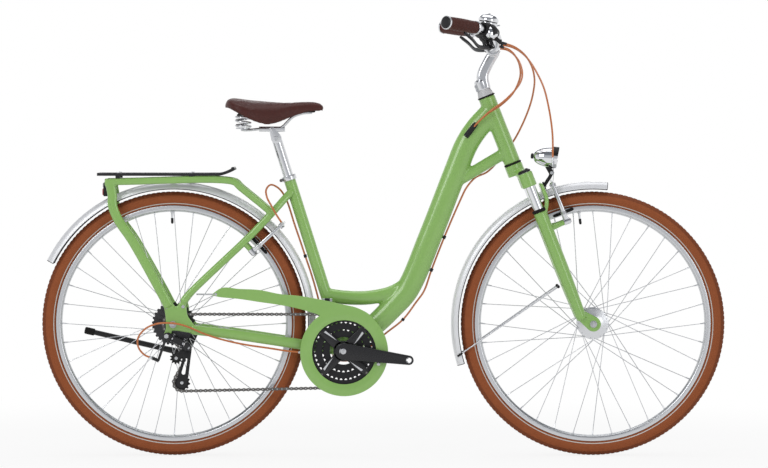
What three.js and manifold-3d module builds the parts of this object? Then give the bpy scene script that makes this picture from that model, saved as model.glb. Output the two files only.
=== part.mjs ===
// A step-through city bicycle with a sprung fork, a rear rack and rim brakes, as separate parts at rest.
// Millimetres. X points forward, Y to the rider's left, Z up. The origin is the middle of the crank axle.
import * as THREE from "three";
import { mergeVertices } from "three/addons/utils/BufferGeometryUtils.js";
import Module from "manifold-3d";

const wasm = await Module();
wasm.setup();

// Layout of the frame, in millimetres and degrees
const axleHeight = 71;
const rearCentre = 451;
const headTopReach = 379.8;
const headTopStack = 673;
const headTubeLength = 189;
const headAngle = 68.5;
const seatAngle = 72.4;
const seatTubeLength = 480;
const forkOffset = 42.5;
const clearance = 0.3;
const overrun = 5;
const weld = 0.001;

// Wheels
const tyreRadius = 351;
const tyreWidth = 40;
const tyreLipAngle = 150;
const rimInnerRadius = 297;
const rimWidth = 24;
const rimShoulder = 5;
const spokeRadius = 1;
const spokeHeadOffset = 2.6;
const spokesPerSide = 18;
const spokeCrossings = 3;
const wheelSteps = 36;
const axleRadius = 5;
const axleNutRadius = 9.4;
const axleNutLength = 8;
const axleTail = 5;

// Hubs: the front one holds the lamp's dynamo
const frontHubWidth = 100;
const frontShellRadius = 33;
const frontFlangeRadius = 42;
const frontFlangeSpread = 27;
const rearHubWidth = 135;
const rearShellRadius = 17;
const rearFlangeRadius = 25;
const rearFlangeLeft = 32;
const rearFlangeRight = 19;
const flangeThickness = 3.2;
const hubNeckRadius = 12;
const hubEndGap = 4;

// Drive
const chainPitch = 12.7;
const chainline = 56.7;
const ringTeeth = [48, 38, 28];
const ringSpacing = 7;
const sprocketTeeth = [11, 13, 15, 17, 19, 21, 24, 28];
const sprocketSpacing = 4.8;
const chosenSprocket = 1;
const toothThickness = 2;
const toothTip = 1;
const toothRoot = 3.6;
const chainInnerWidth = 3.2;
const chainOuterWidth = 6.4;
const chainInnerLinkWidth = 5.2;
const chainPlateHeight = 8.2;
const chainWaistHeight = 6.2;
const chainWeb = 0.9;
const crankLength = 175;
const crankAngle = -7.6;
const crankBossRadius = 22;
const crankEndRadius = 12.5;
const crankThickness = 13;
const crankInset = 69;
const crankFlare = 9;
const crankBossInner = 50;
const crankBossRise = 8;
const rivetRise = 1.2;
const pedalHoleRadius = 7;
const spindleRadius = 8;
const spindleReach = 66;
const spiderArms = 4;
const spiderFirstAngle = 47;
const spiderThickness = 4;
const spiderHubRadius = 27;
const spiderArmWidth = 20;
const rivetRadius = 4;
const ringBandWidth = 13;
const pulleyTeeth = 11;
const cassetteCoreRadius = 17;

// Frame tubes
const headTubeRadius = 22.5;
const headBoreRadius = 18;
const headCupDepth = 14;
const steererRadius = 14.3;
const mainTubeDepth = 63;
const mainTubeWidth = 46;
const mainTubeFootDepth = 54;
const gussetDepth = 31;
const gussetWidth = 28;
const gussetDrop = 34;
const lowTubeDepth = 38;
const lowTubeWidth = 32;
const lowTubeHeight = 146;
const seatTubeRadius = 16;
const seatPostRadius = 13.6;
const seatBoreDepth = 258;
const shellRadius = 21;
const shellWidth = 68;
const shellBoreRadius = 17;
const cupFlangeRadius = 20;
const cupFlange = 2.5;

// Stays, dropouts and the rack that is part of the frame
const stayDepth = 30;
const stayWidth = 15;
const stayFootDepth = 26;
const seatStayDepth = 20;
const seatStayWidth = 14;
const dropoutThickness = 8;
const dropoutEyeRadius = 17;
const rackRailHeight = 448;
const rackRailDepth = 18.6;
const rackRailWidth = 15;
const rackHalfWidth = 58;
const rackBack = 632;
const rackLegDepth = 26;
const bridgeRadius = 6;
const seatStaySpread = 36;
const chainStaySpread = 31;
const lampRodBehind = 612;
const lampRodHeight = 430;
const lampRodRadius = 5;
const hangerBoltRadius = 4;

// Rack platform
const platformTop = 472;
const platformThickness = 8;
const platformBack = 652;
const platformFlatFront = 325;
const platformTip = 288;
const platformTipTop = 488;
const platformHalfWidth = 64;
const platformBarWidth = 9;
const platformBars = 5;
const platformFeet = [597, 403];
const platformFootLength = 13;
const platformBendShare = 0.6;
const platformRiseShare = 0.45;

// Mudguards
const guardRadius = 377;
const guardSkirtRadius = 362;
const guardHalfWidth = 24;
const guardThickness = 1.5;
const frontGuardStart = 84;
const frontGuardEnd = 197.3;
const rearGuardStart = -10;
const rearGuardEnd = 153.5;
const stayWireRadius = 2;
const guardWireLeadAngle = 4;
const guardWireFoot = 93;
const guardWireSide = 46;
const guardWireHeight = 99;

// Fork
const stanchionForward = 18.8;
const legSpread = 58;
const stanchionRadius = 14.3;
const crownTop = 4;
const crownBossDrop = 34;
const crownBossRadius = 24;
const clampTop = 35;
const clampBottom = 74;
const clampRadius = 20;
const capRise = 8;
const stanchionEnd = 240;
const legTop = 138;
const legBoreEnd = 305;
const legRadius = 18;
const legFootRadius = 14;
const archForward = 49;
const archThickness = 11;
const archDepth = 22;
const crownArmDepth = 13;
const crownArmHeight = 12;
const capBrim = 3;
const sealHeight = 8;
const sealBrim = 1.5;
const legFoot = 452;
const dropoutLobeRadius = 20;

// Rim brakes, the same front and rear
const brakeArmLength = 110;
const brakeArmWidth = 12;
const brakeArmThickness = 8;
const brakeArmSpread = 39;
const brakeArmBulge = 5;
const brakePinRadius = 4;
const brakePinTail = 2;
const rearPostLength = 34;
const rearPostSpread = 44;
const brakeBossRadius = 8;
const brakeBossLength = 16;
const brakePadLength = 58;
const brakePadHeight = 9;
const brakePadThickness = 9;
const brakePadGap = 1.6;
const brakePadRise = 25;
const brakePivotForward = 77.5;
const brakePivotDrop = 196.3;
const rearPivotBehind = 242;
const rearPivotHeight = 262;
const bossPostRadius = 6.5;

// Stem, bar and grips
const barReach = 62.9;
const barHeight = 301.8;
const barRadius = 11;
const barClampRadius = 19;
const barClampWidth = 46;
const barHalfWidth = 300;
const barBackSweep = 131;
const barRise = 64;
const gripRadius = 17.3;
const gripPlug = 6;
const coneHeight = 20;
const coneFootRadius = 22;
const stemFootRadius = 17.5;
const stemNeckDepth = 15;
const stemNeckWidth = 13;
const steererRise = 40;
const stemCap = 6;
const stemBoltShares = [0.35, 0.72];
const stemBoltRadius = 5;
const gripInset = 0.02;
const leverEar = 4;
const leverPinRadius = 2.4;
const controlShare = 0.5;
const controlHalfWidth = 15;
const podNeckShare = 0.82;
const podForward = 10;
const podDrop = 8;
const cableAhead = 16.6;
const cableStartSide = 172;
const cableRise = 13;
const bellShare = 0.38;
const bellClampHalf = 6;
const bellClampWall = 5;
const bellRise = 26;
const bellNeckRadius = 6;
const clampSlack = 2;
const leverThickness = 7;
const leverWidth = 12;
const leverPivotRadius = 6;
const bellRadius = 25;
const bellHeight = 17;
const podRadius = 22;
const podThickness = 20;

// Lamps
const lampRadius = 28;
const lampLength = 74;
const lampTilt = 14;
const lampForward = 66;
const lampRise = 3;
const lampPivotForward = 38;
const lampPivotDrop = 27;
const lampLugWidth = 7;
const lampLugRadius = 7;
const lampEar = 4;
const lampPinRadius = 2.5;
const lampBracketWall = 4;
const lampBevelShare = 0.25;
const rearLampHeight = 37;
const rearLampDepth = 15;
const rearLampWidth = 44;
const rearLampBack = 641;
const rearLampFoot = 409;

// Seat
const saddleBack = 314;
const saddleFront = 54;
const railDropShare = 0.1833;
const saddleRise = 26;
const saddleHalfWidth = 98;
const postTop = 577;
const postInsert = 120;
const collarHeight = 13;
const collarRadius = 19.5;
const collarLugHalf = 11;
const collarLugRadius = 4.5;
const postHeadHalf = 17;
const clampAir = 4;
const clampMiddle = 190;
const clampHalfLength = 34;
const clampDepth = 14;
const clampCheek = 7;
const springSeatRadius = 12;
const noseLug = 9;
const skirtThickness = 6;
const lipAir = 0.2;
const railRadius = 3.5;
const springCoilRadius = 18;
const springWireRadius = 2.4;
const springTurns = 2.5;
const springHeight = 30;
const springPlace = 267;
const springDrop = 53;
const springSpread = 46;

// Chain guard
const guardRingRadius = 116.5;
const guardHoleRadius = 85;
const guardPlateThickness = 2.5;
const guardPlane = 64.5;
const guardRingForward = 2;
const guardRingDrop = 3;
const guardArmReach = 350;
const guardBracketWall = 3.4;
const guardBracketWidth = 20;
const guardBracketDrop = 20;
const guardWireLength = 46;

// Side stand, on the left
const standPivotBehind = 427;
const standPivotDrop = 16;
const standReach = 268;
const standRise = 62;
const standRadius = 8;
const standPlateGap = 2.75;
const standPlateThickness = 6;
const standKnuckleRadius = 11;
const standKnuckleWidth = 17;
const standPinRadius = 5;
const standMountBehind = 402;
const standMountHeight = 40;
const standSplay = 6;
const standTilt = 10.6;
const standFootShare = 0.93;
const standFootRadius = 9.5;

// Rear derailleur, on the right
const hangerBoltBehind = 467;
const hangerBoltHeight = 41;
const derailleurSlope = 25.2;
const linkOffset = 16.5;
const linkLength = 31;
const linkHeight = 18;
const linkWidth = 10;
const linkOverhang = 4.5;
const linkPinRadius = 3;
const linkPlane = 86;
const earThickness = 4;
const knuckleRadius = 9;
const cagePivotBehind = 410;
const cagePivotHeight = 10;
const cagePivotRadius = 8.5;
const cagePinRadius = 4;
const guideBehind = 443;
const guideDrop = 18.6;
const tensionBehind = 428;
const tensionDrop = 84;
const cagePlateThickness = 1.9;
const cagePlateGap = 3.8;
const cageEndRadius = 15;
const hangerThickness = 5;
const cableStopBehind = 503;
const cableStopDrop = 18;
const stopPlane = 83;
const stopBarrel = 17;
const stopArmRadius = 3.5;
const stopBarrelRadius = 4.5;

// Front derailleur
const changerHeight = 103.5;
const changerBandHeight = 11;
const changerPivotHeight = 135;
const changerPivotSide = 49;
const changerPivotLength = 26;
const changerCageLength = 62;
const changerCageTop = 118;
const changerOuterFoot = 101.8;
const changerInnerFoot = 92;
const changerPlateThickness = 1.2;
const changerCageGap = 4.8;
const changerBandWall = 3.5;
const changerArmRadius = 4;
const changerBarrelRadius = 5;
const changerPinRadius = 2.4;

// Cables: outer casings and the bent metal guides at the brakes
const casingRadius = 2.5;
const casingSides = 5;
// Cable points are written in parts of the tyre radius, 351 parts to it
const routePartShare = 1 / 351;
const routePart = tyreRadius * routePartShare;
const portStart = [346, -26, 595];
const portEnd = [329, -22, 573];
const portRadius = 6;

// Points where the main parts meet
const side = { right: -1, left: 1 };
const up = new THREE.Vector3(0, 0, 1);
const leftward = new THREE.Vector3(0, 1, 0);
const rad = THREE.MathUtils.degToRad;
const at = (x, y, z) => new THREE.Vector3(x, y, z);
const headDown = at(Math.cos(rad(headAngle)), 0, -Math.sin(rad(headAngle)));
const headForward = at(Math.sin(rad(headAngle)), 0, Math.cos(rad(headAngle)));
const headTop = at(headTopReach, 0, headTopStack);
const headFoot = headTop.clone().addScaledVector(headDown, headTubeLength);
const seatUp = at(-Math.cos(rad(seatAngle)), 0, Math.sin(rad(seatAngle)));
const onSeatTube = (height) => seatUp.clone().multiplyScalar(height / seatUp.z);
const rearAxle = at(-rearCentre, 0, axleHeight);
const forkLength = (headFoot.z + forkOffset * headForward.z - axleHeight) / -headDown.z;
const rightChainPlane = -chainline;

const green = { color: 0x96bb6c, roughness: 0.28, metalness: 0 };
const black = { color: 0x17181b, roughness: 0.42, metalness: 0 };
const darkSteel = { color: 0x2b2b2e, roughness: 0.4, metalness: 0.8 };
const silver = { color: 0xc9ccd2, roughness: 0.25, metalness: 0.9 };
const polished = { color: 0xdadde2, roughness: 0.12, metalness: 1 };
const tyreBrown = { color: 0x9a5430, roughness: 0.8, metalness: 0 };
const leather = { color: 0x4a2624, roughness: 0.5, metalness: 0 };
const orange = { color: 0xc96a2c, roughness: 0.35, metalness: 0 };
const red = { color: 0xb01a1c, roughness: 0.2, metalness: 0 };

const bicycle = new THREE.Group();
const rearWheel = new THREE.Group();
rearWheel.position.copy(rearAxle);
const steering = new THREE.Group();
steering.position.copy(headFoot);
steering.rotation.y = -rad(90 - headAngle);
const frontWheel = new THREE.Group();
frontWheel.position.set(forkOffset, 0, -forkLength);
const cockpit = new THREE.Group();
cockpit.position.set(barReach, 0, barHeight);
cockpit.rotation.y = rad(90 - headAngle);
const seatLine = new THREE.Group();
seatLine.rotation.y = -rad(90 - seatAngle);
steering.add(frontWheel, cockpit);
bicycle.add(rearWheel, steering, seatLine);

function add(group, name, geometry, finish) {
  const mesh = new THREE.Mesh(geometry, new THREE.MeshStandardMaterial(finish));
  mesh.name = name;
  group.add(mesh);
}

// Triangles with their corners merged, and their faces turned to point out
function closed(geometry) {
  const bare = geometry.index ? geometry.toNonIndexed() : geometry.clone();
  bare.deleteAttribute("normal");
  bare.deleteAttribute("uv");
  const merged = mergeVertices(bare, weld);
  const places = merged.attributes.position.array;
  const corners = Array.from(merged.index.array);
  const faces = [];
  let volume = 0;
  for (let i = 0; i < corners.length; i += 3) {
    const [a, b, c] = corners.slice(i, i + 3);
    if (a === b || b === c || c === a) continue;
    faces.push(a, b, c);
    const [p, q, r] = [a, b, c].map((k) => new THREE.Vector3().fromArray(places, k * 3));
    volume += p.dot(q.cross(r));
  }
  if (volume < 0) faces.reverse();
  merged.setIndex(faces);
  return merged;
}

function solid(geometry) {
  const mesh = closed(geometry);
  return new wasm.Manifold(
    new wasm.Mesh({
      numProp: 3,
      vertProperties: mesh.attributes.position.array,
      triVerts: new Uint32Array(mesh.index.array),
    }),
  );
}

function shown(body) {
  const mesh = body.getMesh();
  const geometry = new THREE.BufferGeometry();
  geometry.setAttribute("position", new THREE.BufferAttribute(mesh.vertProperties, mesh.numProp));
  geometry.setIndex(new THREE.BufferAttribute(mesh.triVerts, 1));
  return geometry;
}

const join = (...shapes) => shown(shapes.map(solid).reduce((all, one) => all.add(one)));
const cut = (shape, ...tools) =>
  shown(tools.map(solid).reduce((all, one) => all.subtract(one), solid(shape)));
const mirrored = (geometry) => closed(geometry.clone().scale(1, -1, 1));

// A skin over a row of rings; its ends are closed with fans, or the row meets itself as a loop
function skin(rings, loop = false) {
  const count = rings[0].length;
  const places = rings.flat().flatMap((p) => [p.x, p.y, p.z]);
  const faces = [];
  const spans = loop ? rings.length : rings.length - 1;
  for (let i = 0; i < spans; i++) {
    const here = i * count;
    const next = ((i + 1) % rings.length) * count;
    for (let j = 0; j < count; j++) {
      const k = (j + 1) % count;
      faces.push(here + j, here + k, next + k, here + j, next + k, next + j);
    }
  }
  const end = (rings.length - 1) * count;
  for (let j = 1; j < count - 1 && !loop; j++) {
    faces.push(0, j + 1, j, end, end + j, end + j + 1);
  }
  const geometry = new THREE.BufferGeometry();
  geometry.setAttribute("position", new THREE.Float32BufferAttribute(places, 3));
  geometry.setIndex(faces);
  return closed(geometry);
}

// A section carried along points. "across" keeps its first axis level; without it the section does not twist
function sweep(points, sectionAt, across, loop = false) {
  const last = points.length - 1;
  let held = null;
  const rings = points.map((point, i) => {
    const before = loop ? points[(i + last) % points.length] : points[Math.max(i - 1, 0)];
    const after = loop ? points[(i + 1) % points.length] : points[Math.min(i + 1, last)];
    const ahead = after.clone().sub(before).normalize();
    const guide = across ?? held ?? (Math.abs(ahead.y) < Math.SQRT1_2 ? leftward : up);
    const sideways = guide.clone().addScaledVector(ahead, -guide.dot(ahead)).normalize();
    const upward = new THREE.Vector3().crossVectors(ahead, sideways);
    held = sideways;
    return sectionAt(i / last, i).map(([a, b]) =>
      point.clone().addScaledVector(sideways, a).addScaledVector(upward, b),
    );
  });
  return skin(rings, loop);
}

// An ellipse of equal steps
const oval = (sides, a, b = a) =>
  Array.from({ length: sides }, (_, i) => {
    const turn = ((i + 0.5) / sides) * 2 * Math.PI;
    return [a * Math.cos(turn), b * Math.sin(turn)];
  });

// A rectangle with its corners cut by a share of the smaller half
function softBox(a, b, cornerShare = 0.4) {
  const c = Math.min(a, b) * cornerShare;
  return [[a, c - b], [a, b - c], [a - c, b], [c - a, b], [-a, b - c], [-a, c - b], [c - a, -b], [a - c, -b]];
}

const oblong = (a, b) => [[a, -b], [a, b], [-a, b], [-a, -b]];
const curveThrough = (points) => new THREE.CatmullRomCurve3(points, false, "centripetal");
const smooth = (points, steps) => curveThrough(points).getSpacedPoints(steps);
const mix = (a, b, share) => a + (b - a) * share;
const rod = (points, radius, sides = 8) => sweep(points, () => oval(sides, radius));
const rodBetween = (a, b, radius, sides = 8) => rod([a, b], radius, sides);

// A rod along Y between two sides
function crossRod(x, z, fromY, toY, radius, sides = 12) {
  return rodBetween(at(x, fromY, z), at(x, toY, z), radius, sides);
}

// A flat plate: its outline lies in the side view, and it runs from y to y + thickness
function plate(shape, y, thickness, curveSegments = 8) {
  const slab = new THREE.ExtrudeGeometry(shape, { depth: thickness, bevelEnabled: false, curveSegments });
  return closed(slab.rotateX(Math.PI / 2).translate(0, y + thickness, 0));
}

// The outline of two discs and the two straight edges that touch both
function linkOutline(x0, z0, r0, x1, z1, r1) {
  const way = Math.atan2(z1 - z0, x1 - x0);
  const lean = Math.acos((r0 - r1) / Math.hypot(x1 - x0, z1 - z0));
  const shape = new THREE.Shape();
  shape.absarc(x0, z0, r0, way + lean, way - lean + 2 * Math.PI, false);
  shape.absarc(x1, z1, r1, way - lean, way + lean, false);
  return shape;
}

function hole(shape, x, z, radius) {
  const path = new THREE.Path();
  path.absarc(x, z, radius, 0, 2 * Math.PI, true);
  shape.holes.push(path);
  return shape;
}

function polygon(points) {
  return new THREE.Shape(points.map(([x, z]) => new THREE.Vector2(x, z)));
}

function box(x0, x1, y0, y1, z0, z1) {
  const block = new THREE.BoxGeometry(x1 - x0, y1 - y0, z1 - z0);
  return closed(block.translate((x0 + x1) / 2, (y0 + y1) / 2, (z0 + z1) / 2));
}

// A shape turned about Y; its profile is radius and place along Y
function turned(profile, steps) {
  return closed(new THREE.LatheGeometry(profile.map(([r, y]) => new THREE.Vector2(r, y)), steps));
}

// A shape turned about Z
const turnedUp = (profile, steps) => turned(profile, steps).rotateX(Math.PI / 2);

function disc(radius, low, high, steps) {
  return turnedUp([[0, low], [radius, low], [radius, high], [0, high]], steps);
}

const pitchRadius = (teeth) => chainPitch / (2 * Math.sin(Math.PI / teeth));

// A toothed outline: each tooth is a tip between two roots, at shares of its own turn
function toothedOutline(teeth, tipShares, rootShares) {
  const points = [];
  const step = (2 * Math.PI) / teeth;
  const pitch = pitchRadius(teeth);
  for (let k = 0; k < teeth; k++) {
    for (const share of rootShares.slice(0, 1)) points.push([pitch - toothRoot, (k + share) * step]);
    for (const share of tipShares) points.push([pitch + toothTip, (k + share) * step]);
    for (const share of rootShares.slice(1)) points.push([pitch - toothRoot, (k + share) * step]);
  }
  return polygon(points.map(([r, turn]) => [r * Math.cos(turn), r * Math.sin(turn)]));
}
const plainToothShares = [[0], [-0.5]];

// Wheels
function tyre() {
  const middle = tyreRadius - tyreWidth / 2;
  const arc = [];
  const steps = 5;
  for (let i = 0; i <= steps; i++) {
    const turn = rad(mix(-tyreLipAngle, tyreLipAngle, i / steps));
    arc.push([middle + (tyreWidth / 2) * Math.cos(turn), (tyreWidth / 2) * Math.sin(turn)]);
  }
  return turned([...arc, arc[0]], wheelSteps);
}

const tyreSeatRadius = tyreRadius - tyreWidth / 2 + (tyreWidth / 2) * Math.cos(rad(tyreLipAngle));
const rimOuterRadius = tyreSeatRadius - clearance;

function rim() {
  const half = [
    [rimInnerRadius + rimShoulder, rimWidth / 2],
    [rimOuterRadius, rimWidth / 2],
  ];
  const other = half.map(([r, y]) => [r, -y]).reverse();
  return turned([[rimInnerRadius, 0], ...half, ...other, [rimInnerRadius, 0]], wheelSteps);
}

// Half of the spokes of a flange lead and half trail, so each crosses three others on its way to the rim.
// Each one ends at a corner of the ring of flats that makes the rim.
function lacing(flangeY, flangeRadius, firstShare) {
  const reach = rimInnerRadius - 1.5 * clearance;
  const step = (2 * Math.PI) / spokesPerSide;
  const head = flangeRadius - flangeThickness;
  const spokes = [];
  for (let i = 0; i < spokesPerSide; i++) {
    const way = i % 2 ? 1 : -1;
    const start = (i + firstShare) * step;
    const end = start + way * spokeCrossings * step;
    const from = at(head * Math.cos(start), flangeY + (way * spokeHeadOffset) / 2, head * Math.sin(start));
    const to = at(reach * Math.cos(end), 0, reach * Math.sin(end));
    spokes.push(sweep([from, to], () => oval(3, spokeRadius), leftward));
  }
  return spokes;
}

function hubShell(width, radius, flangeRadius, rightFlange, leftFlange, rightEnd) {
  const half = flangeThickness / 2;
  const bore = axleRadius + clearance;
  const leftEnd = width / 2 - hubEndGap;
  return turned([
    [bore, -rightEnd],
    [hubNeckRadius, -rightEnd],
    [hubNeckRadius, -rightFlange - half],
    [flangeRadius, -rightFlange - half],
    [flangeRadius, -rightFlange + half],
    [radius, -rightFlange + half],
    [radius, leftFlange - half],
    [flangeRadius, leftFlange - half],
    [flangeRadius, leftFlange + half],
    [hubNeckRadius, leftFlange + half],
    [hubNeckRadius, leftEnd],
    [bore, leftEnd],
    [bore, -rightEnd],
  ], 12);
}

function axle(hubWidth) {
  const face = hubWidth / 2 + dropoutThickness + clearance;
  const nut = (y) => crossRod(0, 0, y, y + Math.sign(y) * axleNutLength, axleNutRadius, 6);
  const end = face + axleNutLength + axleTail;
  return join(crossRod(0, 0, -end, end, axleRadius, 8), nut(-face), nut(face));
}

add(rearWheel, "rear_tyre", tyre(), tyreBrown);
add(rearWheel, "rear_rim", rim(), silver);
add(frontWheel, "front_tyre", tyre(), tyreBrown);
add(frontWheel, "front_rim", rim(), silver);
add(frontWheel, "front_hub", join(
  hubShell(frontHubWidth, frontShellRadius, frontFlangeRadius, frontFlangeSpread, frontFlangeSpread,
    frontHubWidth / 2 - hubEndGap),
  ...lacing(-frontFlangeSpread, frontFlangeRadius, 0),
  ...lacing(frontFlangeSpread, frontFlangeRadius, 0.5),
), silver);
add(frontWheel, "front_axle", axle(frontHubWidth), darkSteel);

const lastSprocket = sprocketTeeth.length - 1;
const sprocketPlane = (i) => rightChainPlane + (i - chosenSprocket) * sprocketSpacing;
const cassetteInnerEnd = sprocketPlane(lastSprocket) + toothThickness / 2;
add(rearWheel, "rear_hub", join(
  hubShell(rearHubWidth, rearShellRadius, rearFlangeRadius, rearFlangeRight, rearFlangeLeft,
    -cassetteInnerEnd - clearance),
  ...lacing(-rearFlangeRight, rearFlangeRadius, 0),
  ...lacing(rearFlangeLeft, rearFlangeRadius, 0.5),
), silver);
add(rearWheel, "rear_axle", axle(rearHubWidth), darkSteel);

// The sprockets share the freewheel body that they are splined to
function cassette() {
  const outerEnd = sprocketPlane(0) - toothThickness;
  const core = crossRod(0, 0, outerEnd, cassetteInnerEnd - toothThickness / 2, cassetteCoreRadius, 8);
  const discs = sprocketTeeth.map((teeth, i) =>
    plate(toothedOutline(teeth, ...plainToothShares), sprocketPlane(i) - toothThickness / 2, toothThickness));
  return cut(join(core, ...discs), crossRod(0, 0, -rearHubWidth, 0, axleRadius + 3 * clearance, 8));
}
add(rearWheel, "cassette", cassette(), darkSteel);

// Frame. Tube lines are shares of the reach and stack of the head tube
const mainTubeShares = [
  [0, 0], [0.241, 0.112], [0.335, 0.165], [0.448, 0.24], [0.611, 0.455], [0.785, 0.707], [0.861, 0.812],
  [0.94, 0.88], [1.032, 0.936],
];
const lowTubeShares = [[0, 0], [0.25, -0.03], [0.5, -0.03], [0.78, 0.03], [1, 0.16]];

function headTube() {
  const cup = steererRadius + 2 * clearance;
  const bore = [
    [0, -overrun], [cup, -overrun], [cup, headCupDepth], [headBoreRadius, headCupDepth],
    [headBoreRadius, headTubeLength - headCupDepth], [cup, headTubeLength - headCupDepth],
    [cup, headTubeLength + overrun], [0, headTubeLength + overrun],
  ];
  const wall = [[0, 0], [headTubeRadius, 0], [headTubeRadius, headTubeLength], [0, headTubeLength]];
  const placed = (profile) =>
    turnedUp(profile, 16).rotateY(steering.rotation.y).translate(headFoot.x, 0, headFoot.z);
  return { wall: placed(wall), bore: placed(bore) };
}

const mainTubeLine = smooth(mainTubeShares.map(([x, z]) => at(x * headTopReach, 0, z * headTopStack)), 18);
const seatTubeTop = seatUp.clone().multiplyScalar(seatTubeLength);
const lowTubeEnd = at(0.47 * headTopReach, 0, 0.235 * headTopStack);

function frameMain() {
  const main = sweep(mainTubeLine, (way) => {
    const depth = way < 0.3 ? mix(mainTubeFootDepth, mainTubeDepth, way / 0.3) : mainTubeDepth;
    return oval(10, mainTubeWidth / 2, depth / 2);
  }, leftward);
  const gussetStart = headFoot.clone().addScaledVector(headDown, -gussetDrop);
  const gussetEnd = mainTubeLine[Math.round(mainTubeLine.length * 0.7)];
  const gusset = sweep([gussetStart, gussetEnd], () => oval(8, gussetWidth / 2, gussetDepth / 2), leftward);
  const lowStart = onSeatTube(lowTubeHeight);
  const span = lowTubeEnd.clone().sub(lowStart);
  const lowLine = lowTubeShares.map(([way, rise]) =>
    at(lowStart.x + way * span.x, 0, lowStart.z + rise * span.x));
  const low = sweep(smooth(lowLine, 6), () => oval(8, lowTubeWidth / 2, lowTubeDepth / 2), leftward);
  const seatTube = rodBetween(at(0, 0, 0), seatTubeTop, seatTubeRadius, 12);
  const seatBore = rodBetween(
    seatUp.clone().multiplyScalar(seatTubeLength - seatBoreDepth),
    seatUp.clone().multiplyScalar(seatTubeLength + overrun),
    seatPostRadius + 3 * clearance, 12,
  );
  const shell = crossRod(0, 0, -shellWidth / 2, shellWidth / 2, shellRadius, 14);
  const shellBore = crossRod(0, 0, -shellWidth, shellWidth, shellBoreRadius, 14);
  const head = headTube();
  return cut(join(head.wall, main, gusset, low, seatTube, shell), head.bore, seatBore, shellBore);
}
add(bicycle, "frame_main", frameMain(), green);

const rearPoint = ([x, y, z], which = side.left) => at(x, which * y, z).multiplyScalar(rearCentre);
const rearRoute = (shares, which, steps) => smooth(shares.map((share) => rearPoint(share, which)), steps);

// Stays, rack legs and rack rails, as shares of the rear centre
const chainStayShares = [
  [-0.035, 0.058, 0.004], [-0.257, 0.084, 0.038], [-0.67, 0.129, 0.1], [-0.887, 0.1585, 0.126],
];
const seatStayShares = [
  [-0.942, 0.1585, 0.288], [-0.907, 0.155, 0.333], [-0.552, 0.093, 0.672], [-0.421, 0.08, 0.809],
  [-0.328, 0.036, 0.914], [-0.3, 0.03, 0.942],
];
const rackLegShares = [
  [-1.024, 0.164, 0.262], [-1.073, 0.166, 0.355], [-1.239, 0.146, 0.65], [-1.319, 0.135, 0.767],
  [-1.355, 0.131, 0.854], [-1.357, 0.1286, 0.92], [-1.37, 0.1286, 0.984],
];
const rackCurveShares = [
  [-0.64, 0.1286, 0.993], [-0.612, 0.126, 0.967], [-0.552, 0.115, 0.918], [-0.492, 0.1, 0.869],
  [-0.424, 0.084, 0.812],
];
const dropoutShares = [
  [0.35, -1], [0.82, -1], [3.06, -1.41], [3.53, -0.35], [2.24, 1.41], [2.12, 2.94], [1.18, 3.65],
  [0.47, 2.59], [-0.12, 3.53], [-1.41, 2.94], [-1.12, 0.94], [-1.12, -1], [-0.35, -1],
];
const dropoutInner = rearHubWidth / 2;
const bridgeReach = guardRadius + clearance + bridgeRadius;
const bridgeAngles = [rad(90), rad(49), rad(-8)];
const bridgeHalfSpans = [rackHalfWidth, seatStaySpread, chainStaySpread];

function dropout(which) {
  const outline = polygon(dropoutShares.map(([x, z]) =>
    [x * dropoutEyeRadius - rearCentre, z * dropoutEyeRadius + axleHeight]));
  const near = which === side.right ? -dropoutInner - dropoutThickness : dropoutInner;
  return plate(outline, near, dropoutThickness);
}

// A pin that carries a brake arm, in the brake's own frame: x along the pin, z up the arm
function brakePost(fromX, fromY, which) {
  const shoulder = brakeBossLength / 2 + clearance;
  const onPin = (x) => at(x, which * brakeArmSpread, 0);
  return join(
    rodBetween(at(fromX, which * fromY, 0), onPin(-shoulder * 2), bossPostRadius, 6),
    rodBetween(onPin(-shoulder * 2.5), onPin(-shoulder), bossPostRadius, 6),
    rodBetween(onPin(-shoulder * 2), onPin(shoulder + brakePinTail), brakePinRadius),
  );
}

const rearBrakeReach = at(rearCentre - rearPivotBehind, 0, rearPivotHeight - axleHeight);
const rearBrakeTurn = Math.atan2(rearBrakeReach.x, rearBrakeReach.z);
const inRearBrake = (geometry) =>
  geometry.clone().rotateY(rearBrakeTurn).translate(-rearPivotBehind, 0, rearPivotHeight);
const inFrontBrake = (geometry) => geometry.clone().translate(brakePivotForward, 0, -brakePivotDrop);

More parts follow.
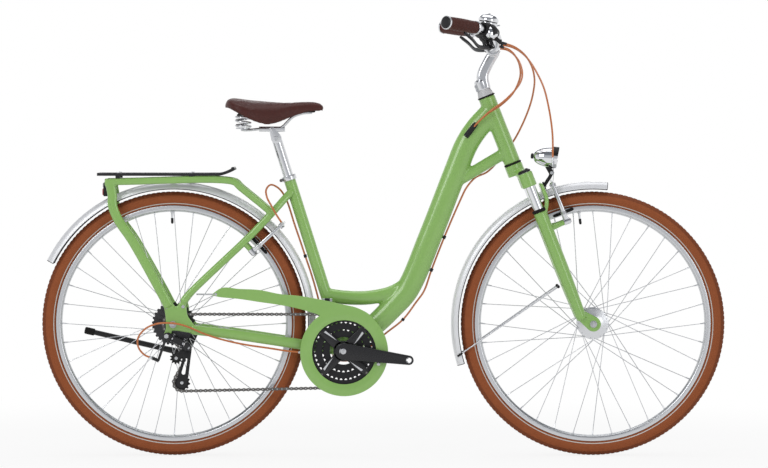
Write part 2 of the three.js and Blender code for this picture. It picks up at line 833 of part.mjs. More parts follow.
function frameRear() {
  const parts = [];
  for (const which of [side.right, side.left]) {
    parts.push(
      sweep(rearRoute(chainStayShares, which, 4),
        (way) => oval(8, stayWidth / 2, mix(stayDepth, stayFootDepth, way) / 2), leftward),
      sweep(
        rearRoute(seatStayShares, which, 6),
        () => oval(8, seatStayWidth / 2, seatStayDepth / 2),
        leftward,
      ),
      sweep(rearRoute(rackLegShares, which, 5), () => oval(6, rackRailWidth / 2, rackLegDepth / 2), leftward),
      sweep(
        [at(-rackBack, which * rackHalfWidth, rackRailHeight), ...rearRoute(rackCurveShares, which, 4)],
        () => oval(6, rackRailWidth / 2, rackRailDepth / 2), leftward,
      ),
      dropout(which),
      inRearBrake(brakePost(-rearPostLength, rearPostSpread, which)),
    );
  }
  bridgeAngles.forEach((turn, i) => {
    const x = -rearCentre + bridgeReach * Math.cos(turn);
    const z = axleHeight + bridgeReach * Math.sin(turn);
    parts.push(crossRod(x, z, -bridgeHalfSpans[i], bridgeHalfSpans[i], bridgeRadius, 6));
  });
  parts.push(crossRod(-lampRodBehind, lampRodHeight, -rackHalfWidth, rackHalfWidth, lampRodRadius, 6));
  const bolt = [-hangerBoltBehind, hangerBoltHeight];
  const lobe = dropoutEyeRadius / 2;
  const hanger = linkOutline(-rearCentre - lobe, axleHeight - lobe, lobe, ...bolt, knuckleRadius);
  hole(hanger, ...bolt, hangerBoltRadius + 2 * clearance);
  parts.push(plate(hanger, -dropoutInner - dropoutThickness, hangerThickness, 5));
  const slot = axleRadius + clearance;
  const wide = dropoutInner + dropoutThickness * 2;
  return cut(
    join(...parts),
    crossRod(0, 0, -shellWidth, shellWidth, shellRadius + 3 * clearance, 16),
    rodBetween(at(0, 0, 0), seatTubeTop.clone().multiplyScalar(2), seatTubeRadius + 3 * clearance, 16),
    crossRod(-rearCentre, axleHeight, -wide, wide, slot * 1.04, 12),
    box(-rearCentre - slot, -rearCentre + slot, -wide, wide, axleHeight - dropoutEyeRadius * 2, axleHeight),
  );
}
add(bicycle, "frame_rear", frameRear(), green);

// Rack platform: long bars that turn up at the front, with cross bars and feet on the rails
function rackPlatform() {
  const middle = platformTop - platformThickness / 2;
  const bendX = -mix(platformFlatFront, platformTip, platformBendShare);
  const parts = [];
  const half = platformBarWidth / 2;
  const edge = platformHalfWidth - half;
  for (let i = 0; i < platformBars; i++) {
    const y = mix(-edge, edge, i / (platformBars - 1));
    const line = [
      at(-platformBack, y, middle),
      at(-platformFlatFront, y, middle),
      at(bendX, y, mix(middle, platformTipTop, platformRiseShare)),
      at(-platformTip, y, platformTipTop - platformThickness / 2),
    ];
    parts.push(sweep(line, () => oblong(half, platformThickness / 2), leftward));
  }
  for (const x of [platformBack - half, ...platformFeet, platformFlatFront + half]) {
    parts.push(box(-x - half, -x + half, -edge, edge, platformTop - platformThickness, platformTop));
  }
  const tip = platformTipTop - platformThickness / 2;
  parts.push(box(-platformTip - half * 2, -platformTip, -edge, edge, tip - half, tip + half / 2));
  for (const x of platformFeet) {
    for (const which of [side.right, side.left]) {
      const y = which * rackHalfWidth;
      const foot = rackRailHeight + rackRailDepth / 2 + clearance;
      const reach = platformFootLength / 2;
      parts.push(box(-x - reach, -x + reach, y - half, y + half, foot, middle));
    }
  }
  return join(...parts);
}
add(bicycle, "rack_platform", rackPlatform(), black);

function rearLight() {
  const half = rearLampWidth / 2;
  const top = rearLampFoot + rearLampHeight;
  const front = rearLampBack - rearLampDepth;
  const inset = rearLampDepth * lampBevelShare;
  const block = (x, z0, z1, y) => [at(x, -y, z0), at(x, y, z0), at(x, y, z1), at(x, -y, z1)];
  const shell = skin([
    block(-rearLampBack, rearLampFoot + inset, top - inset, half - inset),
    block(-rearLampBack + inset, rearLampFoot, top, half),
    block(-front, rearLampFoot, top, half),
  ]);
  const neck = box(-front - inset, -lampRodBehind - lampRodRadius - clearance, -lampRodRadius, lampRodRadius,
    lampRodHeight - lampRodRadius, lampRodHeight + lampRodRadius);
  return join(shell, neck);
}
add(bicycle, "rear_light", rearLight(), red);

// Mudguards: a curved channel round the tyre, about the wheel's middle
const guardShares = [[1, 0], [0.66, 1]];
function mudguard(fromAngle, toAngle, steps) {
  const outer = guardShares.map(([y, r]) => [y * guardHalfWidth, mix(guardSkirtRadius, guardRadius, r)]);
  const inner = guardShares.map(([y, r]) => [
    y * (guardHalfWidth - guardThickness),
    mix(guardSkirtRadius, guardRadius - guardThickness, r),
  ]).reverse();
  const flip = ([y, r]) => [-y, r];
  const section = [...outer, ...outer.map(flip).reverse(), ...inner.map(flip).reverse(), ...inner];
  const rings = [];
  for (let i = 0; i <= steps; i++) {
    const turn = rad(mix(fromAngle, toAngle, i / steps));
    rings.push(section.map(([y, r]) => at(r * Math.cos(turn), y, r * Math.sin(turn))));
  }
  return skin(rings);
}
add(rearWheel, "rear_fender", mudguard(rearGuardStart, rearGuardEnd, 19), silver);

function seatCollar() {
  const low = seatTubeLength - collarHeight / 2;
  const high = seatTubeLength + collarHeight / 2;
  const wide = seatTubeRadius + 2 * clearance;
  const narrow = seatPostRadius + 2 * clearance;
  const ring = turnedUp([
    [wide, low], [collarRadius, low], [collarRadius, high], [narrow, high],
    [narrow, seatTubeLength + clearance], [wide, seatTubeLength + clearance], [wide, low],
  ], 14);
  const lugX = -collarRadius - collarLugRadius / 2;
  const lug = crossRod(lugX, seatTubeLength, -collarLugHalf, collarLugHalf, collarLugRadius, 8);
  return join(ring, lug);
}
add(seatLine, "seat_collar", seatCollar(), silver);

// Crank axle set
function bottomBracket() {
  const end = shellWidth / 2 + clearance;
  const outer = end + cupFlange;
  const sleeve = shellBoreRadius - 3 * clearance;
  const bore = spindleRadius + 2 * clearance;
  return turned([
    [bore, -outer], [cupFlangeRadius, -outer], [cupFlangeRadius, -end], [sleeve, -end],
    [sleeve, end], [cupFlangeRadius, end], [cupFlangeRadius, outer], [bore, outer], [bore, -outer],
  ], 14);
}
add(bicycle, "bottom_bracket", bottomBracket(), darkSteel);

// The right crank, made along X and then turned; it leans outwards on the way to the pedal
function crankArm() {
  const outline = linkOutline(0, 0, crankBossRadius, crankLength, 0, crankEndRadius);
  hole(outline, crankLength, 0, pedalHoleRadius);
  const arm = plate(outline, -crankInset - crankThickness, crankThickness, 6);
  arm.applyMatrix4(new THREE.Matrix4().makeShear(0, 0, -crankFlare / crankLength, 0, 0, 0));
  return arm;
}

function crankRight() {
  const boss = crossRod(0, 0, -crankInset - crankThickness, -crankBossInner, crankBossRadius, 12);
  const bore = crossRod(0, 0, -spindleReach - clearance, 0, spindleRadius + 2 * clearance, 12);
  return cut(join(crankArm(), boss), bore).rotateY(-rad(crankAngle));
}

function crankLeft() {
  const arm = mirrored(crankArm());
  const boss = crossRod(0, 0, crankInset + crankThickness, crankInset - crankBossRise, crankBossRadius, 12);
  const spindle = crossRod(0, 0, -spindleReach, crankInset, spindleRadius, 12);
  return join(arm, boss, spindle).rotateY(-rad(crankAngle + 180));
}

function chainringSet() {
  const parts = [];
  const spiderInner = rightChainPlane - toothThickness / 4;
  ringTeeth.forEach((teeth, i) => {
    const inner = pitchRadius(teeth) - toothRoot - ringBandWidth;
    const face = rightChainPlane + i * ringSpacing;
    const outline = hole(toothedOutline(teeth, ...plainToothShares), 0, 0, inner);
    parts.push(plate(outline, face - toothThickness / 2, toothThickness, 8));
    for (let k = 0; k < spiderArms && i > 0; k++) {
      const turn = rad(spiderFirstAngle + (k * 360) / spiderArms);
      const r = inner + ringBandWidth / 2;
      parts.push(crossRod(r * Math.cos(turn), r * Math.sin(turn), spiderInner - spiderThickness - rivetRise,
        face, rivetRadius, 4));
    }
  });
  const outerBand = pitchRadius(ringTeeth[0]) - toothRoot - ringBandWidth / 2;
  const hub = polygon(oval(12, spiderHubRadius));
  parts.push(plate(hub, spiderInner - spiderThickness, spiderThickness));
  for (let k = 0; k < spiderArms; k++) {
    const half = spiderArmWidth / 2;
    const arm = box(crankBossRadius, outerBand, spiderInner - spiderThickness, spiderInner, -half, half);
    parts.push(arm.rotateY(-rad(spiderFirstAngle + (k * 360) / spiderArms)));
  }
  return cut(join(...parts), crossRod(0, 0, -crankInset, 0, crankBossRadius + clearance * 4, 12));
}
add(bicycle, "crank_right", crankRight(), black);
add(bicycle, "crank_left", crankLeft(), black);
add(bicycle, "chainring_set", chainringSet(), black);

// Chain guard: a ring with a long arm back over the chain, a bracket on the crank axle's cup and a wire stay
const guardArmShares = [
  [-1, 0.426], [-0.918, 0.479], [-0.787, 0.471], [-0.635, 0.463], [-0.483, 0.433], [-0.331, 0.418],
  [-0.174, 0.391], [0, 0.353], [0.106, 0.327], [0.206, 0.27], [0.271, 0.185], [0.15, 0], [-0.174, 0.274],
  [-0.331, 0.319], [-0.483, 0.35], [-0.635, 0.372], [-0.787, 0.395], [-0.94, 0.41],
];
function chainGuard() {
  const outer = -guardPlane - guardPlateThickness;
  const middle = [guardRingForward, -guardRingDrop];
  const ring = new THREE.Shape();
  ring.absarc(...middle, guardRingRadius, 0, 2 * Math.PI, false);
  const arm = polygon(guardArmShares.map(([x, z]) => [x * guardArmReach, z * guardArmReach]));
  const face = cut(
    join(plate(ring, outer, guardPlateThickness, 18), plate(arm, outer, guardPlateThickness)),
    crossRod(...middle, outer - overrun, -guardPlane + overrun, guardHoleRadius, 32),
  );
  const cup = -shellWidth / 2 - cupFlange - 2 * clearance;
  const reach = guardRingRadius - guardBracketWall;
  const foot = hole(polygon(oval(12, cupFlangeRadius)), 0, 0, spindleRadius + 4 * clearance);
  const half = guardBracketWidth / 2;
  const bracket = join(
    plate(foot, cup - guardBracketWall, guardBracketWall, 6),
    box(cupFlangeRadius - half, reach, cup - guardBracketWall, cup, -half, half),
    box(reach - guardBracketWall, reach, -guardPlane - guardPlateThickness / 2, cup, -half, half),
  ).rotateY(rad(guardBracketDrop));
  const tip = at(-guardArmReach * 0.98, -guardPlane - guardPlateThickness / 2, guardArmReach * 0.43);
  const wire = rodBetween(tip, tip.clone().add(at(-guardWireLength, 0, 0)), stayWireRadius, 6);
  return join(face, bracket, wire);
}
add(bicycle, "chain_guard", chainGuard(), green);

// Chain: a loop round the big ring, both pulleys and one sprocket.
// turn is 1 where it runs anticlockwise and -1 where it runs clockwise
const chainRounds = [
  { x: 0, z: 0, radius: pitchRadius(ringTeeth[0]), turn: -1 },
  { x: -tensionBehind, z: -tensionDrop, radius: pitchRadius(pulleyTeeth), turn: -1 },
  { x: -guideBehind, z: -guideDrop, radius: pitchRadius(pulleyTeeth), turn: 1 },
  { x: -rearCentre, z: axleHeight, radius: pitchRadius(sprocketTeeth[chosenSprocket]), turn: -1 },
];

function chainPath() {
  const path = new THREE.CurvePath();
  const legs = chainRounds.map((a, i) => {
    const b = chainRounds[(i + 1) % chainRounds.length];
    const way = Math.atan2(b.z - a.z, b.x - a.x);
    const lean = Math.asin((b.radius * b.turn - a.radius * a.turn) / Math.hypot(b.x - a.x, b.z - a.z));
    const square = way - lean + Math.PI / 2;
    return { start: square + (a.turn > 0 ? Math.PI : 0), end: square + (b.turn > 0 ? Math.PI : 0) };
  });
  const onRound = ({ x, z, radius }, turn) =>
    new THREE.Vector2(x + radius * Math.cos(turn), z + radius * Math.sin(turn));
  chainRounds.forEach((round, i) => {
    const next = chainRounds[(i + 1) % chainRounds.length];
    const arrival = legs[(i + chainRounds.length - 1) % chainRounds.length].end;
    const { x, z, radius } = round;
    path.add(new THREE.EllipseCurve(x, z, radius, radius, arrival, legs[i].start, round.turn < 0));
    path.add(new THREE.LineCurve(onRound(round, legs[i].start), onRound(next, legs[i].end)));
  });
  return path;
}

function chain() {
  const path = chainPath();
  const links = 2 * Math.round(path.getLength() / chainPitch / 2);
  const points = path.getSpacedPoints(links).slice(0, -1).map((p) => at(p.x, rightChainPlane, p.y));
  return sweep(points, (_, i) => {
    const high = (i % 2 ? chainWaistHeight : chainPlateHeight) / 2;
    const wide = (i % 2 ? chainInnerLinkWidth : chainOuterWidth) / 2;
    const slot = chainInnerWidth / 2;
    const floor = high - chainWeb;
    return [[wide, -high], [wide, high], [-wide, high], [-wide, -high], [-slot, floor], [slot, floor]];
  }, leftward, true);
}
add(bicycle, "chain", chain(), darkSteel);

// Rear derailleur, in its own frame: x along the links, z along their pins
const derailleur = new THREE.Group();
derailleur.position.set(-hangerBoltBehind, -linkPlane, hangerBoltHeight);
derailleur.rotation.y = rad(derailleurSlope);
bicycle.add(derailleur);
const linkEnd = linkOffset + linkLength;
const linkGap = Math.hypot(linkWidth / 2, linkOverhang) + clearance;

function ears(pinX, fromX, toX) {
  const half = linkWidth / 2;
  const near = linkHeight / 2 + clearance;
  const far = near + earThickness;
  return [
    box(fromX, toX, -half, half, near, far),
    box(fromX, toX, -half, half, -far, -near),
    rodBetween(at(pinX, 0, -far), at(pinX, 0, far), linkPinRadius, 8),
  ];
}

const cablePoint = at(-cableStopBehind, -stopPlane, -cableStopDrop);
function derailleurMount() {
  const half = linkWidth / 2;
  const high = linkHeight / 2 + clearance + earThickness;
  const hangerFace = linkPlane - dropoutInner - dropoutThickness - clearance;
  const stop = inDerailleur(cablePoint);
  const ahead = at(stopBarrel, 0, 0);
  return join(
    crossRod(0, 0, -half, hangerFace, knuckleRadius, 10),
    crossRod(0, 0, 0, hangerFace + dropoutThickness, hangerBoltRadius, 6),
    box(0, linkOffset - linkGap, -half, half, -high, high),
    ...ears(linkOffset, 0, linkOffset + linkOverhang),
    rodBetween(at(0, 0, 0), stop.clone().add(ahead), stopArmRadius, 5),
    rodBetween(stop, stop.clone().add(ahead), stopBarrelRadius, 6),
  );
}
function derailleurLink() {
  const half = linkWidth / 2;
  const high = linkHeight / 2;
  const bar = box(linkOffset - linkOverhang, linkEnd + linkOverhang, -half, half, -high, high);
  const bores = [linkOffset, linkEnd].map((x) =>
    rodBetween(at(x, 0, -linkHeight), at(x, 0, linkHeight), linkPinRadius + 2 * clearance, 8));
  return cut(bar, ...bores);
}

const cagePivot = at(-cagePivotBehind, 0, cagePivotHeight);
const inDerailleur = (point) =>
  point.clone().sub(derailleur.position).applyAxisAngle(leftward, -rad(derailleurSlope));
const cagePivotHere = inDerailleur(cagePivot);
function derailleurBody() {
  const half = linkWidth / 2;
  const high = linkHeight / 2 + clearance + earThickness;
  const { x, z } = cagePivotHere;
  const cageFace = linkPlane - chainline - cagePlateGap - cagePlateThickness - clearance;
  return cut(
    join(
      box(linkEnd + linkGap, x, -half, half, -high, high),
      ...ears(linkEnd, linkEnd - linkOverhang, x),
      crossRod(x, z, -half, cageFace, cagePivotRadius, 14),
    ),
    crossRod(x, z, clearance, cageFace + overrun, cagePinRadius + 2 * clearance, 12),
  );
}

function derailleurCage() {
  const pivot = [-cagePivotBehind, cagePivotHeight];
  const guide = [-guideBehind, -guideDrop];
  const tension = [-tensionBehind, -tensionDrop];
  const parts = [];
  for (const which of [side.right, side.left]) {
    const inner = rightChainPlane + which * cagePlateGap;
    const y = which === side.right ? inner - cagePlateThickness : inner;
    parts.push(
      plate(linkOutline(...pivot, cagePivotRadius, ...tension, cageEndRadius), y, cagePlateThickness, 3),
      plate(linkOutline(...pivot, cagePivotRadius, ...guide, cagePivotRadius), y, cagePlateThickness, 2),
    );
  }
  const far = cagePlateGap + cagePlateThickness;
  for (const spot of [guide, tension]) {
    parts.push(crossRod(...spot, rightChainPlane - far - clearance, rightChainPlane + far, cagePinRadius, 8));
  }
  parts.push(crossRod(...pivot, -linkPlane + 2 * clearance, rightChainPlane + far, cagePinRadius, 8));
  return join(...parts);
}

function pulley(tip, x, z) {
  const pitch = pitchRadius(pulleyTeeth);
  const step = Math.PI / pulleyTeeth;
  const points = [];
  for (let k = 0; k < pulleyTeeth * 2; k++) {
    const r = k % 2 ? tip : tip - toothTip - toothRoot;
    points.push([r * Math.cos(k * step), r * Math.sin(k * step)]);
  }
  const outline = hole(polygon(points), 0, 0, cagePinRadius + 2 * clearance);
  return plate(outline, rightChainPlane - toothThickness / 2, toothThickness, 4).translate(x, 0, z);
}
add(derailleur, "rd_mount", derailleurMount(), black);
add(derailleur, "rd_link", derailleurLink(), black);
add(derailleur, "rd_body", derailleurBody(), black);
add(bicycle, "rd_cage", derailleurCage(), black);
const guideTip = pitchRadius(pulleyTeeth) - chainPlateHeight / 2 - 4 * clearance;
add(bicycle, "rd_guide_pulley", pulley(guideTip, -guideBehind, -guideDrop), black);
const tensionTip = pitchRadius(pulleyTeeth) + toothTip;
add(bicycle, "rd_tension_pulley", pulley(tensionTip, -tensionBehind, -tensionDrop), black);

// Front derailleur: a band on the seat tube, and a cage that swings about a pin along X
const changerAxisX = onSeatTube(changerPivotHeight).x;
const changerPivot = (ahead) => at(changerAxisX + ahead, -changerPivotSide, changerPivotHeight);
function frontChanger() {
  const along = changerHeight / seatUp.z;
  const wide = seatTubeRadius + 3 * clearance;
  const band = turnedUp([
    [wide, along], [wide + changerBandWall, along], [wide + changerBandWall, along + changerBandHeight],
    [wide, along + changerBandHeight], [wide, along],
  ], 12).rotateY(seatLine.rotation.y);
  const from = seatUp.clone().multiplyScalar(along + changerBandHeight / 2);
  from.y = -seatTubeRadius - changerBandWall / 2 - clearance;
  const barrelHalf = changerPivotLength / 4;
  return join(
    band,
    rodBetween(from, changerPivot(0), changerArmRadius, 5),
    rodBetween(changerPivot(-barrelHalf), changerPivot(barrelHalf), changerBarrelRadius, 6),
    rodBetween(
      changerPivot(-changerPivotLength / 2),
      changerPivot(changerPivotLength / 2),
      changerPinRadius,
      6,
    ),
  );
}

const changerFaceShares = [
  [0.1, 0], [0.62, 0], [0.9, 0.35], [1, 0.8], [0.95, 1], [0.35, 1], [0, 0.55], [0, 0.25],
];
function changerCage() {
  const back = changerAxisX - changerCageLength / 2;
  const face = (foot) => polygon(changerFaceShares.map(([x, z]) =>
    [back + x * changerCageLength, mix(foot, changerCageTop, z)]));
  const outer = -chainline - changerCageGap;
  const inner = -chainline + changerCageGap;
  const wall = changerPlateThickness;
  const ear = changerPivotLength / 4 + clearance;
  const earWidth = changerPivotLength / 2 - ear;
  const roof = changerCageLength / 4;
  const under = changerCageTop - wall * 2;
  const parts = [
    plate(face(changerOuterFoot), outer - wall, wall),
    plate(face(changerInnerFoot), inner, wall),
    box(
      changerAxisX - roof,
      changerAxisX + roof,
      outer - wall,
      -changerPivotSide + wall,
      under,
      changerCageTop,
    ),
  ];
  for (const way of [-1, 1]) {
    const along = way * (ear + earWidth / 2);
    const x = changerAxisX + along;
    const low = -changerPivotSide - changerBarrelRadius;
    const high = -changerPivotSide + changerBarrelRadius;
    parts.push(cut(
      box(x - earWidth / 2, x + earWidth / 2, low, high, under, changerPivotHeight + changerBarrelRadius),
      rodBetween(
        changerPivot(along - earWidth),
        changerPivot(along + earWidth),
        changerPinRadius + 2 * clearance,
        6,
      ),
    ));
  }
  return join(...parts);
}
add(bicycle, "front_derailleur", frontChanger(), black);
add(bicycle, "front_derailleur_cage", changerCage(), silver);

// Side stand, folded back: its pin leans, so that the leg swings outwards as it comes down
const standPivot = [-standPivotBehind, -standPivotDrop];
const standPlate = dropoutInner + dropoutThickness + standPlateGap;
const standLean = rad(standTilt);
const standFace = 2 * clearance + standKnuckleRadius * Math.sin(standLean);
function onStandPin(along) {
  const y = standPlate + standPlateThickness + along * Math.cos(standLean);
  return at(standPivot[0], y, standPivot[1] + along * Math.sin(standLean));
}
function standMount() {
  const mount = [-standMountBehind, standMountHeight];
  const outline = linkOutline(...standPivot, standKnuckleRadius, ...mount, standKnuckleRadius);
  const pinEnd = onStandPin(standFace + standKnuckleWidth + clearance);
  return join(
    plate(outline, standPlate, standPlateThickness, 4),
    rodBetween(onStandPin(-standPlateThickness / 2), pinEnd, standPinRadius, 8),
  );
}
function standLeg() {
  const face = onStandPin(standFace);
  const from = onStandPin(standFace + standKnuckleWidth / 2);
  const foot = from.clone().add(at(-standReach, standSplay, standRise));
  const heel = from.clone().lerp(foot, standFootShare);
  return cut(
    join(
      rodBetween(face, onStandPin(standFace + standKnuckleWidth), standKnuckleRadius, 10),
      rodBetween(from, foot, standRadius, 7),
      rodBetween(heel, foot, standFootRadius, 7),
    ),
    rodBetween(
      onStandPin(-standPlateThickness),
      onStandPin(standKnuckleWidth * 2),
      standPinRadius + 2 * clearance,
      8,
    ),
  );
}
add(bicycle, "kickstand_mount", standMount(), black);
add(bicycle, "kickstand_leg", standLeg(), black);

// Rim brake arms, in the brake's own frame
function brakeArm(which) {
  const spread = brakeArmSpread;
  const bulge = spread + brakeArmBulge;
  const line = smooth(
    [at(0, spread, 0), at(0, bulge, brakeArmLength * 0.45), at(0, spread, brakeArmLength)],
    4,
  );
  const armWidth = (way) => mix(brakeArmWidth, brakeArmWidth * 0.7, way);
  const inner = rimWidth / 2 + brakePadGap;
  const outer = inner + brakePadThickness;
  const half = brakePadLength / 2;
  const low = brakePadRise - brakePadHeight / 2;
  const arm = cut(
    join(
      rodBetween(at(-brakeBossLength / 2, spread, 0), at(brakeBossLength / 2, spread, 0), brakeBossRadius, 8),
      sweep(line, (way) => softBox(brakeArmThickness / 2, armWidth(way) / 2, 0.5), leftward),
      rodBetween(at(0, mix(inner, outer, 0.5), brakePadRise), at(0, bulge, brakePadRise), brakePinRadius, 5),
      box(-half, half, inner, outer, low, low + brakePadHeight),
    ),
    rodBetween(
      at(-brakeBossLength, spread, 0),
      at(brakeBossLength, spread, 0),
      brakePinRadius + 2 * clearance,
      8,
    ),
  );
  return which === side.left ? arm : mirrored(arm);
}

for (const [name, which] of Object.entries(side)) {
  add(bicycle, `rear_brake_arm_${name}`, inRearBrake(brakeArm(which)), silver);
  add(steering, `front_brake_arm_${name}`, inFrontBrake(brakeArm(which)), silver);
}

// Fork, in the steering frame: z runs up the steering axis
function forkCrown() {
  const parts = [
    turnedUp([
      [0, -crownBossDrop], [crownBossRadius, -crownBossDrop], [crownBossRadius, -crownTop],
      [steererRadius, -crownTop],
      [steererRadius, headTubeLength + steererRise],
      [0, headTubeLength + steererRise],
    ], 14),
  ];
  for (const which of [side.right, side.left]) {
    const clampHeart = at(stanchionForward, which * legSpread, -(clampTop + clampBottom) / 2);
    const boss = at(0, 0, -(crownTop + crownBossDrop) / 2);
    const knee = at(stanchionForward / 2, (which * legSpread) / 2, -clampTop);
    parts.push(
      disc(clampRadius, -clampBottom, -clampTop, 12).translate(stanchionForward, which * legSpread, 0),
      sweep([boss, knee, clampHeart], () => softBox(crownArmDepth, crownArmHeight, 0.3)),
    );
  }
  const cap = stanchionRadius + capBrim + 2 * clearance;
  const bores = [side.right, side.left].map((which) => turnedUp([
    [0, -clampBottom - overrun], [stanchionRadius + 2 * clearance, -clampBottom - overrun],
    [stanchionRadius + 2 * clearance, -clampTop], [cap, -clampTop], [cap, overrun], [0, overrun],
  ], 12).translate(stanchionForward, which * legSpread, 0));
  return cut(join(...parts), ...bores);
}
add(steering, "fork_crown", forkCrown(), green);

for (const [name, which] of Object.entries(side)) {
  const top = -clampTop + clearance;
  const cap = stanchionRadius + capBrim;
  add(steering, `stanchion_${name}`, turnedUp([
    [0, -stanchionEnd], [stanchionRadius, -stanchionEnd], [stanchionRadius, top], [cap, top],
    [cap, top + capRise * 0.6], [stanchionRadius, top + capRise], [0, top + capRise],
  ], 12).translate(stanchionForward, which * legSpread, 0), silver);
}

const archShares = [[0.35, 1, 0.5], [0.95, 0.96, 0.27], [1, 0.82, 0.07], [1, 0.55, 0], [1, 0, 0]];
const archMiddle = -(forkLength - guardRadius - clearance - archDepth / 2);
function forkLowers() {
  const bore = stanchionRadius + 2 * clearance;
  const foot = [stanchionForward, -legFoot + legFootRadius];
  const parts = [];
  for (const which of [side.right, side.left]) {
    const lobeY = which === side.right ? -frontHubWidth / 2 - dropoutThickness : frontHubWidth / 2;
    parts.push(
      turnedUp([
        [0, -legFoot], [legFootRadius, -legFoot], [legRadius, -legBoreEnd], [legRadius, -legTop - sealHeight],
        [legRadius + sealBrim, -legTop - sealHeight], [legRadius + sealBrim, -legTop], [0, -legTop],
      ], 12).translate(stanchionForward, which * legSpread, 0),
      plate(linkOutline(...foot, legFootRadius, forkOffset, -forkLength, dropoutLobeRadius),
        lobeY, dropoutThickness, 4),
      inFrontBrake(brakePost(stanchionForward - brakePivotForward, legSpread, which)),
    );
  }
  const half = archShares.map(([x, y, drop]) =>
    at(stanchionForward + x * (archForward - stanchionForward), y * legSpread, archMiddle - drop * legTop));
  const path = smooth([...half, ...half.slice(0, -1).reverse().map((p) => at(p.x, -p.y, p.z))], 10);
  parts.push(sweep(path, () => softBox(archThickness / 2, archDepth / 2, 0.4), at(1, 0, 0)));
  const inLeg = (which, z) => at(stanchionForward, which * legSpread, z);
  const bores = [side.right, side.left].map((which) =>
    rodBetween(inLeg(which, -legBoreEnd), inLeg(which, overrun - legTop), bore, 12));
  const axleHole = axleRadius + clearance * 2;
  return cut(
    join(...parts),
    ...bores,
    crossRod(forkOffset, -forkLength, -frontHubWidth, frontHubWidth, axleHole, 8),
  );
}
add(steering, "fork_lowers", forkLowers(), green);

function frontFender() {
  const parts = [mudguard(frontGuardStart, frontGuardEnd, 13)];
  for (const which of [side.right, side.left]) {
    const turn = rad(frontGuardEnd - guardWireLeadAngle);
    const reach = guardSkirtRadius * 1.01;
    const near = at(reach * Math.cos(turn), which * guardHalfWidth, reach * Math.sin(turn));
    const far = at(-guardWireFoot, which * guardWireSide, guardWireHeight);
    parts.push(rodBetween(near, far, stayWireRadius, 6));
  }
  return join(...parts);
}
const upright = new THREE.Group();
upright.position.copy(frontWheel.position);
upright.rotation.y = -steering.rotation.y;
steering.add(upright);
add(upright, "front_fender", frontFender(), silver);

// Stem: a clamp round the steerer, a curved neck and a clamp round the bar
const neckShares = [[0, 0], [0.1, 0.46], [0.42, 0.854], [1, 1]];
function stem() {
  const cone = turnedUp([
    [0, headTubeLength + clearance], [coneFootRadius, headTubeLength + clearance],
    [stemFootRadius, headTubeLength + coneHeight], [0, headTubeLength + coneHeight],
  ], 16);
  const top = headTubeLength + steererRise + stemCap;
  const clamp = turnedUp([
    [0, headTubeLength + coneHeight / 2], [stemFootRadius, headTubeLength + coneHeight / 2],
    [stemFootRadius, top], [stemFootRadius / 2, top + stemCap], [0, top + stemCap],
  ], 16);
  const neckFoot = headTubeLength + steererRise;
  const neck = smooth(neckShares.map(([x, z]) => at(x * barReach, 0, mix(neckFoot, barHeight, z))), 4);
  const bolts = stemBoltShares.map((share) =>
    crossRod(-stemFootRadius, headTubeLength + share * steererRise, -stemFootRadius / 2, stemFootRadius / 2,
      stemBoltRadius, 5));
  const barClamp = crossRod(barReach, barHeight, -barClampWidth / 2, barClampWidth / 2, barClampRadius, 14);
  const above = (height) => at(0, 0, headTubeLength + height);
  return cut(
    join(
      cone,
      clamp,
      sweep(neck, () => softBox(stemNeckWidth, stemNeckDepth, 0.6), leftward),
      barClamp,
      ...bolts,
    ),
    rodBetween(above(-overrun), above(steererRise + clearance), steererRadius + 2 * clearance, 16),
    crossRod(barReach, barHeight, -barClampWidth, barClampWidth, barRadius + 3 * clearance, 8),
  );
}
add(steering, "stem", stem(), polished);

// Handlebar: shares of the half width, the back sweep and the rise, from the middle to the tip
const barShares = [
  [0, 0.12, 0], [-0.053, 0.233, 0.08], [-0.061, 0.4, 0.42],
  [0.092, 0.55, 0.7], [0.351, 0.693, 0.797], [1, 1, 1],
];
const barPoint = ([back, out, rise], which) =>
  at(-back * barBackSweep, which * out * barHalfWidth, rise * barRise);
const barHalf = (which) => {
  const points = barShares.map((share) => barPoint(share, which));
  const bend = smooth(points.slice(0, -1), 7);
  return [...bend, points[points.length - 1]];
};
const gripStart = (which) => barPoint(barShares[4], which).lerp(barPoint(barShares[5], which), gripInset);
const barTip = (which) => {
  const line = barHalf(which);
  const end = line[line.length - 1];
  return end.clone().lerp(gripStart(which), gripPlug / end.distanceTo(gripStart(which)));
};

function handlebar() {
  const half = (which) => [...barHalf(which).slice(0, -1), barTip(which)];
  return rod([...half(side.right).reverse(), ...half(side.left)], barRadius, 8);
}
add(cockpit, "handlebar", handlebar(), polished);

const gripShares = [[0, 1.05], [0.06, 1.05], [0.08, 0.98], [0.93, 0.98], [0.94, 1.05], [1, 0.98]];
function grip(which) {
  const from = gripStart(which);
  const to = barHalf(which).pop();
  const points = gripShares.map(([way]) => from.clone().lerp(to, way));
  const outer = sweep(points, (_, i) => oval(10, gripRadius * gripShares[i][1]));
  const out = from.clone().lerp(to, -gripInset);
  const plug = barTip(which).lerp(to, clearance / gripPlug);
  return cut(outer, rodBetween(out, plug, barRadius + 2 * clearance, 10));
}

// Brake lever, its perch with the gear shifter, and the bell
const leverPivotShares = [0.075, 0.613, 0.03];
const leverAxisShares = [0.776, 0.528, 0.342];
const leverShares = [[0.18, 0.68, 0.0], [0.33, 0.8, 0.04], [0.47, 0.93, 0.33], [0.62, 1.0, 0.58]];
function leverAxis(which) {
  const [ahead, out, up] = leverAxisShares;
  return at(ahead, which * out, up).normalize();
}
const barAt = (share, which) => {
  const line = curveThrough(barHalf(which));
  return { place: line.getPointAt(share), way: line.getTangentAt(share) };
};

// A rod centred on a point, reaching the same way to both sides of it
function rodAbout(middle, way, reach, radius, sides = 8) {
  const start = middle.clone().addScaledVector(way, -reach);
  const end = middle.clone().addScaledVector(way, reach);
  return rodBetween(start, end, radius, sides);
}

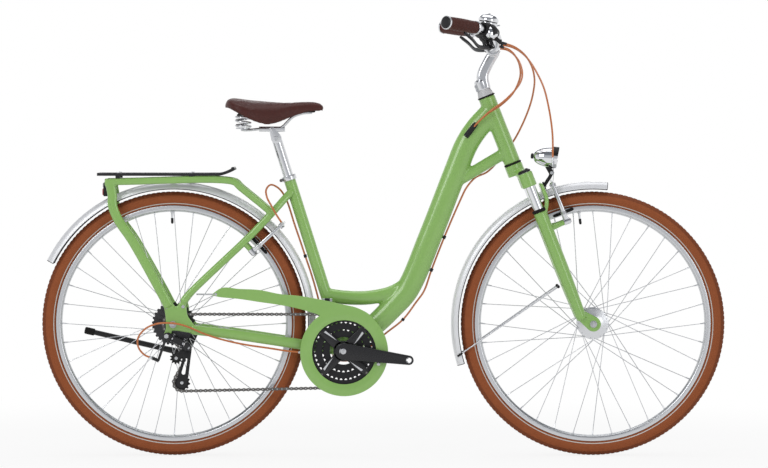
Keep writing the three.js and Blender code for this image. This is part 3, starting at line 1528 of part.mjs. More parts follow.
function clampRing(share, half, outer, which) {
  const { place, way } = barAt(share, which);
  return {
    body: rodAbout(place, way, half, outer),
    bore: rodAbout(place, way, half * 2, barRadius + clampSlack),
    place, way,
  };
}

function controls(which) {
  const ring = clampRing(controlShare, controlHalfWidth, podRadius * podNeckShare, which);
  const pivot = barPoint(leverPivotShares, which);
  const axis = leverAxis(which);
  const near = leverThickness / 2 + clearance;
  const parts = [ring.body];
  for (const way of [-1, 1]) {
    const from = pivot.clone().addScaledVector(axis, way * near);
    const to = pivot.clone().addScaledVector(axis, way * (near + leverEar));
    const middle = from.clone().lerp(to, 0.5);
    const onRing = ring.place.clone().addScaledVector(axis, way * (near + leverEar / 2));
    parts.push(rodBetween(from, to, leverPivotRadius, 6));
    parts.push(rodBetween(middle, onRing, leverEar / 2, 5));
  }
  parts.push(rodAbout(pivot, axis, near + leverEar, leverPinRadius, 6));
  const barrel = cableStart(which);
  parts.push(rodBetween(ring.place, barrel, leverEar, 5));
  const podMiddle = ring.place.clone().add(at(podForward, 0, -podDrop));
  parts.push(rodAbout(podMiddle, ring.way, podThickness / 2, podRadius));
  return cut(join(...parts), ring.bore);
}
const cableStart = (which) => at(cableAhead, which * cableStartSide, cableRise);

function brakeLever(which) {
  const pivot = barPoint(leverPivotShares, which);
  const axis = leverAxis(which);
  const half = leverThickness / 2;
  const points = leverShares.map((share) => barPoint(share, which));
  const lead = points[0].clone().sub(pivot).projectOnPlane(axis).setLength(leverPivotRadius * 2.2);
  const start = pivot.clone().add(lead);
  const line = [pivot, start, ...smooth([start, ...points], 5).slice(1)];
  return cut(
    join(
      rodAbout(pivot, axis, half, leverPivotRadius),
      sweep(line, (way) => softBox(half * 0.85, mix(leverWidth, leverWidth * 0.8, way) / 2, 0.4), axis),
    ),
    rodAbout(pivot, axis, half * 2, leverPinRadius + 2 * clearance),
  );
}

for (const [name, which] of Object.entries(side)) {
  add(cockpit, `grip_${name}`, grip(which), leather);
  add(cockpit, `controls_${name}`, controls(which), black);
  add(cockpit, `brake_lever_${name}`, brakeLever(which), black);
}

function bell() {
  const ring = clampRing(bellShare, bellClampHalf, barRadius + bellClampWall, side.right);
  const foot = ring.place;
  const dome = turnedUp([
    [0, bellRise], [bellRadius, bellRise], [bellRadius, bellRise + bellHeight * 0.35],
    [bellRadius * 0.8, bellRise + bellHeight * 0.8], [bellRadius * 0.35, bellRise + bellHeight],
    [0, bellRise + bellHeight],
  ], 12).translate(foot.x, foot.y, foot.z);
  const neck = rodBetween(foot, foot.clone().add(at(0, 0, bellRise + bellHeight / 2)), bellNeckRadius, 6);
  return cut(join(ring.body, neck, dome), ring.bore);
}
add(cockpit, "bell", bell(), polished);

// Headlight on a bracket from the fork arch
const lampPivot = at(archForward + lampPivotForward, 0, -clampTop - lampPivotDrop);
function headlightBracket() {
  const low = at(archForward + archThickness / 2 + clearance, 0, archMiddle);
  const half = lampLugWidth / 2;
  const deep = archDepth / 2;
  const foot = box(low.x, low.x + lampBracketWall, -deep, deep, low.z - deep, low.z + deep);
  const ears = [-1, 1].map((way) => {
    const y = way * (half + clearance + lampEar / 2);
    return join(
      rodBetween(at(low.x + lampBracketWall / 2, y, low.z), at(lampPivot.x, y, lampPivot.z), lampEar / 2, 8),
      crossRod(lampPivot.x, lampPivot.z, y - lampEar / 2, y + lampEar / 2, lampLugRadius, 12),
    );
  });
  const pinHalf = half + lampEar / 2;
  return join(foot, ...ears, crossRod(lampPivot.x, lampPivot.z, -pinHalf, pinHalf, lampPinRadius, 8));
}
add(steering, "headlight_bracket", headlightBracket(), black);

const lampShares = [[0, 0], [1, 0], [1, 0.12], [0.93, 0.36], [0.72, 0.62], [0.42, 0.83], [0.14, 1], [0, 1]];
function headlight() {
  const shell = turned(lampShares.map(([r, s]) => [r * lampRadius, s * lampLength]), 14)
    .rotateZ(Math.PI / 2)
    .rotateY(rad(lampTilt) - steering.rotation.y)
    .translate(archForward + lampForward, 0, -clampTop + lampRise);
  const half = lampLugWidth / 2;
  const top = at(lampPivot.x - lampLugRadius / 2, 0, -clampTop + lampRise);
  return cut(
    join(
      shell,
      sweep([lampPivot, top], () => softBox(half, lampLugRadius, 0.3), leftward),
      crossRod(lampPivot.x, lampPivot.z, -half, half, lampLugRadius, 12),
    ),
    crossRod(lampPivot.x, lampPivot.z, -lampLugWidth, lampLugWidth, lampPinRadius + 2 * clearance, 10),
  );
}
add(steering, "headlight", headlight(), polished);

// Seat post with a round head that the saddle clamp turns on
const postHead = seatUp.clone().multiplyScalar(postTop + seatPostRadius);
function seatPost() {
  const foot = seatTubeLength - postInsert;
  return join(
    rodBetween(at(0, 0, foot), at(0, 0, postTop + seatPostRadius), seatPostRadius, 12),
    crossRod(0, postTop + seatPostRadius, -postHeadHalf, postHeadHalf, seatPostRadius, 14),
  );
}
add(seatLine, "seatpost", seatPost(), silver);

// The saddle's height follows from the clamp on the post, which holds its rails
const clampLow = postHead.z + seatPostRadius + clampAir;
const saddleBase = clampLow + clampDepth / 2 + railDropShare * saddleBack;
const springFoot = saddleBase - springDrop;

// Saddle rails, as shares of the saddle's reach behind the crank axle, measured from the saddle's base
const railShares = [
  [-0.86, 0.143, -0.187], [-0.834, 0.127, -0.191], [-0.764, 0.076, -0.188], [-0.707, 0.07, -0.1815],
  [-0.538, 0.064, -0.175], [-0.429, 0.06, -0.08], [-0.35, 0.045, -0.05], [-0.2675, 0.03, -0.043],
];
const seatPoint = ([x, y, z], which) =>
  at(x * saddleBack, which * y * saddleBack, saddleBase + z * saddleBack);
function saddleRails() {
  const parts = [];
  for (const which of [side.right, side.left]) {
    parts.push(rod(smooth(railShares.map((share) => seatPoint(share, which)), 10), railRadius, 5));
    const plateTop = springFoot - clearance;
    const washer = disc(springCoilRadius, plateTop - railRadius, plateTop, 8);
    parts.push(washer.translate(-springPlace, which * springSpread, 0));
    const cheek = which * (postHeadHalf + 2 * clearance);
    const y = which === side.right ? cheek - clampCheek : cheek;
    const corner = [-clampMiddle, clampLow + clampDepth / 2];
    const link = linkOutline(postHead.x, postHead.z, seatPostRadius, ...corner, clampDepth / 2);
    parts.push(plate(link, y, clampCheek, 3));
  }
  const wide = postHeadHalf + clampCheek;
  parts.push(box(-clampMiddle - clampHalfLength, -clampMiddle + clampHalfLength, -wide, wide, clampLow,
    clampLow + clampDepth));
  return join(...parts);
}
add(bicycle, "saddle_rails", saddleRails(), black);

// Saddle springs: each one tube of round wire, with its last coil at each end flat against its seat
function springLine(which) {
  const steps = Math.round(springTurns * 8);
  return Array.from({ length: steps + 1 }, (_, i) => {
    const turn = (i / 8) * 2 * Math.PI;
    const climb = springFoot + springWireRadius + (i / steps) * (springHeight - 2 * springWireRadius);
    const r = springCoilRadius - springWireRadius;
    return at(-springPlace + r * Math.cos(turn), which * (springSpread + r * Math.sin(turn)), climb);
  });
}

function leastSelfGap(points, radius, near) {
  let least = Infinity;
  points.forEach((p, i) => points.slice(i + near).forEach((q) => {
    least = Math.min(least, p.distanceTo(q) - 2 * radius);
  }));
  return least;
}

for (const [name, which] of Object.entries(side)) {
  const line = springLine(which);
  const gap = leastSelfGap(line, springWireRadius, 5).toFixed(2);
  console.log(`saddle_spring_${name}: least gap to itself ${gap} mm`);
  add(bicycle, `saddle_spring_${name}`, rod(line, springWireRadius, 5), silver);
}

// Saddle stations from the back to the nose: place, half width, crown, skirt foot and underside
const saddleShares = [
  [0, 0.42, 0.2, -0.1, 0.0], [0.03, 0.7, 0.8, -0.1, -0.05], [0.08, 0.9, 0.95, -0.3, -0.12],
  [0.16, 1, 0.8, -0.7, -0.15], [0.24, 1, 0.64, -1.1, -0.2], [0.34, 0.88, 0.56, -1.5, -0.2],
  [0.44, 0.7, 0.5, -1.69, -0.2], [0.54, 0.52, 0.48, -1.5, -0.2], [0.64, 0.38, 0.5, -1.1, -0.2],
  [0.74, 0.3, 0.56, -0.78, -0.2], [0.84, 0.25, 0.6, -0.5, -0.15], [0.92, 0.22, 0.52, -0.38, -0.1],
  [0.97, 0.17, 0.3, -0.35, -0.08], [1, 0.09, 0.04, -0.25, -0.05],
];
const saddleSectionShares = [
  [0.3, 1, -0.03], [0.58, 1, -0.12], [0.8, 1, -0.35], [0.95, 1, -0.75], [1, 0, 0.55], [0.98, 0, 0.2],
  [0.92, 0, 0],
];
function saddleCover() {
  const rings = [];
  const count = 16;
  const spots = saddleShares.map(([, w, top, skirt, under]) => ({ w, top, skirt, under }));
  const places = saddleShares.map(([way]) => way);
  const read = (way, key) => {
    const i = Math.min(places.findIndex((p) => p >= way - 1e-9), places.length - 1) || 1;
    const share = (way - places[i - 1]) / (places[i] - places[i - 1]);
    return mix(spots[i - 1][key], spots[i][key], share);
  };
  for (let i = 0; i <= count; i++) {
    const way = 0.5 - Math.cos((i / count) * Math.PI) / 2;
    const x = mix(-saddleBack, -saddleFront, way);
    const [w, top, skirt, under] = ["w", "top", "skirt", "under"].map((key) => read(way, key));
    const level = (share) => saddleBase + share * saddleRise;
    const drop = Math.min(saddleRise, (level(top) - level(skirt)) * 0.5);
    const half = saddleSectionShares.map(([y, fromTop, z]) => [
      y * w * saddleHalfWidth,
      fromTop ? level(top) + z * drop : mix(level(skirt), level(top) - drop, z),
    ]);
    const lip = Math.min(skirtThickness, w * saddleHalfWidth * 0.3);
    const inner = mix(level(skirt), level(under), 0.6);
    const inside = [
      [0.9 * w * saddleHalfWidth - lip, Math.max(inner, level(skirt) + lipAir)],
      [0.55 * w * saddleHalfWidth, Math.max(level(under), level(skirt) + 2 * lipAir)],
    ];
    const right = [...half, ...inside];
    const left = right.map(([y, z]) => [-y, z]).reverse();
    rings.push([[0, level(top)], ...right, ...left].map(([y, z]) => at(x, y, z)));
  }
  const parts = [skin(rings)];
  const inBase = saddleBase + saddleRise * 0.1;
  for (const which of [side.right, side.left]) {
    const foot = springFoot + springHeight + clearance;
    parts.push(disc(springSeatRadius, foot, inBase, 10).translate(-springPlace, which * springSpread, 0));
  }
  const nose = seatPoint(railShares[railShares.length - 1], side.left);
  const wide = nose.y + railRadius;
  const railTop = nose.z + railRadius + 2 * clearance;
  parts.push(box(nose.x - noseLug, nose.x + noseLug, -wide, wide, railTop, inBase));
  return join(...parts);
}
add(bicycle, "saddle_cover", saddleCover(), leather);

// Cables: hand-chosen points that each casing runs through
const frontBrakeRoute = [
  [417, 172, 814], [442, 168, 811], [466, 152, 801], [492, 122, 778], [515, 82, 741], [534, 42, 697],
  [546, 6, 643], [553, -20, 592], [555, -33, 558], [555, -38, 510], [556, -47, 480], [556, -53, 463],
  [555, -51, 449], [554, -45.5, 444],
];
const rearBrakeRoute = [
  [417, -172, 814], [448, -164, 804], [475, -140, 785], [495, -108, 757], [505, -70, 723],
  [504, -28, 689], [495, 8, 648], [475, 32, 597], [453, 37, 556], [420, 34, 512], [383, 18, 474],
  [350, 6, 458], [327, 0, 432], [312, 0, 402], [268, 0, 300], [234, 0, 213], [214, 0, 157],
  [193, 0, 127], [158, 0, 81], [112, 0, 44], [68, 0, 6], [36, 0, -20], [8, 0, -29], [-20, 0, -24],
  [-36, 0, 6], [-48, 0, 50], [-58, 0, 96], [-68, 0, 139], [-84, 0, 196], [-102, 0, 250], [-115, 0, 289],
  [-131, 0, 336], [-147, 0, 387], [-157, 0, 410], [-172, -8, 430], [-193, -26, 440], [-205, -44, 426],
  [-202, -54, 406], [-192, -56, 387], [-178, -57, 362], [-167, -54, 345], [-161, -46, 336],
];
const rearGearRoute = [
  [-112, -51, -4], [-150, -54, 0], [-200, -59, 8], [-253, -66, 16], [-297, -71, 25], [-341, -76, 37],
  [-374, -82, 49], [-407, -89, 64], [-436, -93, 73], [-467, -94, 76], [-496, -93, 73], [-522, -92, 61],
  [-540, -90, 41], [-544, -88, 23], [-539, -86, 6], [-524, -84, -10], [-504, -83, -17.5],
];
const gearRoutes = [
  [
    [410, -168, 805], [437, -158, 795], [458, -134, 771], [467, -102, 741], [464, -70, 714],
    [447, -48, 680], [417, -37, 651], [383, -34, 629], [356, -31, 605], [342, -28, 590],
  ],
  [
    [410, 168, 805], [439, 150, 800], [464, 112, 778], [476, 62, 746], [472, 8, 716],
    [454, -30, 690], [423, -44, 660], [387, -41, 634], [359, -36, 608], [344, -30, 592],
  ],
];
const scaled = (route) => route.map((p) => at(...p).multiplyScalar(routePart));
const casing = (route, steps) => rod(smooth(scaled(route), steps), casingRadius, casingSides);

add(bicycle, "front_brake_cable", casing(frontBrakeRoute, 17), orange);
add(bicycle, "rear_brake_cable", casing(rearBrakeRoute, 46), orange);
add(bicycle, "rear_gear_cable", casing(rearGearRoute, 20), orange);
function gearCables() {
  const port = rodBetween(at(...portStart), at(...portEnd), portRadius, 6);
  const slack = 2 * clearance;
  const main = sweep(
    mainTubeLine,
    () => oval(12, mainTubeWidth / 2 + slack, mainTubeDepth / 2 + slack),
    leftward,
  );
  return cut(join(port, ...gearRoutes.map((route) => casing(route, 12))), main);
}
add(bicycle, "gear_cables", gearCables(), orange);

export default bicycle;
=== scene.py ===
# %% [markdown]
# # A step-through city bicycle
# The imported CAD model gives every size, every place and every moving body. This script dresses it: each
# faceted solid gets a smooth piece in its place, and each piece a finish with the grain, gloss and wear of
# the real material. The lesson starts with the model itself, because a piece can only be put where the
# frame says.

# %% Load the imported model
import math

import bmesh
import bpy
import numpy as np
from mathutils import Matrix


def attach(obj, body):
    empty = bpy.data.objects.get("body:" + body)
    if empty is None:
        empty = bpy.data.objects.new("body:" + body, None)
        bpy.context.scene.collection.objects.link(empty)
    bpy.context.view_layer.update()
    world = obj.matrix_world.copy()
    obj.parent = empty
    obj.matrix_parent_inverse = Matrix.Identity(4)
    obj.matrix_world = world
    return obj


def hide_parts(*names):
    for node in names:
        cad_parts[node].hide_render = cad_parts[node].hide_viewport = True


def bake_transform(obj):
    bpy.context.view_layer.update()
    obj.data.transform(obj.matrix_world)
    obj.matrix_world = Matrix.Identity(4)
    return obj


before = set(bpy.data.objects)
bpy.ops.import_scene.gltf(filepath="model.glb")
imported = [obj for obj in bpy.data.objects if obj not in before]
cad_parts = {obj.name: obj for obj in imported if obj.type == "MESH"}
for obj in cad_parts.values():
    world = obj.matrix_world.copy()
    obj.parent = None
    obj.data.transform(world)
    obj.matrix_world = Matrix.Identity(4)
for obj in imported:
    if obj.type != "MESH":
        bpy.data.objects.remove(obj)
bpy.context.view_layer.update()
METRE = 0.001

# %% [markdown]
# ## Directions and shared places
# The sizes are written in millimetres, as on a frame drawing. The head tube leans back by 21.5 degrees,
# so the fork and the bar are easiest to describe in axes of their own: one along the steering axis and one
# square to it. A small class holds such axes and carries points from them to the bicycle's axes.

# %% Axes of the bicycle and of its leaning parts
LEFT = np.array([0.0, 1.0, 0.0])
UP = np.array([0.0, 0.0, 1.0])
FORWARD = np.array([1.0, 0.0, 0.0])
RIGHT_SIDE, LEFT_SIDE = -1, 1
SIDES = (RIGHT_SIDE, LEFT_SIDE)
NAMED_SIDES = (("right", RIGHT_SIDE), ("left", LEFT_SIDE))


class Axes:
    """A place and a tilt about Y: a point is the place, plus x times ahead, plus y, plus z times upward."""

    def __init__(self, place, tilt):
        lean = math.radians(tilt)
        self.place = np.asarray(place, float)
        self.ahead = np.array([math.cos(lean), 0, -math.sin(lean)])
        self.upward = np.array([math.sin(lean), 0, math.cos(lean)])

    def at(self, x, y, z):
        return self.place + x * self.ahead + y * LEFT + z * self.upward

    def carry(self, shape):
        points, faces = shape
        turned_points = np.outer(points[:, 0], self.ahead) + np.outer(points[:, 2], self.upward)
        return self.place + turned_points + np.outer(points[:, 1], LEFT), faces


head_angle, seat_angle = 68.5, 72.4
head_tube_length, fork_offset = 189.0, 42.5
tyre_radius, tyre_width = 351.0, 40.0
rear_axle = np.array([-451.0, 0.0, 71.0])
head_top = np.array([379.8, 0.0, 673.0])
seat_up = np.array([-math.cos(math.radians(seat_angle)), 0, math.sin(math.radians(seat_angle))])
head_lean = head_angle - 90
head_foot = head_top - head_tube_length * Axes((0, 0, 0), head_lean).upward
steer = Axes(head_foot, head_lean)
fork_length = (head_foot[2] + fork_offset * steer.ahead[2] - rear_axle[2]) / steer.upward[2]
front_axle = steer.at(fork_offset, 0, -fork_length)
seat_line = Axes((0, 0, 0), seat_angle - 90)
print("wheelbase:", round(float(front_axle[0] - rear_axle[0]), 1), "mm")

# %% [markdown]
# ## The camera
# A catalogue picture of a bicycle is taken from far away with a long lens, square to the drive side, so
# that both wheels stay round. At 12 metres a 211 mm lens on a 36 mm sensor shows 2.04 metres, which is
# the width of the photograph. The camera stands a little below the saddle and looks down very slightly.

# %% Place the camera
camera_distance, camera_height = 12000.0, 612.0
view_middle = np.array([107.5, 0.0, 308.6])
lens_length = 211.5

camera_data = bpy.data.cameras.new("camera")
camera_data.lens = lens_length
camera_data.sensor_width = 36.0
camera_data.clip_end = 100.0
camera = bpy.data.objects.new("camera", camera_data)
bpy.context.scene.collection.objects.link(camera)
camera.location = (view_middle[0] * METRE, -camera_distance * METRE, camera_height * METRE)
look_down = math.atan2(camera_height - view_middle[2], camera_distance)
camera.rotation_euler = (math.pi / 2 - look_down, 0, 0)
bpy.context.scene.camera = camera

# %% [markdown]
# ## Surfaces from numbers
# Nearly everything on a bicycle is a tube, a turned part or a plate. Each of these is a grid of points
# worked out in one go with numpy: rows follow the length and columns follow the outline. The faces are
# always the same pattern of four neighbours, so one function makes them for every grid.

# %% Faces and skins over a grid of points
def grid_faces(rows, columns, loop_rows, loop_columns):
    """Each cell joins a point of the grid to its neighbour across, its neighbour ahead and the one
    between."""
    i, j = np.meshgrid(
        np.arange(rows - (not loop_rows)), np.arange(columns - (not loop_columns)), indexing="ij")
    i, j = i.ravel(), j.ravel()
    ahead, across = (i + 1) % rows, (j + 1) % columns
    return np.stack(
        [i * columns + j, i * columns + across, ahead * columns + across, ahead * columns + j], 1)


def skin(grid, loop_rows=False, loop_columns=True, capped=True):
    """A surface through a grid; where it doesn't loop, its end rows close onto their own middle points."""
    grid = np.asarray(grid, float)
    if capped and not loop_rows:
        ends = [np.broadcast_to(row.mean(0), row.shape)[None] for row in (grid[0], grid[-1])]
        grid = np.concatenate([ends[0], grid, ends[1]])
    rows, columns = grid.shape[:2]
    return grid.reshape(-1, 3), grid_faces(rows, columns, loop_rows, loop_columns)


def unit(vectors):
    """Vectors of length one: each is divided by its own length."""
    return vectors / np.linalg.norm(vectors, axis=-1, keepdims=True)


# %% Outlines and curves
def oval(a, b=None, sides=24, power=2.0):
    """(a |cos t|^(2/p), b |sin t|^(2/p)) with the signs of cos t and sin t: an ellipse, or a soft box
    for p over 2."""
    t = (np.arange(sides) + 0.5) / sides * 2 * np.pi
    x = np.sign(np.cos(t)) * np.abs(np.cos(t)) ** (2 / power)
    y = np.sign(np.sin(t)) * np.abs(np.sin(t)) ** (2 / power)
    b = a if b is None else b
    return np.stack([np.multiply.outer(a, x), np.multiply.outer(b, y)], -1)


def resample(line, count):
    """Points the same length apart: each coordinate is read off against the length run so far."""
    run = np.concatenate([[0], np.cumsum(np.linalg.norm(np.diff(line, axis=0), axis=1))])
    places = np.linspace(0, run[-1], count)
    return np.stack([np.interp(places, run, column) for column in line.T], 1)


def curve(points, count):
    """A centripetal Catmull-Rom curve: cubic spans whose slopes weigh each chord by the root of its
    length."""
    p = np.asarray(points, float)
    p = np.vstack([2 * p[0] - p[1], p, 2 * p[-1] - p[-2]])
    gap = np.sqrt(np.linalg.norm(np.diff(p, axis=0), axis=1))[:, None]
    before, here, after = gap[:-2], gap[1:-1], gap[2:]
    a, b, c, d = p[:-3], p[1:-2], p[2:-1], p[3:]
    leave = ((b - a) / before - (c - a) / (before + here) + (c - b) / here) * here
    arrive = ((c - b) / here - (d - b) / (here + after) + (d - c) / after) * here
    t = np.linspace(0, 1, 32, endpoint=False)[None, :, None]
    b, c, leave, arrive = (v[:, None] for v in (b, c, leave, arrive))
    line = (2 * t**3 - 3 * t**2 + 1) * b + (t**3 - 2 * t**2 + t) * leave
    line = line + (3 * t**2 - 2 * t**3) * c + (t**3 - t**2) * arrive
    return resample(np.vstack([line.reshape(-1, p.shape[1]), p[-2]]), count)


def soften(profile, reach, closed=True):
    """Each corner becomes a small arc: points at a reach along both sides, and their quadratic middle."""
    p = np.asarray(profile, float)
    back, on = np.roll(p, 1, 0) - p, np.roll(p, -1, 0) - p
    long_back = np.maximum(np.linalg.norm(back, axis=1, keepdims=True), 1e-6)
    long_on = np.maximum(np.linalg.norm(on, axis=1, keepdims=True), 1e-6)
    start = p + back / long_back * np.minimum(reach, 0.45 * long_back)
    end = p + on / long_on * np.minimum(reach, 0.45 * long_on)
    soft = np.stack([start, (start + 2 * p + end) / 4, end], 1)
    if closed:
        return soft.reshape(-1, 2)
    return np.vstack([p[:1], soft[1:-1].reshape(-1, 2), p[-1:]])


# %% [markdown]
# ## Three ways to make a part
# A tube is an outline carried along a path, with its sides kept level where the real tube is level. A
# turned part, such as a hub or a bell, is a profile spun about an axis. A plate, such as a dropout, is one
# outline repeated at two depths with its edges drawn in a little, because a sharp edge catches no light.

# %% Tubes, turned parts and plates
def level_side(way, guide):
    """The guide direction made square to the way: guide minus its part along the way, at length one."""
    return unit(guide - (way @ guide)[..., None] * way)


def carried_side(way):
    """Side directions for a path in space: each is the last one, made square to the new way."""
    held = LEFT if abs(way[0][1]) < 0.7 else UP
    sides = []
    for ahead in way:
        held = level_side(ahead, held)
        sides.append(held)
    return np.array(sides)


def sweep(path, outline, guide=None, loop=False, capped=True):
    """Each path point carries the outline: point + a * side + b * (way x side)."""
    path = np.asarray(path, float)
    if loop:
        way = unit(np.roll(path, -1, 0) - np.roll(path, 1, 0))
    else:
        way = unit(np.gradient(path, axis=0))
    side = carried_side(way) if guide is None else level_side(way, np.asarray(guide, float))
    over = np.cross(way, side)
    outline = np.asarray(outline)
    outline = np.broadcast_to(outline, (len(path),) + outline.shape[-2:])
    grid = path[:, None] + outline[..., :1] * side[:, None] + outline[..., 1:] * over[:, None]
    return skin(grid, loop_rows=loop, capped=capped)


def rod(a, b, radius, sides=16, power=2.0, depth=None, guide=None):
    """A straight tube from a to b."""
    return sweep(np.linspace(a, b, 2), oval(radius, depth, sides, power), guide)


def turned(profile, foot=(0, 0, 0), way=LEFT, steps=48, closed=False):
    """A profile of (radius, length) spun about an axis: foot + length * way + radius * (side cos t +
    over sin t)."""
    profile = np.asarray(profile, float)
    way = unit(np.asarray(way, float))
    side = level_side(way, UP if abs(way[2]) < 0.9 else FORWARD)
    over = np.cross(way, side)
    t = np.arange(steps)[:, None, None] / steps * 2 * np.pi
    spoke = np.cos(t) * side + np.sin(t) * over
    grid = np.asarray(foot) + profile[:, 1:] * way + profile[:, :1] * spoke
    return skin(grid, loop_rows=True, loop_columns=closed)


def lathed(profile, reach, foot, way, steps):
    """A solid turned part: its profile has softened corners and reaches the axis at both ends."""
    return turned(soften(profile, reach, False), foot, way, steps)


def lathed_ring(profile, reach, foot, way, steps):
    """A turned part with an open middle: its profile is a loop with softened corners."""
    return turned(soften(profile, reach), foot, way, steps, closed=True)


def drawn_in(outline, reach):
    """An outline moved inwards: every point goes along the mean of its two edge normals."""
    edge = np.roll(outline, -1, 0) - np.roll(outline, 1, 0)
    normal = unit(np.stack([-edge[:, 1], edge[:, 0]], 1))
    turn = np.sum(outline[:, 0] * np.roll(outline[:, 1], -1) - np.roll(outline[:, 0], -1) * outline[:, 1])
    return outline + np.sign(turn) * reach * normal


def edge_rows(outline, low, high, bevel, steps):
    """Outlines up a rounded wall: at edge angle a the inset is bevel (1 - sin a) and the depth bevel (1
    - cos a)."""
    angles = np.radians(np.linspace(0, 90, steps + 1))
    rows = [(drawn_in(outline, bevel * (1 - math.sin(a))),
             low + abs(bevel) * (1 - math.cos(a))) for a in angles]
    rows += [(o, low + high - y) for o, y in rows[::-1]]
    return [np.stack([o[:, 0], np.full(len(o), y), o[:, 1]], 1) for o, y in rows]


def plate(outline, low, high, bevel=0.5, steps=1):
    """An outline of (x, z) between two depths: its wall is rounded, and it closes on the middle of each
    face."""
    return skin(edge_rows(np.asarray(outline, float), low, high, bevel, steps))


def ring_plate(outer, inner, low, high, bevel=0.4, steps=1):
    """A plate with an open middle: the rows run up the outside and back down the inside."""
    rows = edge_rows(outer, low, high, bevel, steps) + edge_rows(inner, low, high, -bevel, steps)[::-1]
    return skin(rows, loop_rows=True)


def holed_plate(outline, middle, radius, low, high, bevel=0.5, steps=1):
    """A plate with a round hole: each point of the outline has a partner on the hole, in the same
    direction."""
    outline = np.asarray(outline, float)
    inner = np.asarray(middle, float) + radius * unit(outline - middle)
    return ring_plate(outline, inner, low, high, bevel, steps)


def copies(shape, places, turns):
    """Copies of a shape turned about Y and put in places: (x cos t - z sin t, y, x sin t + z cos t) +
    place."""
    points, faces = shape
    t, places = np.asarray(turns, float)[:, None], np.asarray(places, float)
    x = points[:, 0] * np.cos(t) - points[:, 2] * np.sin(t) + places[:, :1]
    z = points[:, 0] * np.sin(t) + points[:, 2] * np.cos(t) + places[:, 2:]
    y = points[:, 1] + places[:, 1:2] + 0 * t
    starts = np.arange(len(places))[:, None, None] * len(points)
    return np.stack([x, y, z], -1).reshape(-1, 3), (faces + starts).reshape(-1, faces.shape[1])


def circle(radius, middle=(0, 0), count=96):
    """(x + r cos t, z + r sin t)."""
    t = np.arange(count) / count * 2 * np.pi
    return np.stack([middle[0] + radius * np.cos(t), middle[1] + radius * np.sin(t)], -1)


def link_outline(a, radius_a, b, radius_b, count=48):
    """The edge round two discs: the arc of each that faces away from the other, up to their shared
    tangents."""
    a, b = np.asarray(a, float), np.asarray(b, float)
    way = math.atan2(b[1] - a[1], b[0] - a[0])
    lean = math.acos((radius_a - radius_b) / np.linalg.norm(b - a))
    back = np.linspace(way + lean, way - lean + 2 * np.pi, count // 2)
    front = np.linspace(way - lean, way + lean, count // 2)
    first = a + radius_a * np.stack([np.cos(back), np.sin(back)], 1)
    second = b + radius_b * np.stack([np.cos(front), np.sin(front)], 1)
    return np.vstack([first, second])


def mirrored(shape):
    points, faces = shape
    return points * np.array([1, -1, 1]), faces


def moved(shape, by):
    return shape[0] + np.asarray(by, float), shape[1]


def spun(shape, degrees, middle=(0, 0)):
    """A shape turned about Y through a middle (x, z), from X towards Z."""
    points, faces = shape
    t = math.radians(degrees)
    x, z = points[:, 0] - middle[0], points[:, 2] - middle[1]
    turned_x = middle[0] + x * math.cos(t) - z * math.sin(t)
    turned_z = middle[1] + x * math.sin(t) + z * math.cos(t)
    return np.stack([turned_x, points[:, 1], turned_z], 1), faces


# %% Put a piece on the bicycle
made = {}


def mesh_of(name, shapes):
    """One mesh from several shapes, in metres, with seams merged and faces turned outwards."""
    starts = np.cumsum([0] + [len(points) for points, _ in shapes])
    faces = [face for (_, group), start in zip(shapes, starts) for face in (group + start).tolist()]
    mesh = bpy.data.meshes.new(name)
    mesh.from_pydata((np.vstack([points for points, _ in shapes]) * METRE).tolist(), [], faces)
    work = bmesh.new()
    work.from_mesh(mesh)
    bmesh.ops.remove_doubles(work, verts=work.verts, dist=2e-6)
    bmesh.ops.dissolve_degenerate(work, dist=1e-7, edges=work.edges)
    bmesh.ops.recalc_face_normals(work, faces=work.faces)
    work.to_mesh(mesh)
    work.free()
    return mesh


def finished(shapes, modifiers):
    """The shapes after some modifiers, given as (type, settings), read back as points and faces of one
    kind."""
    rough = bpy.data.objects.new("rough", mesh_of("rough", shapes))
    bpy.context.scene.collection.objects.link(rough)
    for kind, settings in modifiers:
        modifier = rough.modifiers.new(kind, kind)
        for key, value in settings.items():
            setattr(modifier, key, value)
    done = rough.evaluated_get(bpy.context.evaluated_depsgraph_get()).to_mesh()
    points = np.empty(len(done.vertices) * 3)
    done.vertices.foreach_get("co", points)
    if len(done.loops) == 4 * len(done.polygons):
        corners = np.empty(len(done.loops), int)
        done.loops.foreach_get("vertex_index", corners)
        corners = corners.reshape(-1, 4)
    else:
        done.calc_loop_triangles()
        corners = np.empty(len(done.loop_triangles) * 3, int)
        done.loop_triangles.foreach_get("vertices", corners)
        corners = corners.reshape(-1, 3)
    bpy.data.objects.remove(rough)
    return points.reshape(-1, 3) / METRE, corners


def carved(shapes, tools):
    """The shapes with other shapes cut out of them, by an exact boolean."""
    tool = bpy.data.objects.new("tool", mesh_of("tool", tools))
    bpy.context.scene.collection.objects.link(tool)
    result = finished(shapes, [("BOOLEAN", {"operation": "DIFFERENCE", "object": tool, "solver": "EXACT"})])
    bpy.data.objects.remove(tool)
    return result


def piece(name, shapes, finish, body, replaces=(), crease=32):
    """Shapes become one mesh on a body, or on none; edges over the crease angle stay sharp."""
    mesh = mesh_of(name, shapes)
    mesh.polygons.foreach_set("use_smooth", np.ones(len(mesh.polygons), bool))
    mesh.set_sharp_from_angle(angle=math.radians(crease))
    thing = bpy.data.objects.new(name, mesh)
    bpy.context.scene.collection.objects.link(thing)
    mesh.materials.append(finish)
    if body:
        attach(thing, body)
    if replaces:
        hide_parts(*([replaces] if isinstance(replaces, str) else replaces))
    made[name] = thing
    print(f"{name}: {len(mesh.polygons)} faces on {body or 'two bodies'}")
    return thing


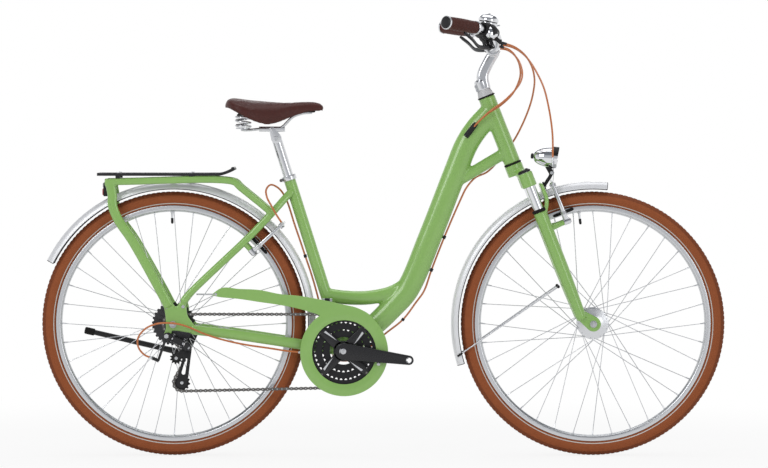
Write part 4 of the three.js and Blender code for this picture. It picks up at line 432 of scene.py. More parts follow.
# %% [markdown]
# ## Finishes
# A finish is more than a colour: paint has a clear coat with a faint ripple, cast parts are grainy, and
# turned metal is scratched round its axis. Shader maths is easier to read as Python, so a small class
# wraps a node's socket and lets + - * / and powers add Math nodes. Every other node comes from one method.

# %% Python expressions that become shader nodes
class Flow:
    """A number, colour or vector on its way through a material."""

    def __init__(self, tree, socket=None):
        self.tree, self.socket = tree, socket

    def node(self, kind, settings, sockets, output=0):
        """Adds one node: its settings first, then a value or a link for each of its sockets."""
        added = self.tree.nodes.new(kind)
        for key, value in settings.items():
            setattr(added, key, value)
        for key, value in sockets.items():
            if isinstance(value, Flow):
                self.tree.links.new(value.socket, added.inputs[key])
            else:
                added.inputs[key].default_value = value
        return Flow(self.tree, added.outputs[output])

    def maths(self, operation, first, second=0.0):
        return self.node("ShaderNodeMath", {"operation": operation}, {0: first, 1: second})

    def __add__(self, other):
        return self.maths("ADD", self, other)

    def __sub__(self, other):
        return self.maths("SUBTRACT", self, other)

    def __rsub__(self, other):
        return self.maths("SUBTRACT", other, self)

    def __mul__(self, other):
        return self.maths("MULTIPLY", self, other)

    def __truediv__(self, other):
        return self.maths("DIVIDE", self, other)

    def __pow__(self, other):
        return self.maths("POWER", self, other)

    __radd__, __rmul__ = __add__, __mul__

    def between(self, low, high, soft):
        """1 between two values and 0 outside, with soft edges: one clamped ramp up times one ramp down."""
        rise = self.node("ShaderNodeMapRange", {}, {0: self, 1: low - soft, 2: low + soft, 3: 0.0, 4: 1.0})
        fall = self.node("ShaderNodeMapRange", {}, {0: self, 1: high - soft, 2: high + soft, 3: 1.0, 4: 0.0})
        return rise * fall

    def noise(self, scale, detail=2.0, rough=0.5):
        return self.node("ShaderNodeTexNoise", {}, {"Vector": self, "Scale": scale, "Detail": detail,
                                                     "Roughness": rough})

    def blend(self, first, second):
        """A mix of two colours by this value."""
        pair = [c if isinstance(c, Flow) else (*c, 1) for c in (first, second)]
        return self.node("ShaderNodeMix", {"data_type": "RGBA"}, {0: self, 6: pair[0], 7: pair[1]}, 2)

    def bump(self, strength, depth):
        return self.node("ShaderNodeBump", {}, {"Height": self, "Strength": strength, "Distance": depth})

    def into(self, shader, name):
        self.tree.links.new(self.socket, shader.inputs[name])


def new_finish(name, **fixed):
    """A material with one Principled shader; values that are the same all over are set on its own sockets."""
    material = bpy.data.materials.new(name)
    material.use_nodes = True
    tree = material.node_tree
    shader = tree.nodes["Principled BSDF"]
    for key, value in fixed.items():
        value = (*value, 1) if isinstance(value, tuple) else value
        shader.inputs[key.replace("_", " ")].default_value = value
    place = Flow(tree).node("ShaderNodeTexCoord", {}, {}, 3)
    return material, shader, place


# %% [markdown]
# ### Paint, plastic and plain metal
# These share one recipe. A slow cloud mixes two near colours, a fine grain changes the roughness a
# little, and the same grain as a bump breaks up the reflection. The numbers decide whether it reads as
# clear-coated paint, as moulded plastic or as blasted metal.

# %% Finishes from one recipe
def grained(name, colour, tint, roughness, spread=0.06, grain=400.0, depth=0.00002, strength=0.3,
            cloud=9.0, scale=(1, 1, 1), **fixed):
    """Base colour mixes colour and tint by a slow noise; roughness adds spread times a fine noise, which
    is the bump."""
    material, shader, place = new_finish(name, **fixed)
    spot = place.node("ShaderNodeMapping", {}, {"Vector": place, "Scale": scale})
    place.noise(cloud, 3.0).blend(colour, tint).into(shader, "Base Color")
    fine = spot.noise(grain, 3.0)
    (fine * spread + (roughness - spread / 2)).into(shader, "Roughness")
    fine.bump(strength, depth).into(shader, "Normal")
    return material


paint_green = grained("gloss green paint", (0.235, 0.46, 0.098), (0.28, 0.515, 0.125), 0.3, grain=220.0,
                      depth=0.000005, strength=0.05, Coat_Weight=0.7, Coat_Roughness=0.06)
paint_black = grained("satin black paint", (0.009, 0.009, 0.01), (0.015, 0.015, 0.016), 0.38, grain=900.0,
                      Specular_IOR_Level=0.3)
forged_black = grained("forged and painted black", (0.009, 0.009, 0.011), (0.018, 0.018, 0.02), 0.27,
                       spread=0.12, grain=700.0, Specular_IOR_Level=0.4)
plastic_black = grained("moulded black plastic", (0.01, 0.01, 0.011),
                        (0.016, 0.016, 0.017), 0.48, spread=0.15,
                        grain=1500.0, depth=0.00004, strength=0.5, Specular_IOR_Level=0.25)
rubber_black = grained("black rubber", (0.01, 0.01, 0.01), (0.017, 0.016, 0.015), 0.72, spread=0.1,
                       grain=1200.0, depth=0.00005, strength=0.5, Specular_IOR_Level=0.15)
steel_satin = grained("satin steel", (0.5, 0.51, 0.53), (0.62, 0.63, 0.65), 0.3, spread=0.14, grain=900.0,
                      Metallic=1.0)
steel_dark = grained("dark oiled steel", (0.1, 0.095, 0.09), (0.2, 0.19, 0.18), 0.36, spread=0.2, grain=600.0,
                     cloud=60.0, Metallic=1.0)
alloy_polished = grained("polished alloy", (0.6, 0.61, 0.63), (0.68, 0.69, 0.71), 0.14, spread=0.06,
                         grain=300.0, depth=0.00001, strength=0.2, Metallic=1.0)
alloy_satin = grained("satin alloy", (0.6, 0.61, 0.63), (0.72, 0.73, 0.75), 0.32, spread=0.12, grain=1200.0,
                      Metallic=1.0)
chrome = grained("chrome plate", (0.68, 0.69, 0.71), (0.76, 0.77, 0.79), 0.05, spread=0.03, grain=200.0,
                 depth=0.000005, strength=0.1, Metallic=1.0)
guard_silver = grained("silver mudguard", (0.76, 0.77, 0.79), (0.84, 0.85, 0.87), 0.36, spread=0.08,
                       grain=500.0, Metallic=0.3)
anodised_black = grained("anodised black", (0.014, 0.014, 0.016), (0.024, 0.024, 0.027), 0.3, spread=0.14,
                         grain=900.0, Metallic=0.6)
spacer_grey = grained("light grey spacer", (0.5, 0.51, 0.52), (0.6, 0.6, 0.61), 0.4, grain=700.0)
seatpost_finish = grained("brushed seat post", (0.62, 0.63, 0.65), (0.74, 0.75, 0.77), 0.2, spread=0.1,
                          grain=250.0, scale=(1, 1, 8), Metallic=1.0)
print("finishes so far:", len(bpy.data.materials))

# %% [markdown]
# ### Finishes that follow the object
# Rims and discs are turned, so their scratches run round the axle: the noise is read at the distance from
# the axle, and hardly changes along the circle. The tyre's reflective line is a narrow band of the same
# distance. The cables' outer skin, the leather and the grips have a grain of their own.

# %% Rim, tyre, leather, grip and cable finishes
rim_radius, rim_outer = 297.0, 313.4
stripe_radius, stripe_half = 319.2, 1.1


def axle_distance(place, axle):
    """sqrt((x - axle x)^2 + (z - axle z)^2), in metres."""
    x, z = (place.node("ShaderNodeSeparateXYZ", {}, {0: place}, k) for k in (0, 2))
    return ((x - float(axle[0] * METRE)) ** 2 + (z - float(axle[2] * METRE)) ** 2) ** 0.5


def turned_metal(name, axle, colour, tint, roughness, metallic=1.0):
    """Fine rings: noise of the distance from the axle alone changes the colour, the roughness and the
    bump."""
    material, shader, place = new_finish(name, Metallic=metallic)
    distance = axle_distance(place, axle)
    ring = place.node("ShaderNodeCombineXYZ", {}, {0: distance})
    line = ring.noise(2600.0, 2.0)
    line.blend(colour, tint).into(shader, "Base Color")
    (line * 0.2 + (roughness - 0.1)).into(shader, "Roughness")
    line.bump(0.25, 0.00003).into(shader, "Normal")
    return material


def tyre_finish(name, axle):
    """Brown rubber, dustier by a slow cloud, with a pale reflective band; the tread, from about 340 mm out
    from the axle, is a darker brown."""
    material, shader, place = new_finish(name, Specular_IOR_Level=0.15)
    distance = axle_distance(place, axle)
    band = distance.between((stripe_radius - stripe_half) * METRE,
                            (stripe_radius + stripe_half) * METRE, 0.00025)
    tread = distance.between(0.3405, 0.4, 0.0015)
    dust = place.noise(70.0, 4.0, 0.6)
    rubber = dust.blend((0.265, 0.072, 0.024), (0.33, 0.098, 0.036))
    # The tread, from about 340 mm out from the axle, is coloured a darker brown.
    darker_tread_rubber = tread.blend(rubber, (0.2, 0.055, 0.02))
    band.blend(darker_tread_rubber, (0.62, 0.6, 0.57)).into(shader, "Base Color")
    (dust * 0.2 + 0.58 - band * 0.35).into(shader, "Roughness")
    fine = place.noise(1500.0, 2.0)
    fine.bump(0.35, 0.00006).into(shader, "Normal")
    return material


def grain_finish(name, colour, tint, roughness, cell, depth, **fixed):
    """Pebbled skin: the distance to the nearest of scattered points gives round cells with creases between;
    the creases are painted darker, as shade."""
    material, shader, place = new_finish(name, **fixed)
    cells = place.node("ShaderNodeTexVoronoi", {"feature": "DISTANCE_TO_EDGE"},
                       {"Vector": place, "Scale": cell})
    crease = cells.between(-1.0, 0.09, 0.09)
    shade = place.noise(14.0, 4.0, 0.6)
    # Painted shade: in the creases the colour falls to 0.55 of its own, as if shadowed there.
    crease.blend(shade.blend(colour, tint), tuple(0.55 * c for c in colour)).into(shader, "Base Color")
    (shade * 0.16 + crease * 0.2 + roughness).into(shader, "Roughness")
    (1.0 - crease).bump(0.5, depth).into(shader, "Normal")
    return material


rim_front = turned_metal("turned rim, front", front_axle, (0.55, 0.56, 0.58), (0.68, 0.69, 0.71), 0.32)
rim_rear = turned_metal("turned rim, rear", rear_axle, (0.55, 0.56, 0.58), (0.68, 0.69, 0.71), 0.32)
disc_rear = turned_metal("turned sprocket steel", rear_axle, (0.035, 0.035, 0.038), (0.09, 0.09, 0.095), 0.3)
disc_crank = turned_metal("turned black ring", np.zeros(3), (0.01, 0.01, 0.012),
                          (0.02, 0.02, 0.022), 0.36, 0.5)
tyre_front = tyre_finish("brown rubber, front", front_axle)
tyre_rear = tyre_finish("brown rubber, rear", rear_axle)
leather = grain_finish("brown leather", (0.068, 0.014, 0.01), (0.1, 0.023, 0.016), 0.32, 520.0, 0.0001,
                       Specular_IOR_Level=0.32)
grip_leather = grain_finish("brown grip", (0.075, 0.018, 0.012), (0.11, 0.028, 0.018), 0.42, 620.0, 0.0001,
                            Specular_IOR_Level=0.25)
cable_orange = grained("orange cable skin", (0.5, 0.14, 0.032), (0.57, 0.17, 0.042), 0.33, grain=300.0,
                       Coat_Weight=0.3, Coat_Roughness=0.2)
lens_red = grained("red lens", (0.42, 0.008, 0.008), (0.5, 0.012, 0.01), 0.12, spread=0.04, grain=200.0,
                   Coat_Weight=0.6, Coat_Roughness=0.03)
reflector_silver = grained("prismatic reflector", (0.6, 0.6, 0.62), (0.8, 0.8, 0.82), 0.2, grain=1800.0,
                           depth=0.0003, strength=0.8, Metallic=0.6)
glass = new_finish("lamp glass", Base_Color=(0.96, 0.97, 1.0), Roughness=0.05, Transmission_Weight=0.9,
                   IOR=1.45)[0]

# %% [markdown]
# ## Wheels
# A city wheel has 36 spokes of 2 mm wire. Each leaves its flange almost along the flange's edge and crosses
# three others on the way, so that it can pull the rim round. The rim is a hollow box with braking walls at
# the sides. The tyre's section is nearly a circle, with a band of blocks on the outside. Both wheels come
# from the same functions, because on the real bicycle they are the same rim, tyre and spokes.

# %% Tyres: a round section with a moulded tread
tread_depth, tread_blocks = 1.0, 168
tyre_middle = tyre_radius - tyre_width / 2


def tyre_shape(axle):
    """Section radius 20 minus grooves; a groove is where a slanted wave in the turn and the section
    angle is low."""
    turn = np.arange(2016)[:, None] / 2016 * 2 * np.pi
    angle = np.radians(np.linspace(-150, 150, 41))[None]
    slant = turn * tread_blocks + 1.5 * np.abs(angle) * 2.2
    lugs = 1 / (1 + np.exp(-9 * (np.sin(slant) + 0.45)))
    ribs = 1 / (1 + np.exp(-26 * (np.abs(np.sin(angle * 4.5)) - 0.3)))
    crown = 1 / (1 + np.exp(28 * (np.abs(angle) - 1.02)))
    radius = tyre_width / 2 - tread_depth * crown * (1 - lugs * ribs)
    bead = np.abs(angle) > 2.35
    side = np.where(bead, np.clip(radius * np.sin(np.abs(angle)) * 0.9 + 1.2, 0, 13.5),
                    radius * np.sin(np.abs(angle)))
    out = tyre_middle + radius * np.cos(angle)
    grid = np.stack([out * np.cos(turn), np.broadcast_to(np.sign(angle) * side, out.shape),
                     out * np.sin(turn)], -1)
    return skin(grid + axle, loop_rows=True)


piece("tyre_front", [tyre_shape(front_axle)], tyre_front, "front_wheel", "front_tyre", crease=50)
piece("tyre_rear", [tyre_shape(rear_axle)], tyre_rear, "rear_wheel", "rear_tyre", crease=50)

# %% Rims with their valves
rim_profile = [
    (297.0, 0.0), (297.6, 5.0), (301.5, 10.6), (304.0, 11.9), (rim_outer, 11.9), (rim_outer, 10.3),
    (308.0, 10.1), (305.5, 5.0), (305.5, -5.0), (308.0, -10.1), (rim_outer, -10.3), (rim_outer, -11.9),
    (304.0, -11.9), (301.5, -10.6), (297.6, -5.0),
]


def valve(axle, degrees):
    """A stem, a nut at the rim and a cap, turned about a line from the rim to the axle."""
    t = math.radians(degrees)
    inward = -np.array([math.cos(t), 0, math.sin(t)])
    foot = axle - inward * (rim_radius + 3)
    nut = turned([(0, 0), (4.6, 0), (4.6, 5), (3.6, 5.6), (0, 5.6)], foot, inward, 6)
    stem = turned([(0, 4), (3.0, 4), (3.0, 22), (0, 22)], foot, inward, 16)
    cap = turned([(0, 20), (3.5, 20), (3.6, 31), (3.0, 33.5), (1.4, 35), (0, 35)], foot, inward, 16)
    return [nut, stem], [cap]


valve_angles = {"front": 97.0, "rear": 91.0}
for name, axle, body, metal in (("front", front_axle, "front_wheel", rim_front),
                                ("rear", rear_axle, "rear_wheel", rim_rear)):
    hoop = lathed_ring(rim_profile, 0.7, axle, LEFT, 256)
    piece(f"rim_{name}_hoop", [hoop], metal, body, f"{name}_rim")
    stem, cap = valve(axle, valve_angles[name])
    piece(f"valve_{name}", stem, alloy_satin, body)
    piece(f"valve_cap_{name}", cap, plastic_black, body)

# %% Spokes and nipples
spokes_a_side, crossings = 18, 3
spoke_radius, flange_wall = 1.0, 3.2
hub_sizes = {
    "front": {"flange": 42.0, "right": 27.0, "left": 27.0},
    "rear": {"flange": 25.0, "right": 19.0, "left": 32.0},
}


def laced(axle, flange_y, flange_radius, first_share):
    """Spoke k starts at turn k on the flange and ends three steps ahead or behind on the rim, by turns."""
    k = np.arange(spokes_a_side)
    step = 2 * np.pi / spokes_a_side
    way = np.where(k % 2, 1, -1)
    start = (k + first_share) * step
    end = start + way * crossings * step
    head = flange_radius - flange_wall
    beside = flange_y + way * (flange_wall / 2 + 0.6)
    heads = np.stack([head * np.cos(start), beside, head * np.sin(start)], 1)
    feet = np.stack([(rim_radius + 1) * np.cos(end), np.sign(flange_y) * 1.5 + 0 * k,
                     (rim_radius + 1) * np.sin(end)], 1)
    wires, nipples = [], []
    for head_point, foot_point, lean in zip(axle + heads, axle + feet, way):
        ahead = unit(foot_point - head_point)
        elbow = head_point - LEFT * lean * (flange_wall + 1.6)
        bend = curve([elbow, head_point - LEFT * lean * 0.9, head_point + ahead * 2.2,
                      head_point + ahead * 6], 6)
        wires.append(sweep(np.vstack([bend, foot_point - ahead * 3]), oval(spoke_radius, sides=6)))
        wires.append(turned([(0, 0), (1.7, 0), (1.7, 0.7), (0, 1.0)],
                            elbow + LEFT * lean * 0.3, -LEFT * lean, 8))
        nipples.append(turned([(0, -12), (1.5, -12), (1.9, -4), (2.1, 0), (0, 0)], foot_point, ahead, 8))
    return wires, nipples


for name, axle, body in (("front", front_axle, "front_wheel"), ("rear", rear_axle, "rear_wheel")):
    size = hub_sizes[name]
    right = laced(axle, -size["right"], size["flange"], 0)
    left = laced(axle, size["left"], size["flange"], 0.5)
    piece(f"spokes_{name}", right[0] + left[0], steel_satin, body, crease=60)
    piece(f"nipples_{name}", right[1] + left[1], alloy_satin, body)

# %% [markdown]
# ### Hubs
# The front hub is wide, as if for a dynamo that feeds the lamps. The rear hub is slim, with larger
# sleeves where the sprockets' body joins it. Both are turned parts: one profile of radius and width, with
# small roundings at every edge, spun about the axle.

# %% Hub shells and axles
front_profile = [
    (5.6, -46), (13, -46), (17, -43), (19, -33), (30, -31), (40, -29), (42.0, -28.4),
    (42.0, -25.6), (37, -25.2),
    (34, -22), (33, -16), (33, 16), (34, 22), (37, 25.2), (42.0, 25.6), (42.0, 28.4),
    (40, 29), (30, 31), (19, 33),
    (15, 43), (12, 46), (5.6, 46),
]
rear_profile = [
    (5.6, -26.6), (12, -26.6), (14, -22), (24.6, -20.6), (25.0, -17.4), (19, -16),
    (17, -8), (16, 6), (16.5, 22),
    (19, 29), (25.0, 30.4), (24.6, 33.6), (16, 35.5), (13, 46), (12, 63.5), (5.6, 63.5),
]
piece("hub_front_shell", [lathed_ring(front_profile, 0.7, front_axle, LEFT, 64)], alloy_satin,
      "front_wheel", "front_hub")
piece("hub_rear_shell", [lathed_ring(rear_profile, 0.7, rear_axle, LEFT, 64)], alloy_satin,
      "rear_wheel", "rear_hub")


def axle_set(axle, width):
    """A threaded rod with a washer and a domed nut outside each dropout."""
    face = width / 2 + 8.3
    shapes = [turned([(0, -face - 12.5), (4.2, -face - 12.5), (5, -face - 11.5),
                      (5, face + 11.5), (4.2, face + 12.5),
                      (0, face + 12.5)], axle, LEFT, 24)]
    for which in SIDES:
        way = LEFT * which
        shapes.append(turned([(0, face), (9.4, face), (9.4, face + 1.4), (0, face + 1.4)], axle, way, 32))
        shapes.append(turned([(0, face + 1.4), (8.6, face + 1.4), (8.6, face + 6.6), (7.4, face + 8),
                              (0, face + 8)], axle, way, 6))
    return shapes


piece("axle_front", axle_set(front_axle, 100.0), steel_satin, "lowers", "front_axle")
piece("axle_rear", axle_set(rear_axle, 135.0), steel_satin, "frame", "rear_axle")

# %% [markdown]
# ## The frame
# The frame is welded alloy tube. The big lower tube is shaped: it leaves the crank axle low, runs nearly
# level so that a rider can step through, and then sweeps up to the head tube. Each tube is an oval carried
# along its line. Welds on such frames are ground to soft hollows, so the tubes are melted into one skin: a
# voxel remesh joins the volumes, and a light smoothing turns the joints into fillets.

# %% Join tubes with soft welds
def fused(shapes, voxel, rounds):
    """One skin round all shapes, sampled each voxel; then each point goes halfway to its neighbours' mean."""
    return finished(shapes, [("REMESH", {"mode": "VOXEL", "voxel_size": voxel * METRE}),
                             ("SMOOTH", {"factor": 0.5, "iterations": rounds})])


def on_seat_tube(height):
    return seat_up * height / seat_up[2]


# %% Main frame
main_shares = [
    [0, 0], [0.241, 0.112], [0.335, 0.165], [0.448, 0.24], [0.611, 0.455], [0.785, 0.707], [0.861, 0.812],
    [0.94, 0.88], [1.032, 0.936],
]
low_shares = [[0, 0], [0.25, -0.03], [0.5, -0.03], [0.78, 0.03], [1, 0.16]]
main_width, main_depth, main_foot_depth = 46.0, 63.0, 54.0
low_height, low_width, low_depth = 146.0, 32.0, 38.0
gusset_rise, gusset_width, gusset_depth = 34.0, 28.0, 31.0
head_radius, seat_tube_radius, seat_tube_length = 22.5, 16.0, 480.0
shell_radius, shell_half = 21.0, 34.0

main_line = curve([(x * head_top[0], 0, z * head_top[2]) for x, z in main_shares], 140)
way = np.linspace(0, 1, 140)
depth = np.interp(way, [0, 0.3], [main_foot_depth, main_depth])
main_tube = sweep(main_line, oval(np.full(140, main_width / 2), depth / 2, 40, 2.15), LEFT)
gusset_line = np.linspace(head_foot + gusset_rise * steer.upward, main_line[98], 20)
gusset = sweep(gusset_line, oval(gusset_width / 2, gusset_depth / 2, 32, 2.2), LEFT)
low_start = on_seat_tube(low_height)
low_span = 0.47 * head_top[0] - low_start[0]
low_line = curve([low_start + np.array([x, 0, z]) * low_span for x, z in low_shares], 40)
low_tube = sweep(low_line, oval(low_width / 2, low_depth / 2, 32, 2.2), LEFT)
seat_tube = rod(np.zeros(3), seat_up * seat_tube_length, seat_tube_radius, 40)
head_tube = rod(head_foot, head_top, head_radius, 48)
shell = rod((0, -shell_half, 0), (0, shell_half, 0), shell_radius, 48)
piece("frame_tubes", [fused([main_tube, gusset, low_tube, seat_tube, head_tube, shell], 2.0, 16)],
      paint_green,
      "frame", "frame_main", crease=60)

# %% Rear frame: stays, rack legs, rails and bridges
rear_centre, rack_half, rack_back, rail_height = 451.0, 58.0, 632.0, 448.0
chain_stay_shares = [
    [-0.035, 0.058, 0.004], [-0.257, 0.084, 0.038], [-0.67, 0.129, 0.1], [-0.887, 0.1585, 0.126],
]
seat_stay_shares = [
    [-0.942, 0.1585, 0.288], [-0.907, 0.155, 0.333], [-0.552, 0.093, 0.672], [-0.421, 0.08, 0.809],
    [-0.328, 0.036, 0.914], [-0.3, 0.03, 0.942],
]
rack_leg_shares = [
    [-1.024, 0.164, 0.262], [-1.073, 0.166, 0.355], [-1.239, 0.146, 0.65], [-1.319, 0.135, 0.767],
    [-1.355, 0.131, 0.854], [-1.357, 0.1286, 0.92], [-1.37, 0.1286, 0.984],
]
rack_curve_shares = [
    [-0.64, 0.1286, 0.993], [-0.612, 0.126, 0.967], [-0.552, 0.115, 0.918], [-0.492, 0.1, 0.869],
    [-0.424, 0.084, 0.812],
]
dropout_shares = [
    [0.35, -1], [0.82, -1], [3.06, -1.41], [3.53, -0.35], [2.24, 1.41], [2.12, 2.94], [1.18, 3.65],
    [0.47, 2.59], [-0.12, 3.53], [-1.41, 2.94], [-1.12, 0.94], [-1.12, -1], [-0.35, -1],
]
dropout_inner, dropout_outer, dropout_eye = 67.5, 75.5, 17.0


def rear_route(shares, side, count, start=None):
    """Shares of the rear centre, in (x, y times the side, z), joined by one curve."""
    points = np.array(shares) * rear_centre * np.array([1, side, 1])
    return curve(points if start is None else np.vstack([start, points]), count)


def dropout_outline(back, low, reach=7.0):
    """Shares of an eye's radius, drawn round a point, with softened corners."""
    return soften(np.array(dropout_shares) * dropout_eye + [back, low], reach)


rear_tubes = []
for side in SIDES:
    stay_depth = np.linspace(15.0, 13.0, 60)
    rear_tubes += [
        sweep(rear_route(chain_stay_shares, side, 60), oval(np.full(60, 7.5), stay_depth, 28, 2.3), LEFT),
        sweep(rear_route(seat_stay_shares, side, 80), oval(7.0, 10.0, 28, 2.3), LEFT),
        sweep(rear_route(rack_leg_shares, side, 70), oval(7.5, 13.0, 28, 2.4), LEFT),
        sweep(rear_route(rack_curve_shares, side, 70, (-rack_back, side * rack_half, rail_height)),
              oval(7.5, 9.3, 28, 2.4), LEFT),
        plate(dropout_outline(-rear_centre, rear_axle[2]),
              *sorted((side * dropout_inner, side * dropout_outer)), 1.2),
    ]
bridge_reach = 383.3
for degrees, half in ((90, rack_half), (49, 36.0), (-8, 31.0)):
    x = rear_axle[0] + bridge_reach * math.cos(math.radians(degrees))
    z = rear_axle[2] + bridge_reach * math.sin(math.radians(degrees))
    rear_tubes.append(rod((x, -half, z), (x, half, z), 6.0, 24))
rear_tubes.append(rod((-612, -rack_half, 430), (-612, rack_half, 430), 5.0, 24))
piece("rear_frame_tubes", [fused(rear_tubes, 1.9, 10)], paint_green, "frame",
      "frame_rear", crease=60)

# %% Hanger, brake posts and small bosses of the rear frame
rear_brake = Axes((-242.0, 0.0, 262.0), 47.58)
post_out = 39.0
hanger = link_outline((-rear_centre - 8.5, 62.5), 8.5, (-467, 41), 9.0)
small = [plate(hanger, -75.5, -70.5, 0.6)]


def brake_post(axes, side):
    """A boss with a thinner pin on which the brake's arm turns."""
    return [rod(axes.at(-21, side * post_out, 0), axes.at(-8.4, side * post_out, 0), 6.5, 20),
            rod(axes.at(-16, side * post_out, 0), axes.at(10.3, side * post_out, 0), 4.0, 20)]


for side in SIDES:
    small.append(rod(rear_brake.at(-34, side * 44, 0), rear_brake.at(-16.6, side * post_out, 0), 6.5, 20))
    small += brake_post(rear_brake, side)
piece("rear_bosses", small, paint_green, "frame")
eyes = []
for side in SIDES:
    for x, z in ((-424.0, 118.0), (-469.0, 117.0)):
        eyes.append(turned([(0, 75.2), (4.6, 75.2), (4.6, 76.6), (3.6, 77.4),
                            (2.2, 77.4), (1.8, 76.2), (0, 76.2)],
                           (x, 0, z), LEFT * side, 24))
piece("dropout_bolts", eyes, steel_satin, "frame")

# %% [markdown]
# ## Rack platform, mudguards and rear lamp
# The rack's legs are frame tubes; only its platform is a part of its own, cast in black alloy with five bars
# that turn up at the front. The mudguards are channels of silver plastic, held by wires, with a dark lip
# along each edge. Their section is one curve: the height falls off with a high power of the distance from
# the middle, which gives a flat back and rolled sides.

# %% Rack platform
platform_top, platform_wall, rack_feet = 472.0, 8.0, (-597.0, -403.0)
platform_middle = platform_top - platform_wall / 2
bar_places = np.linspace(-59.5, 59.5, 5)
bend_x = -(325.0 + 0.6 * (288.0 - 325.0))
bars = []
for y in bar_places:
    bar_line = [(-652, y, platform_middle), (-345, y, platform_middle), (-325, y, platform_middle + 0.6),
                (bend_x, y, platform_middle + 8.2), (-288, y, 484)]
    bars.append(sweep(curve(bar_line, 40), oval(4.5, 4.0, 20, 4.5), LEFT))
for x in (-647.5, *rack_feet, -329.5):
    bars.append(rod((x, -59.5, platform_middle), (x, 59.5, platform_middle), 4.4, 20, 4.5, 3.9, FORWARD))
bars.append(rod((-292.5, -62, 482.6), (-292.5, 62, 482.6), 4.6, 20, 3.5, 4.6, FORWARD))
for x in rack_feet:
    for side in SIDES:
        bars.append(rod((x, side * rack_half, 457.7), (x, side * rack_half, 466), 6.4, 20, 4.5, 4.4, FORWARD))
piece("rack_bars", bars, forged_black, "frame", "rack_platform", crease=45)
bolts = []
for x in rack_feet:
    for side in SIDES:
        bolts.append(turned([(0, 0), (4.2, 0), (4.2, 1.6), (3.2, 2.4), (1.9, 2.4), (1.9, 1.2), (0, 1.2)],
                            (x, side * 59.5, platform_top - 0.4), UP, 20))
piece("rack_bolts", bolts, steel_satin, "frame")

# %% Mudguards with their lips and wires
guard_radius, guard_skirt, guard_half, guard_wall = 377.0, 357.5, 24.0, 1.5


def guard_section(out, count=33):
    """Across y the height is skirt + (crown - skirt)(1 - |y/half|^3.4)^0.62; the inner row is the same,
    less the wall."""
    across = np.sin(np.linspace(-1, 1, count) * np.pi / 2)
    rise = (1 - np.abs(across) ** 3.4) ** 0.62
    y = across * (guard_half - guard_wall * (1 - out))
    return np.stack([guard_skirt + (guard_radius - guard_wall * (1 - out) - guard_skirt) * rise, y], 1)


def mudguard(start, end, count=150):
    """The section (radius, y) is turned about the axle from one angle to another."""
    t = np.radians(np.linspace(start, end, count))[:, None]
    section = np.vstack([guard_section(1), guard_section(0)[::-1]])[None]
    grid = np.stack([section[..., 0] * np.cos(t), section[..., 1] + 0 * t, section[..., 0] * np.sin(t)], -1)
    lips = []
    for side in SIDES:
        line = np.concatenate([
            guard_skirt * np.cos(t), 0 * t + side * (guard_half - 0.6), guard_skirt * np.sin(t)], 1)
        lips.append(sweep(line, oval(1.2, 1.2, 8)))
    for edge in (0, -1):
        arc = guard_section(0.5)
        line = np.stack([arc[:, 0] * np.cos(t[edge]), arc[:, 1], arc[:, 0] * np.sin(t[edge])], 1)
        lips.append(sweep(line, oval(1.1, 1.1, 8)))
    return skin(grid), lips


front_guard, front_lips = mudguard(84.0, 197.3)
rear_guard, rear_lips = mudguard(-10.0, 153.5)
piece("front_guard_shell", [moved(front_guard, front_axle)], guard_silver, "lowers",
      "front_fender", crease=60)
piece("front_guard_lips", [moved(lip, front_axle) for lip in front_lips], rubber_black, "lowers")
piece("rear_guard_shell", [moved(rear_guard, rear_axle)], guard_silver, "frame",
      "rear_fender", crease=60)
piece("rear_guard_lips", [moved(lip, rear_axle) for lip in rear_lips], rubber_black, "frame")

wires, clips = [], []
wire_turn, wire_reach = math.radians(193.3), 365.6
for side in SIDES:
    near = front_axle + [wire_reach * math.cos(wire_turn), side * guard_half,
                         wire_reach * math.sin(wire_turn)]
    far = front_axle + [-93, side * 46, 99]
    wires.append(rod(near, far, 2.0, 12))
    ahead = unit(far - near)
    clips.append(sweep([near - ahead * 5, near + ahead * 11], oval(3.4, 2.6, 16, 3.5), LEFT))
    clips.append(turned([(0, -2.5), (3.4, -2.5), (3.4, 2.5), (0, 2.5)],
                        near + ahead * 3 + LEFT * side * 1.6, LEFT, 6))
    clips.append(turned([(0, -3), (4.2, -3), (4.2, 3), (0, 3)], far, LEFT, 20))
piece("front_guard_wires", wires, steel_satin, "lowers")
piece("front_guard_clips", clips, plastic_black, "lowers")
seat_bolts = []
for degrees in (90, 49, -8):
    out = np.array([math.cos(math.radians(degrees)), 0, math.sin(math.radians(degrees))])
    seat = rear_axle + out * (guard_radius - 0.6)
    seat_bolts.append(turned([(0, 0), (6.5, 0), (6.5, 1.2), (5.0, 2.2), (0, 2.2)], seat, out, 24))
piece("rear_guard_bolts", seat_bolts, plastic_black, "frame")

# %% Rear lamp: black housing, red lens and a silver reflector
lamp_low, lamp_high, lamp_back, lamp_front, lamp_half = 409.0, 446.0, 641.0, 626.0, 22.0


def lamp_block(low, high, back, front, half, corner):
    """A soft box along X: an oval of a high power, a little smaller at the back face."""
    middle, tall = (low + high) / 2, (high - low) / 2
    stations = np.array([-back, -back + corner * 0.3, -back + corner, -front])
    size = np.array([1 - corner / tall, 1 - corner * 0.3 / tall, 1, 1])
    outline = oval(half * size, tall * size, 40, 6.0)
    return sweep(np.stack([stations, 0 * stations, 0 * stations + middle], 1), outline, LEFT)


piece("rear_lamp_housing", [lamp_block(lamp_low, lamp_high, lamp_back - 3.2, lamp_front, lamp_half, 1.2),
                            rod((-lamp_front, 0, 430), (-617, 0, 430), 5.0, 20, 3.5, 5.0, LEFT)],
      plastic_black, "frame", "rear_light", crease=50)
piece("rear_lamp_lens", [lamp_block(411.5, 430.5, lamp_back - 0.1, lamp_back - 5, 20.2, 2.4)], lens_red,
      "frame",
      crease=50)
piece("rear_lamp_reflector", [lamp_block(432.5, 444.0, lamp_back - 0.9, lamp_back - 5, 20.2, 1.6)],
      reflector_silver, "frame", crease=50)

